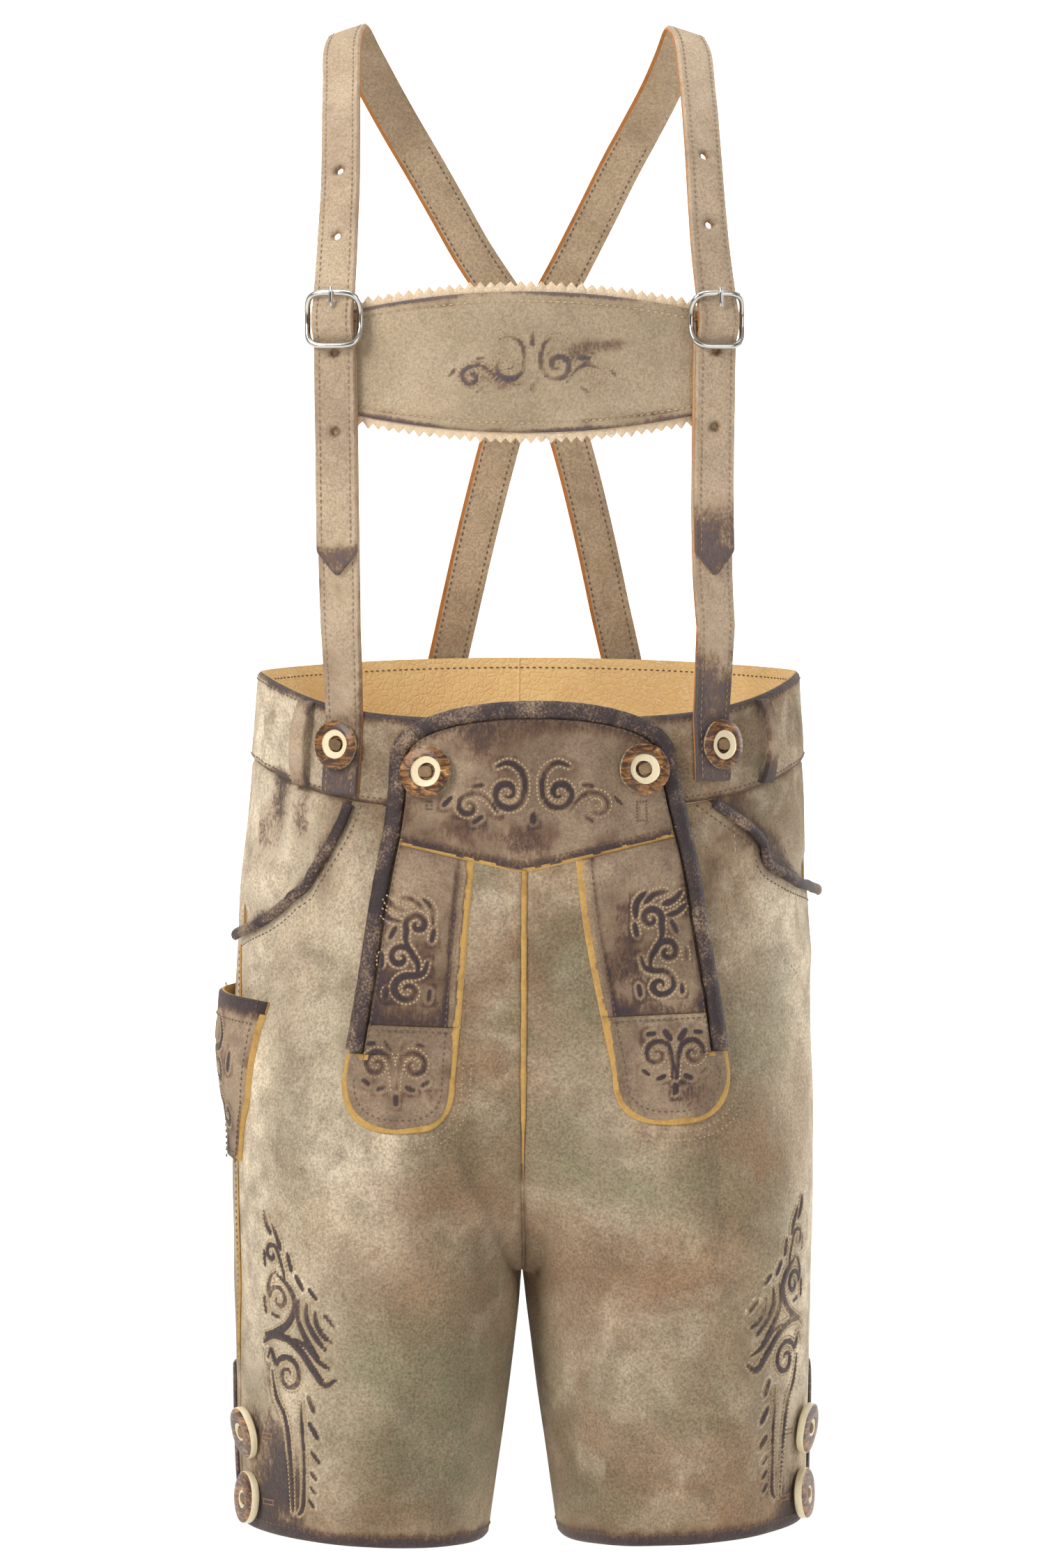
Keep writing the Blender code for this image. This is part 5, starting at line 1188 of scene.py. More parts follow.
PINKED_LEATHER = grain_leather("pinked_pale_leather", "#EBD3B2", "#DCBF9A", "#F4E6D0", 1.6)
HORN = polished_horn()
NICKEL = nickel_plate()
SEAM_THREAD = linen_thread("brown_seam_thread", "#7D6752", "#57463A")
PALE_THREAD = linen_thread("pale_ornament_thread", "#D9C29C", "#B3946C")
BRACE_THREAD = linen_thread("brace_thread", "#A8927A", "#8C765C")
PINK_THREAD = linen_thread("faded_pink_thread", "#B98E72", "#8E6650")
THONG = brushed_suede("leather_thong", "#8E7355", "#A3896A", "#6B543C", toned=False, nap=0.7)
SUEDE_SET = (BODY_SUEDE, LINING, RAW_EDGE)
TRIM_SET = (TRIM_SUEDE, LINING, RAW_EDGE)
BRACE_SET = (BRACE_SUEDE, BRACE_BACK, BRACE_EDGE)
BLACK_CARD = finish_off(*start("black_flocked_card")[:2], "#0B0B0C", None, Roughness=1.0)


# ---- trouser panels ------------------------------------------------------------------------------
def hem_wear(turn, height):
    """Dark waxed band along the hem: 1.2 exp(-(rise / 7.5)^2) of the rise above the hem."""
    rise = height - HEM_HEIGHT - hem_drop(turn, height)
    return 1.2 * hump(rise, 7.5)


def body_rub(turn, height, deep=FAR):
    """Dark wear of the trousers; deep is how far a place lies inside the leg's ornament."""
    fading = 0.8 + 0.3 * np.sin(height / 6.3 + 9 * turn)
    inked = fading * ease(deep / 0.8 + 0.5) - 0.8 * hump(deep + 1.0, 0.7)
    around = 0.20 * ease((deep + 7.0) / 6.0)
    return 0.85 * smudges(turn, height) + hem_wear(turn, height) + inked + around


FRONT_ROWS = 72            # rows of a front panel above the slit's foot
INNER_COLUMNS = 32         # its columns inside the slit
OUTER_COLUMNS = 98         # its columns outside the slit
YOKE_REACH = 62.0          # the way along the yoke's foot from its point to the slit


def edge_shares(side, count):
    """Shares of the height above the slit's foot: half by height, half by length of the outer edge."""
    height = np.linspace(-46.0, SLIT_FOOT, 500)
    turn = front_limit(side, height)
    run = np.concatenate([[0], np.cumsum(np.hypot(np.diff(turn) * AROUND, np.diff(height)))])
    share = (height - height[0]) / (height[-1] - height[0])
    return np.interp(np.linspace(0, 1, count), 0.5 * share + 0.5 * run / run[-1], share)[:, None]


def crowded(columns):
    """Shares from 0 to 1 that stand closer where the leg's ornament lies."""
    at = np.cumsum(np.where(np.abs(np.linspace(0, 1, columns) - 0.56) < 0.3, 1.0, 2.3))
    return ((at - at[0]) / (at[-1] - at[0]))[None, :]


def inside_slit(side, share, down, slit_turn):
    """Turns and heights of a front above the slit's foot, from the middle to the slit."""
    top = yoke_foot(YOKE_POINT[0] + side * share * YOKE_REACH) + YOKE_LAP
    height = top + (SLIT_FOOT - top) * down
    reach = side * turn_at(flap_across(height, side) - side * SLIT_INSET, height,
                           LEATHER + flap_lift(height))
    reach[-1] = slit_turn
    return HALF_SEAM + (reach - HALF_SEAM) * share, height


def outside_slit(side, share, down, slit_turn):
    """Turns and heights of a front above the slit's foot, from the slit to the pocket or the side seam.

    The top follows the turn and the turn follows the top: a first guess is settled in rounds.
    """
    turn = 0.6 + 0.9 * share + 0 * down
    for _ in range(12):
        top = band_foot(turn) - GAP
        height = top + (SLIT_FOOT - top) * down
        first_height = height[:, :1]
        tuck = -0.4 + (UNDERLAP + 0.4) * ease((first_height - SLIT_FOOT - 22) / 30)
        first = flap_across(first_height, side) - side * (SLIT_INSET + tuck)
        first = side * turn_at(first, first_height, LEATHER)
        first[-1] = slit_turn
        turn = first + (front_limit(side, height[:, -1:]) - first) * share
    return turn, height


def front_panel(side):
    """One front in a single sheet: the drop front's half inside the slit, the hip and pocket outside it."""
    upper = edge_shares(side, FRONT_ROWS)
    lower = np.concatenate([spread(SLIT_FOOT, SPRIG_TOP + 1.0, 1.9)[1:], spread(SPRIG_TOP, SPRIG_FOOT, 1.2),
                            spread(SPRIG_FOOT - 2.0, HEM_HEIGHT, 1.5)])[:, None]
    in_share, out_share = np.linspace(0, 1, INNER_COLUMNS)[None, :], crowded(OUTER_COLUMNS)
    edge = flap_across(SLIT_FOOT, side) - side * SLIT_INSET
    slit_turn = side * float(turn_at(edge, SLIT_FOOT, LEATHER))
    flap_turn, flap_height = inside_slit(side, in_share, upper, slit_turn)
    hip_turn, hip_height = outside_slit(side, out_share, upper, slit_turn)
    limit = front_limit(side, lower)
    split = slit_turn + (0.45 * limit - slit_turn) * ease((SLIT_FOOT - lower) / 120)
    low_in, low_out = HALF_SEAM + (split - HALF_SEAM) * in_share, split + (limit - split) * out_share
    flap_turn = side * np.concatenate([flap_turn, low_in])
    flap_height = np.concatenate([flap_height, lower + hem_drop(low_in, lower)])
    hip_turn = side * np.concatenate([hip_turn, low_out])
    hip_height = np.concatenate([hip_height, lower + hem_drop(low_out, lower)])
    deep = leg_depth(hip_turn, hip_height)
    puff = 0.9 * ease((deep + 0.5) / 1.6) - 0.35 * hump(deep + 1.2, 0.8)
    layers = []
    for out, puffed in ((LEATHER, puff), (0.0, 0.0)):
        flap = skin(flap_turn, flap_height, flap_lift(flap_height) + out, seams=True)
        hip = skin(hip_turn, hip_height, out + puffed, True)
        layers.append(np.concatenate([flap.reshape(-1, 3), hip.reshape(-1, 3)]))
    # Below the slit the inner half's last column and the outer half's first are one.
    rows, first_outer = len(flap_turn), flap_turn.size
    number = np.arange(len(layers[0]))
    joined = np.arange(FRONT_ROWS - 1, rows)
    number[first_outer + joined * OUTER_COLUMNS] = joined * INNER_COLUMNS + INNER_COLUMNS - 1
    cells = number[np.concatenate([grid_cells(rows, INNER_COLUMNS),
                                   grid_cells(rows, OUTER_COLUMNS, first_outer)])]
    turn = np.concatenate([flap_turn.ravel(), hip_turn.ravel()])
    height = np.concatenate([flap_height.ravel(), hip_height.ravel()])
    made = shell(SIDES[side] + "_front", layers[0], layers[1], cells, (BODY_SUEDE, LINING, BODY_SUEDE),
                 body_rub(turn, height, np.concatenate([np.full(flap_turn.size, FAR), deep.ravel()])),
                 patch_tones(turn, height), rim_rub=0.25, wear=2.0)
    place(made, "suede", "front_" + SIDES[side])


def panel(name, turn, height, low, high, finishes, slot, node, surface=skin, seams=False, **finish):
    """A sheet over a grid of turns and heights between two distances off the body."""
    made = shell(name, surface(turn, height, high, seams), surface(turn, height, low, seams),
                 grid_cells(*turn.shape), finishes, **finish)
    return place(made, slot, node)


def behind_seam(side, height, share):
    """Turns from the side seam to the back's centre at each row's height."""
    first = seam_turn(side, height[:, :1]) + HALF_SEAM
    return first + (math.pi - HALF_SEAM - first) * share


def back_panel(side):
    """One half of the seat and the back of its leg, from the waistband to the hem."""
    share, down = shares(78, 60)
    lower = spread(SLIT_FOOT, HEM_HEIGHT, 2.5)[1:, None]
    turn, low_turn = (1.6 + 1.5 * share + 0 * rows for rows in (down, lower))
    for _ in range(6):
        top = band_foot(turn) - GAP
        height = top + (SLIT_FOOT - top) * down
        low_height = lower + hem_drop(low_turn, lower)
        turn, low_turn = behind_seam(side, height, share), behind_seam(side, low_height, share)
    turn = side * np.concatenate([turn, low_turn])
    height = np.concatenate([height, low_height])
    made = panel(SIDES[side] + "_back", turn, height, 0.0, LEATHER, SUEDE_SET, "suede",
                 "back_" + SIDES[side], seams=True, rub=body_rub(turn, height),
                 tone=patch_tones(turn, height), rim_rub=0.2, wear=2.0)


FACING_DROP = 9.0          # the hip facing ends this far below the end of the pocket's opening


def hip_facing(side):
    """The piece behind the pocket opening: tucked under the front's edge, and level with the back panel."""
    share, down = shares(56, 50)
    foot = POCKET_FOOT[side] - FACING_DROP
    curve_height = np.linspace(-40, POCKET_FOOT[side], 240)
    curve_turn = np.minimum(pocket_turn(side, curve_height), seam_turn(side, curve_height))
    turn = 1.0 + 0 * share + 0 * down
    for _ in range(6):
        top = band_foot(turn) - GAP
        height = top + (foot - top) * down
        first = pocket_turn(side, np.maximum(height[:, :1], POCKET_FOOT[side] + 8.0)) - FACING_TUCK
        turn = first + (seam_turn(side, height[:, -1:]) - HALF_SEAM - first) * share
    flat = np.stack([turn.ravel() * 100.0, height.ravel(), 0 * turn.ravel()], 1)
    away = nearest(flat, np.stack([curve_turn * 100.0, curve_height, 0 * curve_turn], 1)).reshape(turn.shape)
    outside = (turn > pocket_turn(side, height)) & (height > POCKET_FOOT[side])
    out = -FACING_SINK * (1 - ease((np.where(outside, away, 0.0) - 9.5) / 11.0))
    near_edge = 0.8 * hump(away, 5.0) * outside
    made = panel(SIDES[side] + "_hip_facing", side * turn, height, out, out + LEATHER, SUEDE_SET, "suede",
                 "hip_facing_" + SIDES[side], rub=smudges(side * turn, height) + near_edge,
                 tone=patch_tones(side * turn, height), rim_rub=0.3, wear=2.0)


def band_skin(turn, height, out=0.0, seams=False):
    """The waistband's surface: the body's, with its own creases that die out at its two edges."""
    side = np.where(turn < 0, -1, 1)
    way = np.abs(turn)
    fine = bumps(side, way, height, BAND_CREASES, DEEPEN) + 0.45 * waviness(turn * 1.3, height * 1.6)
    in_band = ease((band_top(turn) - height) / 6.0) * ease(way / 0.1) * ease((math.pi - way) / 0.1)
    return body(turn, height, out + fine * in_band, seams)


def waistband(side):
    """One half of the waistband, worn dark along its two edges."""
    share, down = shares(190, 25)
    turn = 0.0006 + (math.pi - 0.0012) * share + 0 * down
    height = band_top(turn) - BAND_HEIGHT * down
    rise = height - band_foot(turn)
    wear = 1.25 * hump(BAND_HEIGHT - rise, 5.0) + 0.85 * hump(rise, 2.8)
    patchy = 0.75 + 0.35 * np.sin(turn * side * 9 + side) * np.sin(turn * 5.3)
    made = panel(SIDES[side] + "_waistband", side * turn, height, 0.0, BAND_THICKNESS, SUEDE_SET, "suede",
                 "waistband_" + SIDES[side], surface=band_skin,
                 rub=wear * patchy + 0.7 * smudges(side * turn, height),
                 tone=patch_tones(side * turn, height - 30), rim_rub=0.35, wear=1.6, bevel=1.5)


FLY_TOP = -58.0            # heights and half widths of the inner fly, and how far it lies to the right
FLY_HEIGHT = 138.0
FLY_HALF = 73.0
FLY_SPREAD = 24.0
FLY_SHIFT = 2.0


def inner_fly():
    """The piece behind the drop front, wider at its foot and sunk behind the fronts there."""
    share, down = shares(56, 40, first=-1)
    height = FLY_TOP - FLY_HEIGHT * down + 0 * share
    half = FLY_HALF + FLY_SPREAD * ease((-60 - height) / 125)
    inside = -GAP - FLY_SINK * ease((-110 - height) / 40)
    turn = turn_at(share * half - FLY_SHIFT, height, inside)
    made = panel("inner_fly", turn, height, inside - LEATHER, inside, SUEDE_SET, "suede", "fly_piece",
                 tone=patch_tones(turn, height))


# ---- drop front ----------------------------------------------------------------------------------
def trim_sheet(name, node, across, height, strokes, rub, swell=0.0, **finish):
    """A sheet of trim over the drop front, padded and worn dark over its ornament's strokes."""
    out = flap_lift(height) + LEATHER + GAP
    turn = turn_at(across, height, out + TRIM)
    puff = relief(strokes, across, height) + swell
    rub = rub + ink(strokes, across, height) * kept_ink(across, height)
    return panel(name, turn, height, out, out + TRIM + puff, TRIM_SET, "trim_suede", node, rub=rub, **finish)


def drop_yoke():
    """Top of the drop front: arched above and drawn to a low point at its foot, where its edge is raw."""
    share, down = shares(150, 82, first=-1)
    height = -60.0 + 0 * share + 0 * down
    for _ in range(5):
        right = flap_across(height, -1) + SLIT_INSET
        left = flap_across(height, 1) - SLIT_INSET
        across = (right + left) / 2 + (left - right) / 2 * np.sin(share * math.pi / 2)
        top = arch_height(across, SLIT_INSET)
        foot = yoke_foot(across)
        height = top + (foot - top) * down
    raw = np.where(height - foot < 3.5, 1.7 + 0.4 * np.sin(across / 5.3) * np.sin(across / 2.1 + 1), 0.0)
    # Darkened in a band just above the raw foot, partly dark wear and partly painted shadow along the yoke's
    # edge, and in a band under the arched top.
    dark = 0.62 * hump(height - foot - 2.0, 3.0) + 0.34 * hump(top - height, 7.0)
    dark = dark + blots(YOKE_CLOUDS, across, height)
    made = trim_sheet("drop_front_yoke", "flap_yoke", across, height, YOKE_ORNAMENT, dark, raw=raw,
                      rim_rub=0.2, bevel=1.3)


def strip_rub(side, across, height):
    """Dark wear of a strip: beside the binding, at its cross seam and over its ornament."""
    outer = flap_across(height, side) - side * SLIT_INSET
    above = height - STRIP_SEAM[side]
    return (0.40 * hump(across - outer, 4.0) + 0.6 * hump(above - 2, 7.0) * (above > 0)
            + blots(STRIP_CLOUDS, across, height))


def side_strip(side):
    """Strip of trim down one side of the drop front, from the yoke to its cross seam."""
    share, down = shares(76, 100)
    height = -120.0 + 0 * share + 0 * down
    for _ in range(5):
        inner = strip_inner(height, side)
        outer = flap_across(height, side) - side * SLIT_INSET
        across = inner + (outer - inner) * share
        top = yoke_foot(across) - GAP
        height = top + (STRIP_SEAM[side] + GAP / 2 - top) * down
    gap_in = np.abs(across - inner)
    raw = np.where(gap_in < 3.7, 3.1 + 0.5 * np.sin(height / 4.7) * np.sin(height / 1.9 + 2), 0.0)
    rub = strip_rub(side, across, height) * ease((gap_in - 3.0) / 4.0)
    rub = rub + 0.45 * hump(gap_in - 7.6, 1.5) - 0.35 * hump(gap_in - 4.6, 1.6)
    wrinkle = 0.45 * np.sin(height / 2.6 + across / 9) * hump(gap_in - 9, 6.0) * hump(height + 146, 16.0)
    made = trim_sheet("drop_front_strip_" + SIDES[side], "flap_strip_" + SIDES[side], across, height,
                      STRIP_ORNAMENT[side], rub, 0.35 * hump(gap_in - 3.2, 1.6) + wrinkle, raw=raw,
                      rim_rub=0.15, bevel=1.6)


STRIP_POWER = 2.6
FOOT_BESIDE = BINDING_FOOT - 1.2     # the strip's end lies beside the binding above this height


def strip_foot(side):
    """Rounded end of the strip: its width follows (1 - q^p)^(1/p) of the share q of the rounding."""
    round_top = STRIP_FOOT[side] + STRIP_ROUND
    above = spread(STRIP_SEAM[side] - GAP / 2, BINDING_FOOT - 1.1, 0.9)
    turned = round_top - STRIP_ROUND * np.sin(np.linspace(0, 1, 46) * math.pi / 2 * 0.995)
    below = spread(BINDING_FOOT - 1.4, round_top, 0.9)[:-1]
    height = np.concatenate([above, below, turned])[:, None]
    share = np.sin(np.linspace(-1, 1, 74) * math.pi / 2)[None, :]
    level = np.maximum(height, round_top)
    inner = strip_inner(level, side)
    outer = flap_across(level, side) - side * np.where(height > FOOT_BESIDE, SLIT_INSET, 0.4)
    q = np.clip((round_top - height) / STRIP_ROUND, 0, 1)
    across = (inner + outer) / 2 + (outer - inner) / 2 * (1 - q**STRIP_POWER) ** (1 / STRIP_POWER) * share
    height = height + 0 * share
    covered = (height > FOOT_BESIDE) & (np.abs(across - outer) < 4)
    covered = covered | (height > STRIP_SEAM[side] - 2.0) & (np.abs(across - inner) > 3.4)
    raw = np.where(covered, 0.0, 3.0 + 0.5 * np.sin(across / 4.1 + height / 5.3))
    made = trim_sheet("drop_front_foot_" + SIDES[side], "flap_strip_end_" + SIDES[side], across, height,
                      FOOT_ORNAMENT[side], blots(FOOT_CLOUDS, across, height), raw=raw, rim_rub=0.12,
                      bevel=1.6)


BINDING_STEP = 1.6         # way from ring to ring along the binding


def rolled_binding():
    """Rolled edge of the drop front, up one side, over the arch and down the other, with fine puckers."""
    inset = BINDING_WIDTH / 2
    side_heights = spread(BINDING_FOOT, ARCH_SHOULDER, BINDING_STEP)[:-1]
    arch_x = arch_places(inset, 190)
    across = np.concatenate([flap_across(side_heights, -1) + inset, arch_x,
                             (flap_across(side_heights, 1) - inset)[::-1]])
    height = np.concatenate([side_heights, arch_height(arch_x, inset), side_heights[::-1]])
    out = LEATHER + GAP + BINDING_DEPTH / 2 + flap_lift(height) * 0.30
    turn = turn_at(across, height, out)
    run = np.arange(len(across)) * BINDING_STEP
    pucker = 1 + 0.022 * np.sin(run / 1.9) * np.sin(run / 17) + 0.03 * np.sin(run / 23 + 1)
    made = tube("drop_front_binding", skin(turn, height, out), body_normal(turn, height),
                BINDING_WIDTH / 2 * pucker, BINDING_DEPTH / 2 * pucker, 20, DARK_LEATHER)
    place(made, "dark_leather", "flap_binding")


# ---- pockets, loops and tabs ---------------------------------------------------------------------
ROLL_WIDE = 2.7            # half the width and half the depth of the roll along a pocket's opening
ROLL_DEEP = 2.1


def pocket_roll(side):
    """Dark roll along the front pocket's opening; the left one is crumpled and stands off at its foot."""
    height = np.linspace(-45, POCKET_FOOT[side] + 0.6, 400)
    turn = np.minimum(pocket_turn(side, height), seam_turn(side, height) + 0.02)
    line = body(side * turn, height, 0.0)
    length = run_along(line)
    first = length[height < band_foot(turn) - GAP - 1.2][0]
    even = spread(first, length[-1], 1.2)
    height, turn = np.interp(even, length, height), np.interp(even, length, turn)
    flare = ease((even - even[-1] + 16) / 16) * (3.4 if side > 0 else 0.8)
    crumple = (0.30 if side > 0 else 0.12) * np.sin(even / 6.1 + side)
    out = LEATHER + GAP + ROLL_DEEP + flare + 0.5 * crumple
    made = tube("pocket_roll_" + SIDES[side], skin(side * turn, height + crumple, out),
                body_normal(side * turn, height), ROLL_WIDE + 0.12 * np.sin(even / 2.2), ROLL_DEEP, 14,
                DARK_LEATHER)
    place(made, "dark_leather", "pocket_piping_" + SIDES[side])


def knife_pocket():
    """Patch pocket for a knife, open at the top, that bulges by (1 - |share|^2.5) times a soft rise."""
    share, down = shares(66, 80, first=-1)
    height = KNIFE_POCKET_TOP + (KNIFE_POCKET_FOOT - KNIFE_POCKET_TOP) * down + 0 * share
    # The turn of the pocket's middle, found in rounds so that the middle lies at one depth.
    middle = 1.38 + 0 * height
    for _ in range(12):
        middle -= (body(-middle, height, LEATHER)[..., 1] - KNIFE_POCKET_DEPTH) / 110.0
    near = body(-(middle + 0.01), height, LEATHER) - body(-(middle - 0.01), height, LEATHER)
    speed = np.linalg.norm(near, axis=-1) / 0.02
    half = read_column(KNIFE_SHAPE, KNIFE_COLUMNS, "half_width", height)
    turn = middle + share * half / speed
    level = height
    height = height - 5.0 * (1 - share) / 2 * ease((height - KNIFE_POCKET_FOOT) / 84) + 2.0
    crown = (1 - np.abs(share) ** 2.5) * ease((level - KNIFE_POCKET_FOOT) / 60)
    out = LEATHER + GAP + KNIFE_POCKET_BULGE * crown
    from_top = KNIFE_POCKET_TOP - level
    rub = 0.95 * hump(from_top, 9.0, 4) + 0.4 * hump((1 - np.abs(share)) * half, 3.0)
    across = share * half
    rub = rub + ink(KNIFE_ORNAMENT, across, level) + blots(KNIFE_CLOUDS, across, level)
    raw = np.where(share < -0.5, 2.6, 0.0) * (level < KNIFE_POCKET_TOP - 6) + np.where(share > 0.8, 0.8, 0.0)
    made = panel("knife_pocket_patch", -turn, height, out,
                 out + KNIFE_POCKET_THICKNESS + relief(KNIFE_ORNAMENT, across, level), TRIM_SET,
                 "trim_suede", "knife_pocket", rub=rub, raw=raw, rim_rub=0.3, bevel=1.8)
    return turn, height, out


def hem_tab(side):
    """Dark tab at the side slit, rounded at its top: half width * sqrt(1 - (rise / rounding)^2)."""
    share, down = shares(24, 50, first=-1)
    height = HEM_TAB_TOP + (HEM_HEIGHT - HEM_TAB_TOP + 1.0) * down**1.3 + 0 * share
    rise = np.clip((height - HEM_TAB_TOP + HEM_TAB_ROUND[0]) / HEM_TAB_ROUND[1], 0, 1)
    turn = HEM_TAB_TURN + share * HEM_TAB_HALF * np.sqrt(np.clip(1 - rise**2, 0.02, 1))
    height = height + hem_drop(turn, height)
    made = panel("hem_tab_" + SIDES[side] + "_leather", side * turn, height, LEATHER + GAP,
                 LEATHER + GAP + TRIM, (DARK_LEATHER,) * 3, "dark_leather", "hem_tab_" + SIDES[side])


# ---- straps --------------------------------------------------------------------------------------
# Places of a strap's points across it, in half widths; its grooves run along two of them.
STRAP_COLUMNS = np.array([-1, -0.93, -0.83, -0.71, -0.59, -0.42, -0.21, 0, 0.21, 0.42, 0.59, 0.71, 0.83,
                          0.93, 1])
GROOVE_COLUMNS = (3, 11)
HOLE_REACH = 7.0           # the points within this way of a hole's middle make room for it
# The points of a strap's grooves that are sewn: below the buckle, above it, and inside at the back.
SEWN_BELOW = slice(0, 108)
SEWN_ABOVE = slice(8, None)
SEWN_BEHIND = slice(-260, -30)


def even_path(path, faces, step, *widths):
    """The path at even steps, with its facing directions and any widths carried along."""
    length = run_along(path)
    at = spread(0, length[-1], step)
    columns = np.concatenate([path, faces] + [np.asarray(width)[:, None] for width in widths], 1)
    even = carried(at, length, columns)
    return at, even[:, :3], even[:, 3:6], *even[:, 6:].T


def softened(values, reach):
    """Running mean over a few neighbours, the ends held."""
    padded = np.concatenate([values[:1]] * reach + [values] + [values[-1:]] * reach)
    total = np.cumsum(np.concatenate([padded[:1] * 0, padded]), axis=0)
    return (total[2 * reach + 1:] - total[:-2 * reach - 1]) / (2 * reach + 1)


def punched(hole, at, beside, along, dark, open_cell):
    """Points and wear of a strap with a hole: four cells left out, the points round them on an ellipse."""
    row, column = int(np.argmin(np.abs(at - hole))), beside.shape[1] // 2
    away = np.stack([beside, along - at[row]], -1)
    radius = np.hypot(away[..., 0], away[..., 1])
    ring = np.zeros(beside.shape, bool)
    ring[row - 1:row + 2, column - 1:column + 2] = True
    ring[row, column] = False
    angle = np.arctan2(away[..., 1], away[..., 0])
    edge = np.stack([HOLE[0] * np.cos(angle), HOLE[1] * np.sin(angle)], -1)
    pushed = away + edge * 0.22 * hump(radius - 3.2, 1.6)[..., None]
    away = np.where(ring[..., None], edge, pushed)
    close = radius < HOLE_REACH
    open_cell[row - 1:row + 1, column - 1:column + 1] = True
    return (np.where(close, away[..., 0], beside), np.where(close, away[..., 1] + at[row], along),
            dark + 0.45 * hump(radius - 1.9, 0.7))


def strap(name, slot, node, path, faces, half_width, thickness, rub, holes=(), finishes=BRACE_SET, step=1.3,
          groove=True, twist=0.0):
    """A strap along a path: point = path + across * t + face * (half thickness + 0.25 (1 - t^2)).

    The rub is a function that gives the dark wear at each length along the path; holes are places along it.
    """
    at, path, faces, half_width, thickness = even_path(path, faces, step, half_width, thickness)
    tangent = unit(np.gradient(path, axis=0))
    across = unit(np.cross(tangent, faces))
    face = np.cross(across, tangent)
    if twist:
        lean = twist * np.sin(math.pi * at / at[-1])[:, None]
        across, face = (across * np.cos(lean) + face * np.sin(lean),
                        face * np.cos(lean) - across * np.sin(lean))
    rows, columns = len(at), len(STRAP_COLUMNS)
    along = np.broadcast_to(at[:, None], (rows, columns)).copy()
    beside = half_width[:, None] * STRAP_COLUMNS[None, :]
    open_cell = np.zeros((rows - 1, columns - 1), bool)
    dark = np.zeros((rows, columns)) + rub(at)[:, None]
    for hole in holes:
        beside, along, dark = punched(hole, at, beside, along, dark, open_cell)
    middle, side_way, front = (carried(along, at, part) for part in (path, across, face))
    half = np.interp(along, at, thickness)[..., None] / 2
    pillow = 0.25 * (1 - STRAP_COLUMNS**2)[None, :, None] * np.minimum(half / 1.3, 1)
    if groove:
        pillow = pillow - 0.32 * np.isin(np.arange(columns), GROOVE_COLUMNS)[None, :, None]
    ripple = 0.14 * np.sin(along / 7.3)[..., None] * np.sin(along / 19 + 1)[..., None]
    outer = middle + side_way * beside[..., None] + front * (half + pillow + ripple)
    inner = middle + side_way * beside[..., None] - front * (half - ripple)
    cells = grid_cells(rows, columns)[~open_cell.ravel()]
    made = shell(name, outer, inner, cells, finishes, rub=dark, rim_rub=0.32, wear=1.1, bevel=0.8,
                 flesh_cut=cells[:, 0] % columns < 2 if groove else None)
    place(made, slot, node)
    lines = []
    for column in GROOVE_COLUMNS if groove else ():
        share = STRAP_COLUMNS[column]
        line = path + across * (half_width * share)[:, None] + face * (thickness / 2 + 0.05)[:, None]
        lines.append((line[2:-2], face[2:-2]))
    return lines


def lower_strap(side):
    """Front brace from the waistband's button up to its hook round the buckle's bar."""
    turn, foot = FRONT_ANCHOR[side]
    band_heights = spread(foot, float(band_top(turn)) - 1.0, 2.0)
    low = body(turn, band_heights, BAND_THICKNESS + GAP + BRACE / 2, folds=False)
    rise, rise_faces = front_run(side, spread(18.0, 162.0, 3.0))
    base, face = front_run(side, BUCKLE_HEIGHT)
    angle = np.linspace(0, math.pi, 13)[:, None]
    hook = base + face * HOOK_RADIUS * (1 - np.cos(angle)) + UP * HOOK_RADIUS * np.sin(angle)
    straight = np.concatenate([low, rise])
    straight_faces = np.concatenate([body_normal(turn, band_heights), rise_faces])
    path = np.concatenate([softened(straight, 2), [base - UP * 3.0], hook,
                           [base + face * 2 * HOOK_RADIUS - UP * 3.2]])
    faces = np.concatenate([softened(straight_faces, 2), [face], face * np.cos(angle) - UP * np.sin(angle),
                            [-face]])
    thickness = np.where(np.arange(len(path)) < len(path) - len(angle) - 2, BRACE, HOOK_THICKNESS)
    half_width = np.full(len(path), BRACE_HALF)
    strong, reach, power, weak = FOOT_WEAR[side]
    lines = strap("lower_strap_" + SIDES[side], "brace_leather", "lower_brace_" + SIDES[side], path,
                  square_up(path, faces), half_width, thickness,
                  rub=lambda at: strong * hump(at, reach, power) + weak * hump(at, 120.0, 4))
    return [(line[SEWN_BELOW], face[SEWN_BELOW]) for line, face in lines]


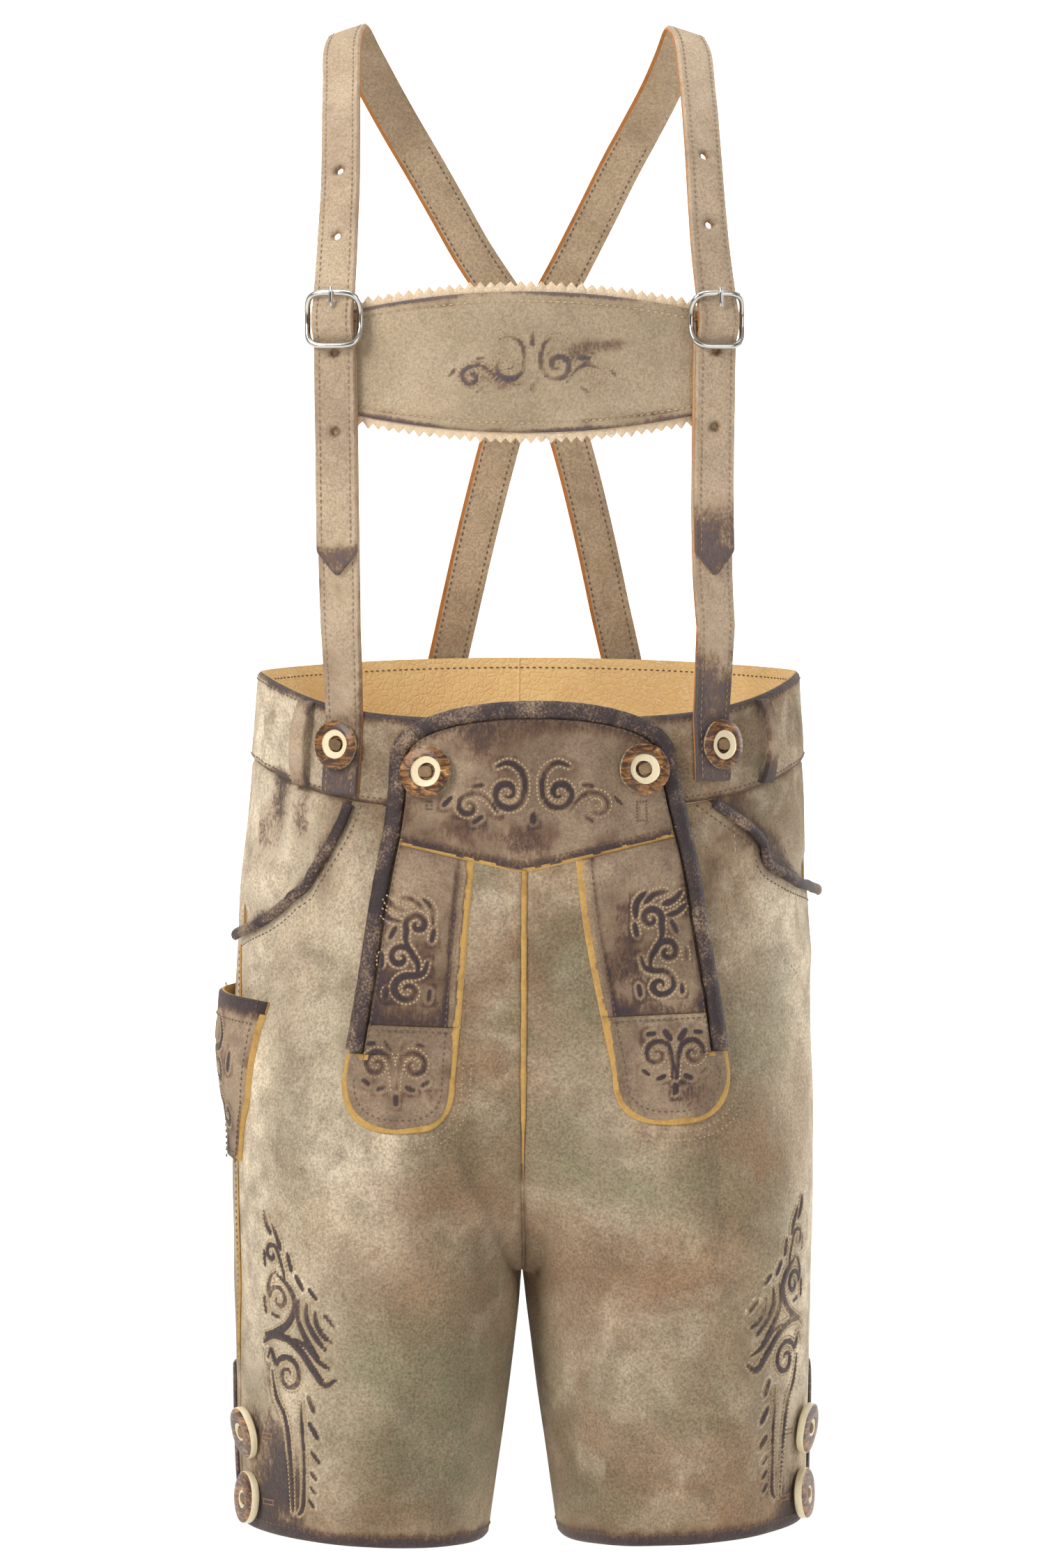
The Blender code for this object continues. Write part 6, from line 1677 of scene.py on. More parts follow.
def shoulder_strap(side):
    """From the pointed tail up through the buckle, over the shoulder and across to the other back button."""
    heights = np.concatenate([spread(TAIL_TIP, 150.0, 2.0), spread(151.0, 193.0, 1.2)])
    rise, rise_faces = front_run(side, heights)
    out = read_column(STANDOFF, STANDOFF_COLUMNS, "out", heights)
    line, line_faces = brace_line(side, step=3.0)
    top = int(np.argmax(line[:, 2]))
    rest = (line[:, 2] > heights[-1] + 2.0) | (np.arange(len(line)) > top)
    line, line_faces = line[rest], line_faces[rest]
    falling = np.arange(len(line)) > np.argmax(line[:, 2])
    stand = np.where(falling, 0.0, read_column(STANDOFF, STANDOFF_COLUMNS, "out", line[:, 2]))
    if side > 0:
        cross = ease((line[:, 2] - CROSS_LOW + 16) / 16) * ease((CROSS_HIGH + 16 - line[:, 2]) / 16)
        stand = stand + np.where(falling, cross * (BRACE + 2 * GAP), 0.0)
    band_height = np.linspace(-7.0, BACK_BRACE_FOOT, 20)
    anchor_turn = np.linspace(*BACK_ANCHOR[-side], len(band_height))
    low = body(anchor_turn, band_height, BAND_THICKNESS + GAP + BRACE / 2, folds=False)
    path = [rise + rise_faces * out[:, None], line + line_faces * stand[:, None], low]
    path = softened(np.concatenate(path), 2)
    faces = softened(np.concatenate([rise_faces, line_faces, body_normal(anchor_turn, band_height)]), 2)
    run = run_along(path)
    half_width = BRACE_HALF * np.clip(0.10 + 0.90 * run / 11.0, 0, 1)
    hole_runs = np.interp(STRAP_HOLES[side], path[:60 + len(heights), 2], run[:60 + len(heights)])

    def dark(at):
        return 0.72 * hump(at, TAIL_WEAR[side], 6) + 0.5 * hump(run[-1] - at, 40.0, 4)

    lines = strap("shoulder_strap_" + SIDES[side], "brace_leather", "shoulder_brace_" + SIDES[side], path,
                  square_up(path, faces), half_width, np.full(len(path), BRACE), rub=dark, holes=hole_runs)
    inside = [(line - face * (BRACE + 0.1), -face) for line, face in lines]
    return ([(line[SEWN_ABOVE], face[SEWN_ABOVE]) for line, face in lines]
            + [(line[SEWN_BEHIND], face[SEWN_BEHIND]) for line, face in inside])


def square_sides(count):
    """Places along each of the four sides of a square that reaches from -1 to 1, going round it."""
    corners = np.array([(-1, -1), (1, -1), (1, 1), (-1, 1), (-1, -1)], float)
    share = np.linspace(0, 1, count)[:, None]
    return [a + (b - a) * share for a, b in zip(corners, corners[1:])]


def lozenge(u, v, lift):
    """Places on the patch over the crossing, which narrows to its corners and is lifted off the back."""
    across = LOZENGE_MIDDLE[0] + LOZENGE_HALF[0] * u * (1 - 0.45 * v**2)
    height = LOZENGE_MIDDLE[1] + LOZENGE_HALF[1] * v * (1 - 0.35 * u**2)
    depth = (LOZENGE_DEPTH + BRACE * 1.5 + GAP * 2 + (LOZENGE_MIDDLE[1] - height) * 0.09
             - 0.0016 * (across - LOZENGE_MIDDLE[0]) ** 2 + lift)
    return np.stack([across, depth, height], -1)


def crossing_patch():
    """Lozenge over the braces where they cross on the back; gives the line of its stitches."""
    v, u = np.linspace(-1, 1, 44)[:, None], np.linspace(-1, 1, 38)[None, :]
    inner, outer = (lozenge(u, v, lift) for lift in LOZENGE_LIFTS)
    cells = grid_cells(44, 38)[:, ::-1]
    made = shell("crossing_lozenge", outer, inner, cells, BRACE_SET, rim_rub=0.7, wear=2.0)
    place(made, "brace_leather", "crossing_patch")
    u, v = (np.concatenate(square_sides(40)) * [0.84, 0.88]).T
    line = lozenge(u, v, LOZENGE_LIFTS[1] + 0.05)
    return [(line, np.broadcast_to([0.0, 1.0, 0.0], line.shape))]


def belt_loop(name, turn):
    """A strap sewn down above and below that bows off the waistband by LOOP_BOW * sin(pi s)^0.6."""
    dark = name == "front_left"
    s = np.linspace(0, 1, 40)
    top, foot = float(band_top(turn)) - 1.5, float(band_foot(turn)) + 1.0
    height = top + (foot - top) * s
    normals = np.broadcast_to(body_normal(turn, (top + foot) / 2), (len(s), 3))
    base = body(turn, height, BAND_THICKNESS + GAP + LOOP_THICKNESS / 2, folds=False)
    path = base + normals * (LOOP_BOW * np.sin(np.pi * s) ** 0.6)[:, None]
    return strap("belt_loop_strap_" + name, "trim_suede", "belt_loop_" + name, path,
                 square_up(path, normals), np.full(len(s), LOOP_HALF), np.full(len(s), LOOP_THICKNESS),
                 lambda at: (0.55 if dark else 0.2) + 0.35 * np.cos(at / at[-1] * 2 * math.pi),
                 finishes=(TRIM_SUEDE,) * 3 if dark else (BRACE_SUEDE,) * 3,
                 step=1.2, groove=False, twist=0.22 if dark else 0.05)


# ---- chest bar -----------------------------------------------------------------------------------
def bar_edges(across):
    """Top and foot of the chest bar at each place across."""
    bow = BAR_BOW * (across / BAR_SPAN) ** 2
    return BAR_TOP - bow, BAR_FOOT + bow


def chest_bar():
    """The bar across the chest, padded over its ornament and grooved under its stitches."""
    across = spread(-BAR_HALF, BAR_HALF, 1.35)[None, :] + np.zeros((54, 1))
    down = np.linspace(0, 1, 54)[:, None]
    top, foot = bar_edges(across)
    height = top + (foot - top) * down
    edge = np.minimum(top - height, height - foot)
    drift = (0.35 * np.sin(across / 21 + 0.5) * np.sin(height / 17)
             + 0.15 * np.sin(across / 9.0 + height / 11))
    groove = -0.3 * hump(edge - BAR_STITCH_INSET, 0.8)
    half = BAR_THICKNESS / 2 + 0 * across
    u, v = across, height - (BAR_TOP + BAR_FOOT) / 2
    rub = (0.80 * hump(edge, 2.2) * (0.8 + 0.4 * np.sin(across / 13)) + 0.5 * ink(BAR_ORNAMENT, u, v)
           + blots(BAR_CLOUDS, u, v) + 0.42 * hump(edge - BAR_STITCH_INSET, 0.8))
    swell = drift * ease(edge / 8) + groove + 0.6 * relief(BAR_ORNAMENT, u, v)
    outer = bar_point(across, height, half + swell)
    inner = bar_point(across, height, -half)
    made = shell("chest_bar_leather", outer, inner, grid_cells(*across.shape),
                 (BAR_SUEDE, LINING, DARK_LEATHER), rub=rub, rim_rub=0.2, wear=1.4)
    place(made, "chest_bar_suede", "chest_bar")


def pinked_backing():
    """Light leather behind the bar, whose edges rise and fall as a saw does from valley to tip."""
    span = (int(2 * (BAR_HALF - 7) / PINKED_PITCH)) * PINKED_PITCH / 2
    across = spread(-span, span, PINKED_PITCH / 8)[None, :]
    saw = np.abs((across / PINKED_PITCH) % 1 - 0.5) * 2
    reach = PINKED_REACH[0] + (PINKED_REACH[1] - PINKED_REACH[0]) * (1 - saw)
    reach = reach + 0.35 * np.sin(across / 3.7) * np.sin(across / 1.3)
    top, foot = bar_edges(across)
    down = np.array([0, 0.02, 0.045, 0.08, 0.3, 0.5, 0.7, 0.92, 0.955, 0.98, 1])[:, None]
    blend = np.clip(1 - np.minimum(down, 1 - down) / 0.08, 0, 1)
    height = top + (foot - top) * down + reach * blend * np.where(down < 0.5, 1, -1)
    curl = 0.5 * blend * np.sin(across / 6.1) * np.sin(across / 2.3)
    front = -BAR_THICKNESS / 2 - GAP + 0 * height
    outer = bar_point(across + 0 * height, height, front + curl)
    inner = bar_point(across + 0 * height, height, front - PINKED_THICKNESS + curl)
    made = shell("chest_bar_pinking", outer, inner, grid_cells(*height.shape),
                 (PINKED_LEATHER, PINKED_LEATHER, RAW_EDGE), rim_rub=0.6, wear=0.8, bevel=0.5)
    place(made, "pinked_leather", "chest_bar_backing")


# ---- buttons and buckles -------------------------------------------------------------------------
HORN_SEGMENTS = 56
FLAP_BUTTONS = ((-54.1, -46.0), (49.4, -45.0))              # place across and height
FRONT_BUTTONS = {-1: -0.742, 1: 0.712}                      # turn of each brace's button
FRONT_BUTTON_HEIGHT = -34.0
BACK_BUTTON_HEIGHT = -30.0
HEM_BUTTON_TURN = 1.353
HEM_BUTTON_HEIGHTS = {"upper": -372.0, "lower": -405.0}
FLAP_BUTTON, BRACE_BUTTON, HEM_BUTTON = 25.0, 23.5, 25.5    # diameters
HEM_BUTTON_LEAN = (-0.10, 0.07, -0.13, 0.10)                # how far each one's face leans up
THONG_HALF = (3.4, 2.7)
THONG_THICK = 2.4
BUCKLE_HALF = (13.0, 12.6)       # half width and half height of the frame's middle line
BUCKLE_WIRE = 1.45
BUCKLE_STAND = 7.6               # its top and foot stand this far off the brace's line
BUCKLE_BOW = 4.4                 # and its middle that much less
BUCKLE_BAR = 1.25
PRONG = ((6.4, 9.6), (8.6, 10.0), (12.6, 10.15), (15.2, 9.7))     # up and out from the buckle's centre
# Turned profile of a horn button, from its back round the rim to the edge of the central hole: radius and
# height in button radii, and how much of the pale core shows.
HORN_PROFILE = (
    (0.19, 0.02, 0.3), (0.60, 0.0, 0.3), (0.84, 0.10, 0.1), (0.95, 0.18, 0.4), (0.995, 0.25, 0.5),
    (1.0, 0.30, 0.5), (0.985, 0.345, 0.42), (0.965, 0.36, 0.2), (0.94, 0.37, 0.0), (0.86, 0.40, 0.0),
    (0.76, 0.435, 0.0), (0.66, 0.45, 0.0), (0.60, 0.45, 0.1), (0.575, 0.425, 0.9), (0.56, 0.40, 1.3),
    (0.50, 0.385, 1.3), (0.40, 0.38, 1.3), (0.345, 0.375, 1.2), (0.33, 0.35, 0.5), (0.325, 0.30, 0.1),
    (0.30, 0.26, 0.0), (0.20, 0.25, 0.0), (0.19, 0.18, 0.0),
)
# The hem's buttons are sawn thicker and keep their rind right up to a small hole.
HEM_PROFILE = (
    (0.19, 0.02, 0.3), (0.70, 0.0, 0.6), (0.93, 0.03, 1.3), (0.985, 0.08, 1.3), (1.0, 0.20, 1.3),
    (0.99, 0.30, 1.2), (0.97, 0.335, 0.6), (0.94, 0.355, 0.0), (0.86, 0.375, 0.0), (0.70, 0.40, 0.0),
    (0.50, 0.41, 0.0), (0.38, 0.405, 0.0), (0.34, 0.40, 0.6), (0.32, 0.385, 1.2), (0.25, 0.36, 1.2),
    (0.21, 0.33, 0.8), (0.19, 0.18, 0.0),
)


def horn_button(name, node, seat, normal, diameter, profile=HORN_PROFILE, phase=0.0, tilt=0.0):
    """A closed turned ring: radius and height follow the profile and waver as hand-sawn antler does."""
    side_way, up_way = face_on(normal)
    radius, rise, core = (np.array([row[i] for row in profile]) for i in range(3))
    angle = np.arange(HORN_SEGMENTS) * 2 * math.pi / HORN_SEGMENTS
    waver = 1 + 0.022 * np.sin(2 * angle + phase) + 0.010 * np.sin(5 * angle + 2 * phase)
    r = diameter / 2 * radius[:, None] * waver[None, :]
    lean = 1 + tilt * np.cos(angle + phase)[None, :]
    h = diameter / 2 * rise[:, None] * lean
    off = 0.10 * diameter / 2 * (1 - radius)[:, None]
    x, y = r * np.cos(angle) + off * math.cos(2 * phase), r * np.sin(angle) + off * math.sin(2 * phase)
    points = seat + normal * h[..., None] + side_way * x[..., None] + up_way * y[..., None]
    faces = ring_cells(*r.shape, closed=True)
    made = add_mesh(name, points.reshape(-1, 3), faces, np.zeros(len(faces)), [HORN],
                    {"core": np.repeat(core, HORN_SEGMENTS)}, sharp=40)
    return place(made, "horn", node)


def pillow(name, seat, normal, half_wide, half_tall, thick, finish, slot, spin=0.0, power=3.0):
    """A small rounded cushion: |x/a|^p + |y/b|^p + |z/c|^2 = 1, spun about its normal."""
    side_way, up_way = face_on(normal)
    side_way, up_way = (side_way * math.cos(spin) + up_way * math.sin(spin),
                        up_way * math.cos(spin) - side_way * math.sin(spin))
    sides, rings = 28, 11
    angle = np.arange(sides) * 2 * math.pi / sides
    tip = np.linspace(-math.pi / 2 * 0.96, math.pi / 2 * 0.96, rings)[:, None]
    c, s = np.cos(angle), np.sin(angle)
    x = half_wide * np.sign(c) * np.abs(c) ** (2 / power) * np.cos(tip)
    y = half_tall * np.sign(s) * np.abs(s) ** (2 / power) * np.cos(tip)
    z = thick / 2 * np.sin(tip) + 0 * x
    points = (seat + x[..., None] * side_way + y[..., None] * up_way + z[..., None] * normal).reshape(-1, 3)
    points, faces = capped(points, rings, sides, [seat - normal * thick / 2, seat + normal * thick / 2])
    made = add_mesh(name, points, faces, np.zeros(len(faces)), [finish], {"rub": np.full(len(points), 0.35)})
    return place(made, slot)


def buttons():
    """Horn buttons at the places of their solids, each with the thong that holds it."""
    flap_out = FLAP_LIFT + LEATHER + GAP + TRIM + GAP
    band_out = BAND_THICKNESS + GAP + BRACE + GAP
    places = []
    for side, (across, height) in zip(SIDES, FLAP_BUTTONS):
        turn = float(turn_at(across, height, flap_out))
        places.append(("flap_button_" + SIDES[side], turn, height, flap_out, FLAP_BUTTON))
    for side, turn in FRONT_BUTTONS.items():
        places.append(("brace_button_" + SIDES[side], turn, FRONT_BUTTON_HEIGHT, band_out, BRACE_BUTTON))
    for side in SIDES:
        turn = sum(BACK_ANCHOR[side]) / 2
        places.append(("back_button_" + SIDES[side], turn, BACK_BUTTON_HEIGHT, band_out, BRACE_BUTTON))
    for side in SIDES:
        for level, height in HEM_BUTTON_HEIGHTS.items():
            places.append(("hem_button_" + level + "_" + SIDES[side], side * HEM_BUTTON_TURN, height,
                           LEATHER + GAP, HEM_BUTTON))
    for number, (node, turn, height, out, diameter) in enumerate(places):
        seat, normal = body(turn, height, out, folds=out != band_out), body_normal(turn, height)
        at_hem = node.startswith("hem")
        if at_hem:
            normal = unit(normal + UP * HEM_BUTTON_LEAN[number % 4])
            seat = seat + normal * 0.5
        horn_button("horn_" + node, node, seat, normal, diameter, HEM_PROFILE if at_hem else HORN_PROFILE,
                    phase=1.7 * number, tilt=0.05)
        pillow("thong_" + node, seat + normal * diameter / 2 * 0.33, normal, *THONG_HALF, THONG_THICK, THONG,
               "brace_leather", spin=0.35 * math.sin(2.1 * number))


def wire(name, node, path, out, half_width, half_depth, sides, closed=False):
    """A piece of nickel wire along a path whose wide side faces out."""
    facing = np.broadcast_to(out, path.shape)
    place(tube(name, path, facing, half_width, half_depth, sides, NICKEL, closed=closed), "nickel", node)


def buckle(side):
    """Rounded square wire frame, bowed back at its middle, with a straight bar and a small prong."""
    centre, across, up, out = buckle_frame(side)
    angle = np.arange(120) * 2 * math.pi / 120
    x = BUCKLE_HALF[0] * np.sign(np.cos(angle)) * np.abs(np.cos(angle)) ** 0.5
    y = BUCKLE_HALF[1] * np.sign(np.sin(angle)) * np.abs(np.sin(angle)) ** 0.5
    keep = np.concatenate([[True], np.hypot(np.diff(x), np.diff(y)) > 0.05])
    x, y = x[keep], y[keep]
    stand = BUCKLE_STAND - BUCKLE_BOW * (1 - (y / BUCKLE_HALF[1]) ** 2)
    path = centre + x[:, None] * across + y[:, None] * up + stand[:, None] * out
    wire("buckle_wire_" + SIDES[side], "buckle_frame_" + SIDES[side], path, out, BUCKLE_WIRE, BUCKLE_WIRE,
         16, closed=True)
    reach = BUCKLE_HALF[0] - BUCKLE_WIRE - GAP - 0.05
    bar = centre + out * HOOK_RADIUS + across * np.linspace(-reach, reach, 24)[:, None]
    wire("buckle_middle_bar_" + SIDES[side], "buckle_bar_" + SIDES[side], bar, out, BUCKLE_BAR, BUCKLE_BAR,
         16)
    rows = curve(*PRONG, count=8)
    prong = centre + rows[:, :1] * up + rows[:, 1:] * out
    wire("buckle_tongue_" + SIDES[side], "buckle_prong_" + SIDES[side], prong, out, 1.0, 0.75, 14)


# ---- sewing --------------------------------------------------------------------------------------
def on_flap(across, height):
    """Points on top of the yoke or the strips, and the way they face."""
    across, height = np.broadcast_arrays(np.asarray(across, float), np.asarray(height, float))
    out = flap_lift(height) + LEATHER + GAP + TRIM
    turn = turn_at(across, height, out)
    return skin(turn, height, out), body_normal(turn, height)


def on_body(turn, height):
    """Points and facing directions on the leather's outer face."""
    turn, height = np.broadcast_arrays(np.asarray(turn, float), np.asarray(height, float))
    return skin(turn, height, LEATHER), body_normal(turn, height)


def on_band(turn, height, out=BAND_THICKNESS):
    """Points and facing directions on the waistband; its inner face is at out = 0."""
    facing = body_normal(turn, height)
    return band_skin(turn, height, out), facing if out > 0 else -facing


def on_leg(side, forwards, height):
    """The same by millimetres to the front of the leg ornament's middle."""
    return on_body(side * (LEG_TURN[side] - forwards / LEG_AROUND), height)


def beside_pocket(side, away):
    """A line on the front that keeps its distance from the pocket's opening."""
    height = spread(-56.0, POCKET_FOOT[side] + 1.0, 0.7)
    turn = np.minimum(pocket_turn(side, height), seam_turn(side, height))
    flat = np.stack([turn * POCKET_AROUND, height], 1)
    along = unit(np.gradient(flat, axis=0))
    line = flat + np.stack([along[:, 1], -along[:, 0]], 1) * away
    keep = line[:, 1] < band_foot(line[:, 0] / POCKET_AROUND) - 2.0
    return on_body(side * line[keep, 0] / POCKET_AROUND, line[keep, 1])


def band_seams():
    """Seams along the waistband's two edges, and one inside it."""
    lines = []
    for side in SIDES:
        turn = np.linspace(0.01, math.pi - 0.01, 300)
        for top_gap, out in ((3.4, BAND_THICKNESS), (BAND_HEIGHT - 3.0, BAND_THICKNESS), (5.0, 0.0)):
            lines.append(on_band(side * turn, band_top(turn) - top_gap, out))
    return lines


def body_seams():
    """Two rows at each side seam's pocket, the hem, and a row each side of the seam at the back."""
    lines = []
    for side in SIDES:
        lines.append(beside_pocket(side, 5.6))
        turn = np.linspace(0.03, math.pi - 0.03, 300)
        height = HEM_HEIGHT + 5.6 + hem_drop(turn, np.full(300, HEM_HEIGHT))
        lines.append(on_body(side * turn, height))
        height = spread(-58.0, -262.0, 3.0)
        lines.append(on_body(side * (math.pi - 3.6 / 95), height))
        height = spread(POCKET_FOOT[side] - 8.0, WELT_FOOT, 4.0)
        lines.append(on_body(side * (seam_turn(side, height) + 4.2 / 125), height))
    return lines


def pocket_bag_seams():
    """Where the pocket bags are caught behind: soft curves from the waistband to the side seam."""
    lines = []
    for side, first in ((-1, 0.78), (1, 0.80)):
        path = curve((first, -68.0), (first + 0.03, -100.0), (first + 0.22, -134.0), (1.34, -158.0),
                     count=20)
        lines.append(on_body(side * path[:, 0], path[:, 1]))
    return lines


def flap_seams():
    """Seams of the yoke, the side strips and the arched top."""
    lines = []
    across = spread(-68.0, 66.0, 3.0)
    lines.append(on_flap(across, yoke_foot(across) + 4.8))
    for side in SIDES:
        height = spread(-44.0, BINDING_FOOT + 1, 2.5)
        lines.append(on_flap(flap_across(height, side) - side * (SLIT_INSET + 1.0), height))
        height = spread(float(yoke_foot(side * 30.0)) - 2.0, STRIP_SEAM[side] + 1.0, 2.5)
        lines.append(on_flap(strip_inner(height, side) + side * 7.0, height))
        across = spread(float(strip_inner(STRIP_SEAM[side], side)) + side * 7.0,
                        float(flap_across(STRIP_SEAM[side], side)) - side * (SLIT_INSET + 1.0), 2.5)
        lines.append(on_flap(across, STRIP_SEAM[side] - 2.4 + 0 * across))
        lines.append(on_flap(*foot_line(side, 6.6)))
    across = arch_places(SLIT_INSET + 1.0, 120)
    lines.append(on_flap(across, arch_height(across, SLIT_INSET + 1.0)))
    return lines


def foot_line(side, inset):
    """A line a distance inside (or, negative, outside) the rounded end of a strip."""
    round_top = STRIP_FOOT[side] + STRIP_ROUND
    reach = STRIP_ROUND - inset
    q = np.linspace(0, 1, 40)
    drop = np.sin(q * math.pi / 2)
    inner = float(strip_inner(round_top, side)) + side * inset
    outer = float(flap_across(round_top, side)) - side * inset
    width = (outer - inner) / 2 * (1 - drop**2.6) ** (1 / 2.6)
    middle = (inner + outer) / 2
    start_height = spread(STRIP_SEAM[side] - 4.0, round_top, 3.0)[:-1]
    up_inner = strip_inner(start_height, side) + side * inset
    across = np.concatenate([up_inner, middle - width, (middle + width)[::-1][1:]])
    height = np.concatenate([start_height, round_top - reach * drop, (round_top - reach * drop)[::-1][1:]])
    return across, height


def needle_marks():
    """Rows of old needle holes in the front, outside the strips' ends."""
    lines = []
    for side in SIDES:
        for away in (3.2, 7.4):
            across, height = foot_line(side, -away)
            keep = height < -172.0
            turn = turn_at(across[keep], height[keep], LEATHER)
            lines.append(on_body(turn, height[keep]))
    return lines


def bar_seams():
    """Seams along the chest bar's two edges."""
    across = np.linspace(-BAR_HALF + 4, BAR_HALF - 4, 200)
    top, foot = bar_edges(across)
    facing = bar_point(across, top, np.ones(200)) - bar_point(across, top, np.zeros(200))
    out = np.full(200, BAR_THICKNESS / 2 - 0.1)
    return [(bar_point(across, top - BAR_STITCH_INSET, out), facing),
            (bar_point(across, foot + BAR_STITCH_INSET, out), facing)]


def on_bar(across, up):
    """Points and facing directions on the chest bar, measured from its middle."""
    height = up + (BAR_TOP + BAR_FOOT) / 2
    out = np.full(len(across), BAR_THICKNESS / 2)
    point = bar_point(across, height, out)
    return point, bar_point(across, height, out + 1) - point


def knife_seams(turn, height, out):
    """Rows round the knife pocket, 4 mm inside its edges and under its top band."""
    facing = body_normal(-turn, height)
    points = skin(-turn, height, out + KNIFE_POCKET_THICKNESS + 0.1)
    inset = int(turn.shape[1] * 0.07)
    lines = [(points[:, column], facing[:, column]) for column in (inset, -inset - 1)]
    return lines + [(points[row, inset:-inset], facing[row, inset:-inset]) for row in (11, -5)]


def on_knife_pocket(grid, across, level):
    """Points on the knife pocket at places in its own plane, found in the grid it was made from."""
    turn, height, out = grid
    share = np.linspace(-1, 1, turn.shape[1])
    half = read_column(KNIFE_SHAPE, KNIFE_COLUMNS, "half_width", level)
    column = np.interp(across / half, share, np.arange(turn.shape[1]))
    row = (level - KNIFE_POCKET_TOP) / (KNIFE_POCKET_FOOT - KNIFE_POCKET_TOP) * (turn.shape[0] - 1)
    i, j = (np.clip(np.round(place_at).astype(int), 0, count - 1)
            for place_at, count in zip((row, column), turn.shape))
    points = skin(-turn[i, j], height[i, j], out[i, j] + KNIFE_POCKET_THICKNESS)
    return points, body_normal(-turn[i, j], height[i, j])


def buttonhole(place_on, across, height, wide, tall):
    """Close rows of thread round a slit."""
    return [place_on(across + wide / 2 * edge[:, 0], height + tall / 2 * edge[:, 1])
            for edge in square_sides(8)]


def leg_place(side):
    """The way onto one leg, as the ornaments' stitches need it."""
    return lambda forwards, height: on_leg(side, forwards, height)


def sewing(strap_lines, knife_grid):
    """All of the thread: seams in brown, the ornaments' outlines in pale thread."""
    stitches("waistband_stitches", band_seams(), SEAM_THREAD, "suede", pitch=3.2)
    stitches("trouser_stitches", body_seams(), SEAM_THREAD, "suede", pitch=3.2)
    stitches("pocket_bag_stitches", pocket_bag_seams(), PALE_THREAD, "suede", pitch=3.4, thick=0.34)
    stitches("drop_front_stitches", flap_seams(), SEAM_THREAD, "trim_suede", pitch=3.0)
    behind = [line for line in strap_lines if line[0][0, 1] > 0 and line[1][0, 1] < 0]
    shown = [line for line in strap_lines if line[0][0, 1] <= 0 or line[1][0, 1] >= 0]
    stitches("strap_stitches", shown, BRACE_THREAD, "brace_leather", pitch=3.2, thick=0.36)
    stitches("strap_back_stitches", behind, SEAM_THREAD, "brace_leather", pitch=3.2, thick=0.42)
    stitches("chest_bar_stitches", bar_seams(), PALE_THREAD, "chest_bar_suede", pitch=3.4)
    stitches("knife_pocket_stitches", knife_seams(*knife_grid), SEAM_THREAD, "trim_suede", pitch=3.0)
    stitches("old_needle_marks", needle_marks(), PALE_THREAD, "suede", pitch=2.6, share=0.45, thick=0.36)
    drawn = [(YOKE_ORNAMENT, on_flap), (FOOT_ORNAMENT[-1], on_flap), (FOOT_ORNAMENT[1], on_flap),
             (STRIP_ORNAMENT[-1], on_flap), (STRIP_ORNAMENT[1], on_flap), (LEG_ORNAMENT[-1], leg_place(-1)),
             (LEG_ORNAMENT[1], leg_place(1)),
             (KNIFE_ORNAMENT, lambda across, level: on_knife_pocket(knife_grid, across, level))]
    lines = [place_on(line[:, 0], line[:, 1]) for strokes, place_on in drawn for line in outlines(strokes)]
    stitches("ornament_stitches", lines, PALE_THREAD, "trim_suede", pitch=2.0, share=0.72, thick=0.42)
    lines = [on_bar(line[:, 0], line[:, 1]) for line in outlines(BAR_ORNAMENT, 0.7)]
    stitches("chest_bar_ornament_stitches", lines, PINK_THREAD, "chest_bar_suede", pitch=2.1, share=0.5,
             thick=0.3)
    holes = []
    for across, height, wide, tall in ((-53.2, -62.0, 2.4, 3.6), (49.0, -65.0, 4.6, 9.0)):
        holes += buttonhole(on_flap, across, height, wide, tall)
    stitches("buttonhole_stitches", holes, SEAM_THREAD, "trim_suede", pitch=1.5, share=0.9, thick=0.5)
    bars = []
    for side in SIDES:
        for height in HEM_BUTTON_HEIGHTS.values():
            bars += buttonhole(on_body, side * 1.235, height, 0.055, 2.2)
    stitches("hem_buttonhole_stitches", bars, PINK_THREAD, "suede", pitch=1.4, share=0.9, thick=0.42)


# ---- welts ---------------------------------------------------------------------------------------
def bead(name, line, facing, size, sides, finish, rub=None):
    """A raised edge or seam along a line; its size is its half width and half depth."""
    place(tube(name, line, facing, *size, sides, finish, rub), "suede")


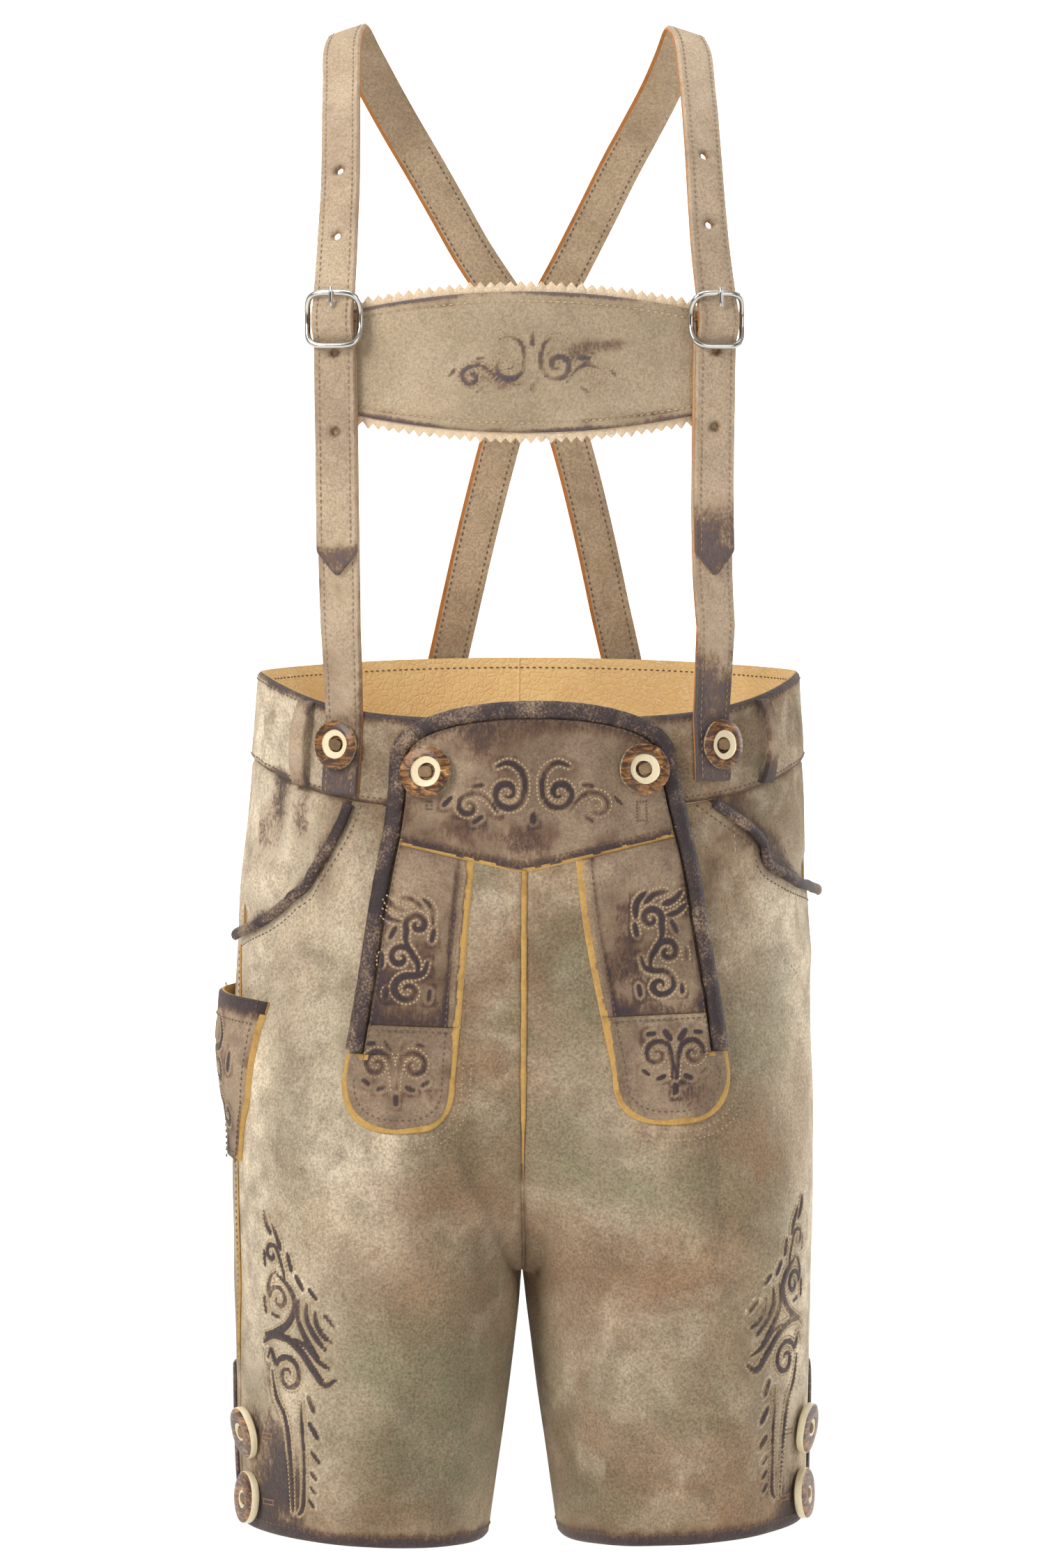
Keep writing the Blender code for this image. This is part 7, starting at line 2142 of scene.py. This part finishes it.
def welts():
    """Bare cut edges that stand up along the centre front and the side seams."""
    height = spread(-93.0, -243.0, 1.5)
    lift = flap_lift(height) + LEATHER
    turn = turn_at(section("sway", height) + section("seam_shift", height) + 0.4, height, lift)
    fade = 1 - 0.85 * ease((-200 - height) / 40)
    rag = 1 + 0.12 * np.sin(height / 2.3) * np.sin(height / 7.1)
    bead("centre_front_welt", skin(turn, height, lift + 0.3 * fade), body_normal(turn, height),
         (1.35 * fade * rag, 0.9 * fade * rag), 10, RAW_EDGE)
    for end, turn, top, shift in (("front", 0.0, -236.0, 1), ("back", math.pi, -50.0, 0)):
        height = spread(top, CROTCH + 1.0, 1.5)
        line = body(turn, height, LEATHER - 0.6)
        line[:, 0] = section("sway", height) + shift * section("seam_shift", height)
        facing = np.broadcast_to([0.0, -1.0 if shift else 1.0, 0.0], line.shape)
        bead("centre_" + end + "_seam", line, facing, (0.8, 0.6), 8, BODY_SUEDE, 0.4)
    height = spread(float(band_top(math.pi)) - 0.4, float(band_foot(math.pi)) + 0.4, 1.5)
    bead("waistband_back_join", body(math.pi, height, 0.0, folds=False), body_normal(math.pi, height),
         (0.7, 0.35), 8, LINING)
    for side in SIDES:
        height = spread(POCKET_FOOT[side] - 4.0, WELT_FOOT, 1.8)
        turn = side * (seam_turn(side, height) + 0.004)
        rag = 0.8 + 0.3 * np.sin(height / 19 + side) + 0.1 * np.sin(height / 2.9)
        bead("side_welt_" + SIDES[side], skin(turn, height, LEATHER + 0.15), body_normal(turn, height),
             (1.15 * rag, 0.9 * rag), 8, RAW_EDGE)
        height = spread(WELT_FOOT + 4.0, HEM_HEIGHT + 1.5, 1.8)
        turn = side * (seam_turn(side, height) + 0.004)
        bead("side_seam_" + SIDES[side], skin(turn, height, LEATHER - 0.6), body_normal(turn, height),
             (0.9, 0.62), 8, BODY_SUEDE, 0.5)


# ---- making everything ---------------------------------------------------------------------------
def dress():
    """Make every piece."""
    strap_lines = []
    for name, turn in BELT_LOOP_TURNS.items():
        belt_loop(name, turn)
    for side in SIDES:
        pocket_roll(side)
        front_panel(side)
        back_panel(side)
        hip_facing(side)
        waistband(side)
        side_strip(side)
        strip_foot(side)
        hem_tab(side)
        buckle(side)
        strap_lines += lower_strap(side) + shoulder_strap(side)
    inner_fly()
    drop_yoke()
    rolled_binding()
    knife_grid = knife_pocket()
    strap_lines += crossing_patch()
    chest_bar()
    pinked_backing()
    buttons()
    welts()
    sewing(strap_lines, knife_grid)


# ---- stage ---------------------------------------------------------------------------------------
VIEW_DISTANCE = 3200.0
VIEW_SIDE = math.radians(-3.0)     # the camera stands this far round to the wearer's right
VIEW_HEIGHT = 93.0
AIM = (0.0, 0.0, -56.0)
PICTURE_TALL = 2250 * 0.345        # millimetres seen from top to bottom at the aim's distance
FILM = 36.0
SHIFT_ACROSS = -0.004              # the picture is moved by this share of its size
FLOOR = -640.0
FLOOR_FRONT = -6400.0
BEND_START = 6200.0                # depth at which the floor turns up, and the turn's radius
BEND_RADIUS = 1200.0
WALL_TOP = 5200.0
PAPER_HALF = 8000.0
# Lamps: where each one is, what it looks at, its width and height, power and colour.
LAMPS = {
    "big_soft_window": ((-2050, -1950, 1500), (0, 0, -60), (1300, 1500), 86, "#FFFCF8"),
    "soft_fill": ((1500, -2700, 500), (0, 0, -80), (1600, 1600), 14, "#F8FAFF"),
    "top_soft_box": ((-200, 300, 2300), (0, 0, 0), (1800, 1800), 34, "#FFFFFF"),
    "right_rim": ((2300, 900, 500), (0, 0, -60), (900, 1800), 26, "#FFFFFF"),
    "backdrop_wash": ((0, 4300, 3200), (0, 7400, 300), (5000, 1200), 330, "#FFFFFF"),
}
SKY = 0.42
# Black cards off camera: centre, width, height and the angle they are turned by.
CARDS = {
    "black_card_at_the_camera": ((0, -3900, 0), 3600, 2600, 0.0),
    "black_flag_left": ((-900, -700, 250), 160, 1100, -0.9),
    "black_flag_right": ((900, -700, 250), 160, 1100, 0.9),
}


def pale_floor():
    """Floor and backdrop in one sweep: flat, then a quarter circle, then upright."""
    flat = spread(FLOOR_FRONT, BEND_START, 200)
    bend = np.linspace(0, math.pi / 2, 24)[1:]
    wall = np.linspace(FLOOR + BEND_RADIUS + 140, WALL_TOP, 12)
    depth = np.concatenate([flat, BEND_START + BEND_RADIUS * np.sin(bend),
                            np.full(len(wall), BEND_START + BEND_RADIUS)])
    height = np.concatenate([np.full(len(flat), FLOOR), FLOOR + BEND_RADIUS * (1 - np.cos(bend)), wall])
    across = np.linspace(-PAPER_HALF, PAPER_HALF, 12)[None, :]
    points = np.stack(np.broadcast_arrays(across, depth[:, None], height[:, None]), -1).reshape(-1, 3)
    made, tree, where = start("matt_white_paper")
    fleck = noise(tree, where, 60, 2)
    colour = mixed(tree, fleck, "#F4F3F1", "#EFEEEC")
    finish_off(made, tree, colour, None, Roughness=0.95, Specular_IOR_Level=0.1)
    mesh = bpy.data.meshes.new("paper_sweep")
    mesh.from_pydata((points * MM).tolist(), [], grid_cells(len(depth), 12).tolist())
    mesh.materials.append(made)
    mesh.shade_smooth()
    sweep = bpy.data.objects.new("paper_sweep", mesh)
    bpy.context.scene.collection.objects.link(sweep)


def aim(made, at, target):
    """Turn a lamp or the camera so that it looks from one place to another, upright."""
    at, target = np.array(at, float), np.array(target, float)
    back = unit(at - target)
    right = unit(np.cross([0.0, 0.0, 1.0], back))
    turn = np.stack([right, np.cross(back, right), back], 1)
    matrix = np.eye(4)
    matrix[:3, :3] = turn
    matrix[:3, 3] = at * MM
    made.matrix_world = Matrix(matrix.tolist())


def soft_lamp(name, at, target, size, power, colour):
    """A rectangular lamp that isn't seen itself."""
    lamp = bpy.data.lights.new(name, "AREA")
    lamp.shape = "RECTANGLE"
    lamp.size, lamp.size_y = size[0] * MM, size[1] * MM
    lamp.energy = power
    lamp.color = linear(colour)[:3]
    made = bpy.data.objects.new(name, lamp)
    made.visible_camera = False
    bpy.context.scene.collection.objects.link(made)
    aim(made, at, target)


def dark_card(name, centre, wide, tall, turned):
    """A black card off camera: it takes light away and gives the nickel something dark to mirror."""
    side_way = np.array([math.cos(turned), math.sin(turned), 0.0]) * wide / 2
    up_way = np.array([0.0, 0.0, tall / 2])
    corners = centre + np.array([-side_way - up_way, side_way - up_way, side_way + up_way, up_way - side_way])
    card = add_mesh(name, corners, np.array([[0, 1, 2, 3]]), [0], [BLACK_CARD])
    card.visible_camera = False


def studio():
    """White surroundings, the lamps and cards, and the camera in front."""
    pale_floor()
    for name, lamp in LAMPS.items():
        soft_lamp(name, *lamp)
    for name, card in CARDS.items():
        dark_card(name, *card)
    world = bpy.data.worlds.new("white_studio")
    world.use_nodes = True
    sky = world.node_tree.nodes["Background"].inputs
    sky["Color"].default_value = linear("#FFFFFF")
    sky["Strength"].default_value = SKY
    bpy.context.scene.world = world
    lens = bpy.data.cameras.new("front_view")
    eye = (VIEW_DISTANCE * math.sin(VIEW_SIDE), -VIEW_DISTANCE * math.cos(VIEW_SIDE), VIEW_HEIGHT)
    lens.sensor_fit = "VERTICAL"
    lens.sensor_height = FILM
    lens.lens = FILM * math.dist(eye, AIM) / PICTURE_TALL
    lens.shift_x = SHIFT_ACROSS
    lens.clip_end = 40.0
    camera = bpy.data.objects.new("front_view", lens)
    bpy.context.scene.collection.objects.link(camera)
    aim(camera, eye, AIM)
    bpy.context.scene.camera = camera
    bpy.context.scene.view_settings.view_transform = "Standard"


dress()
studio()
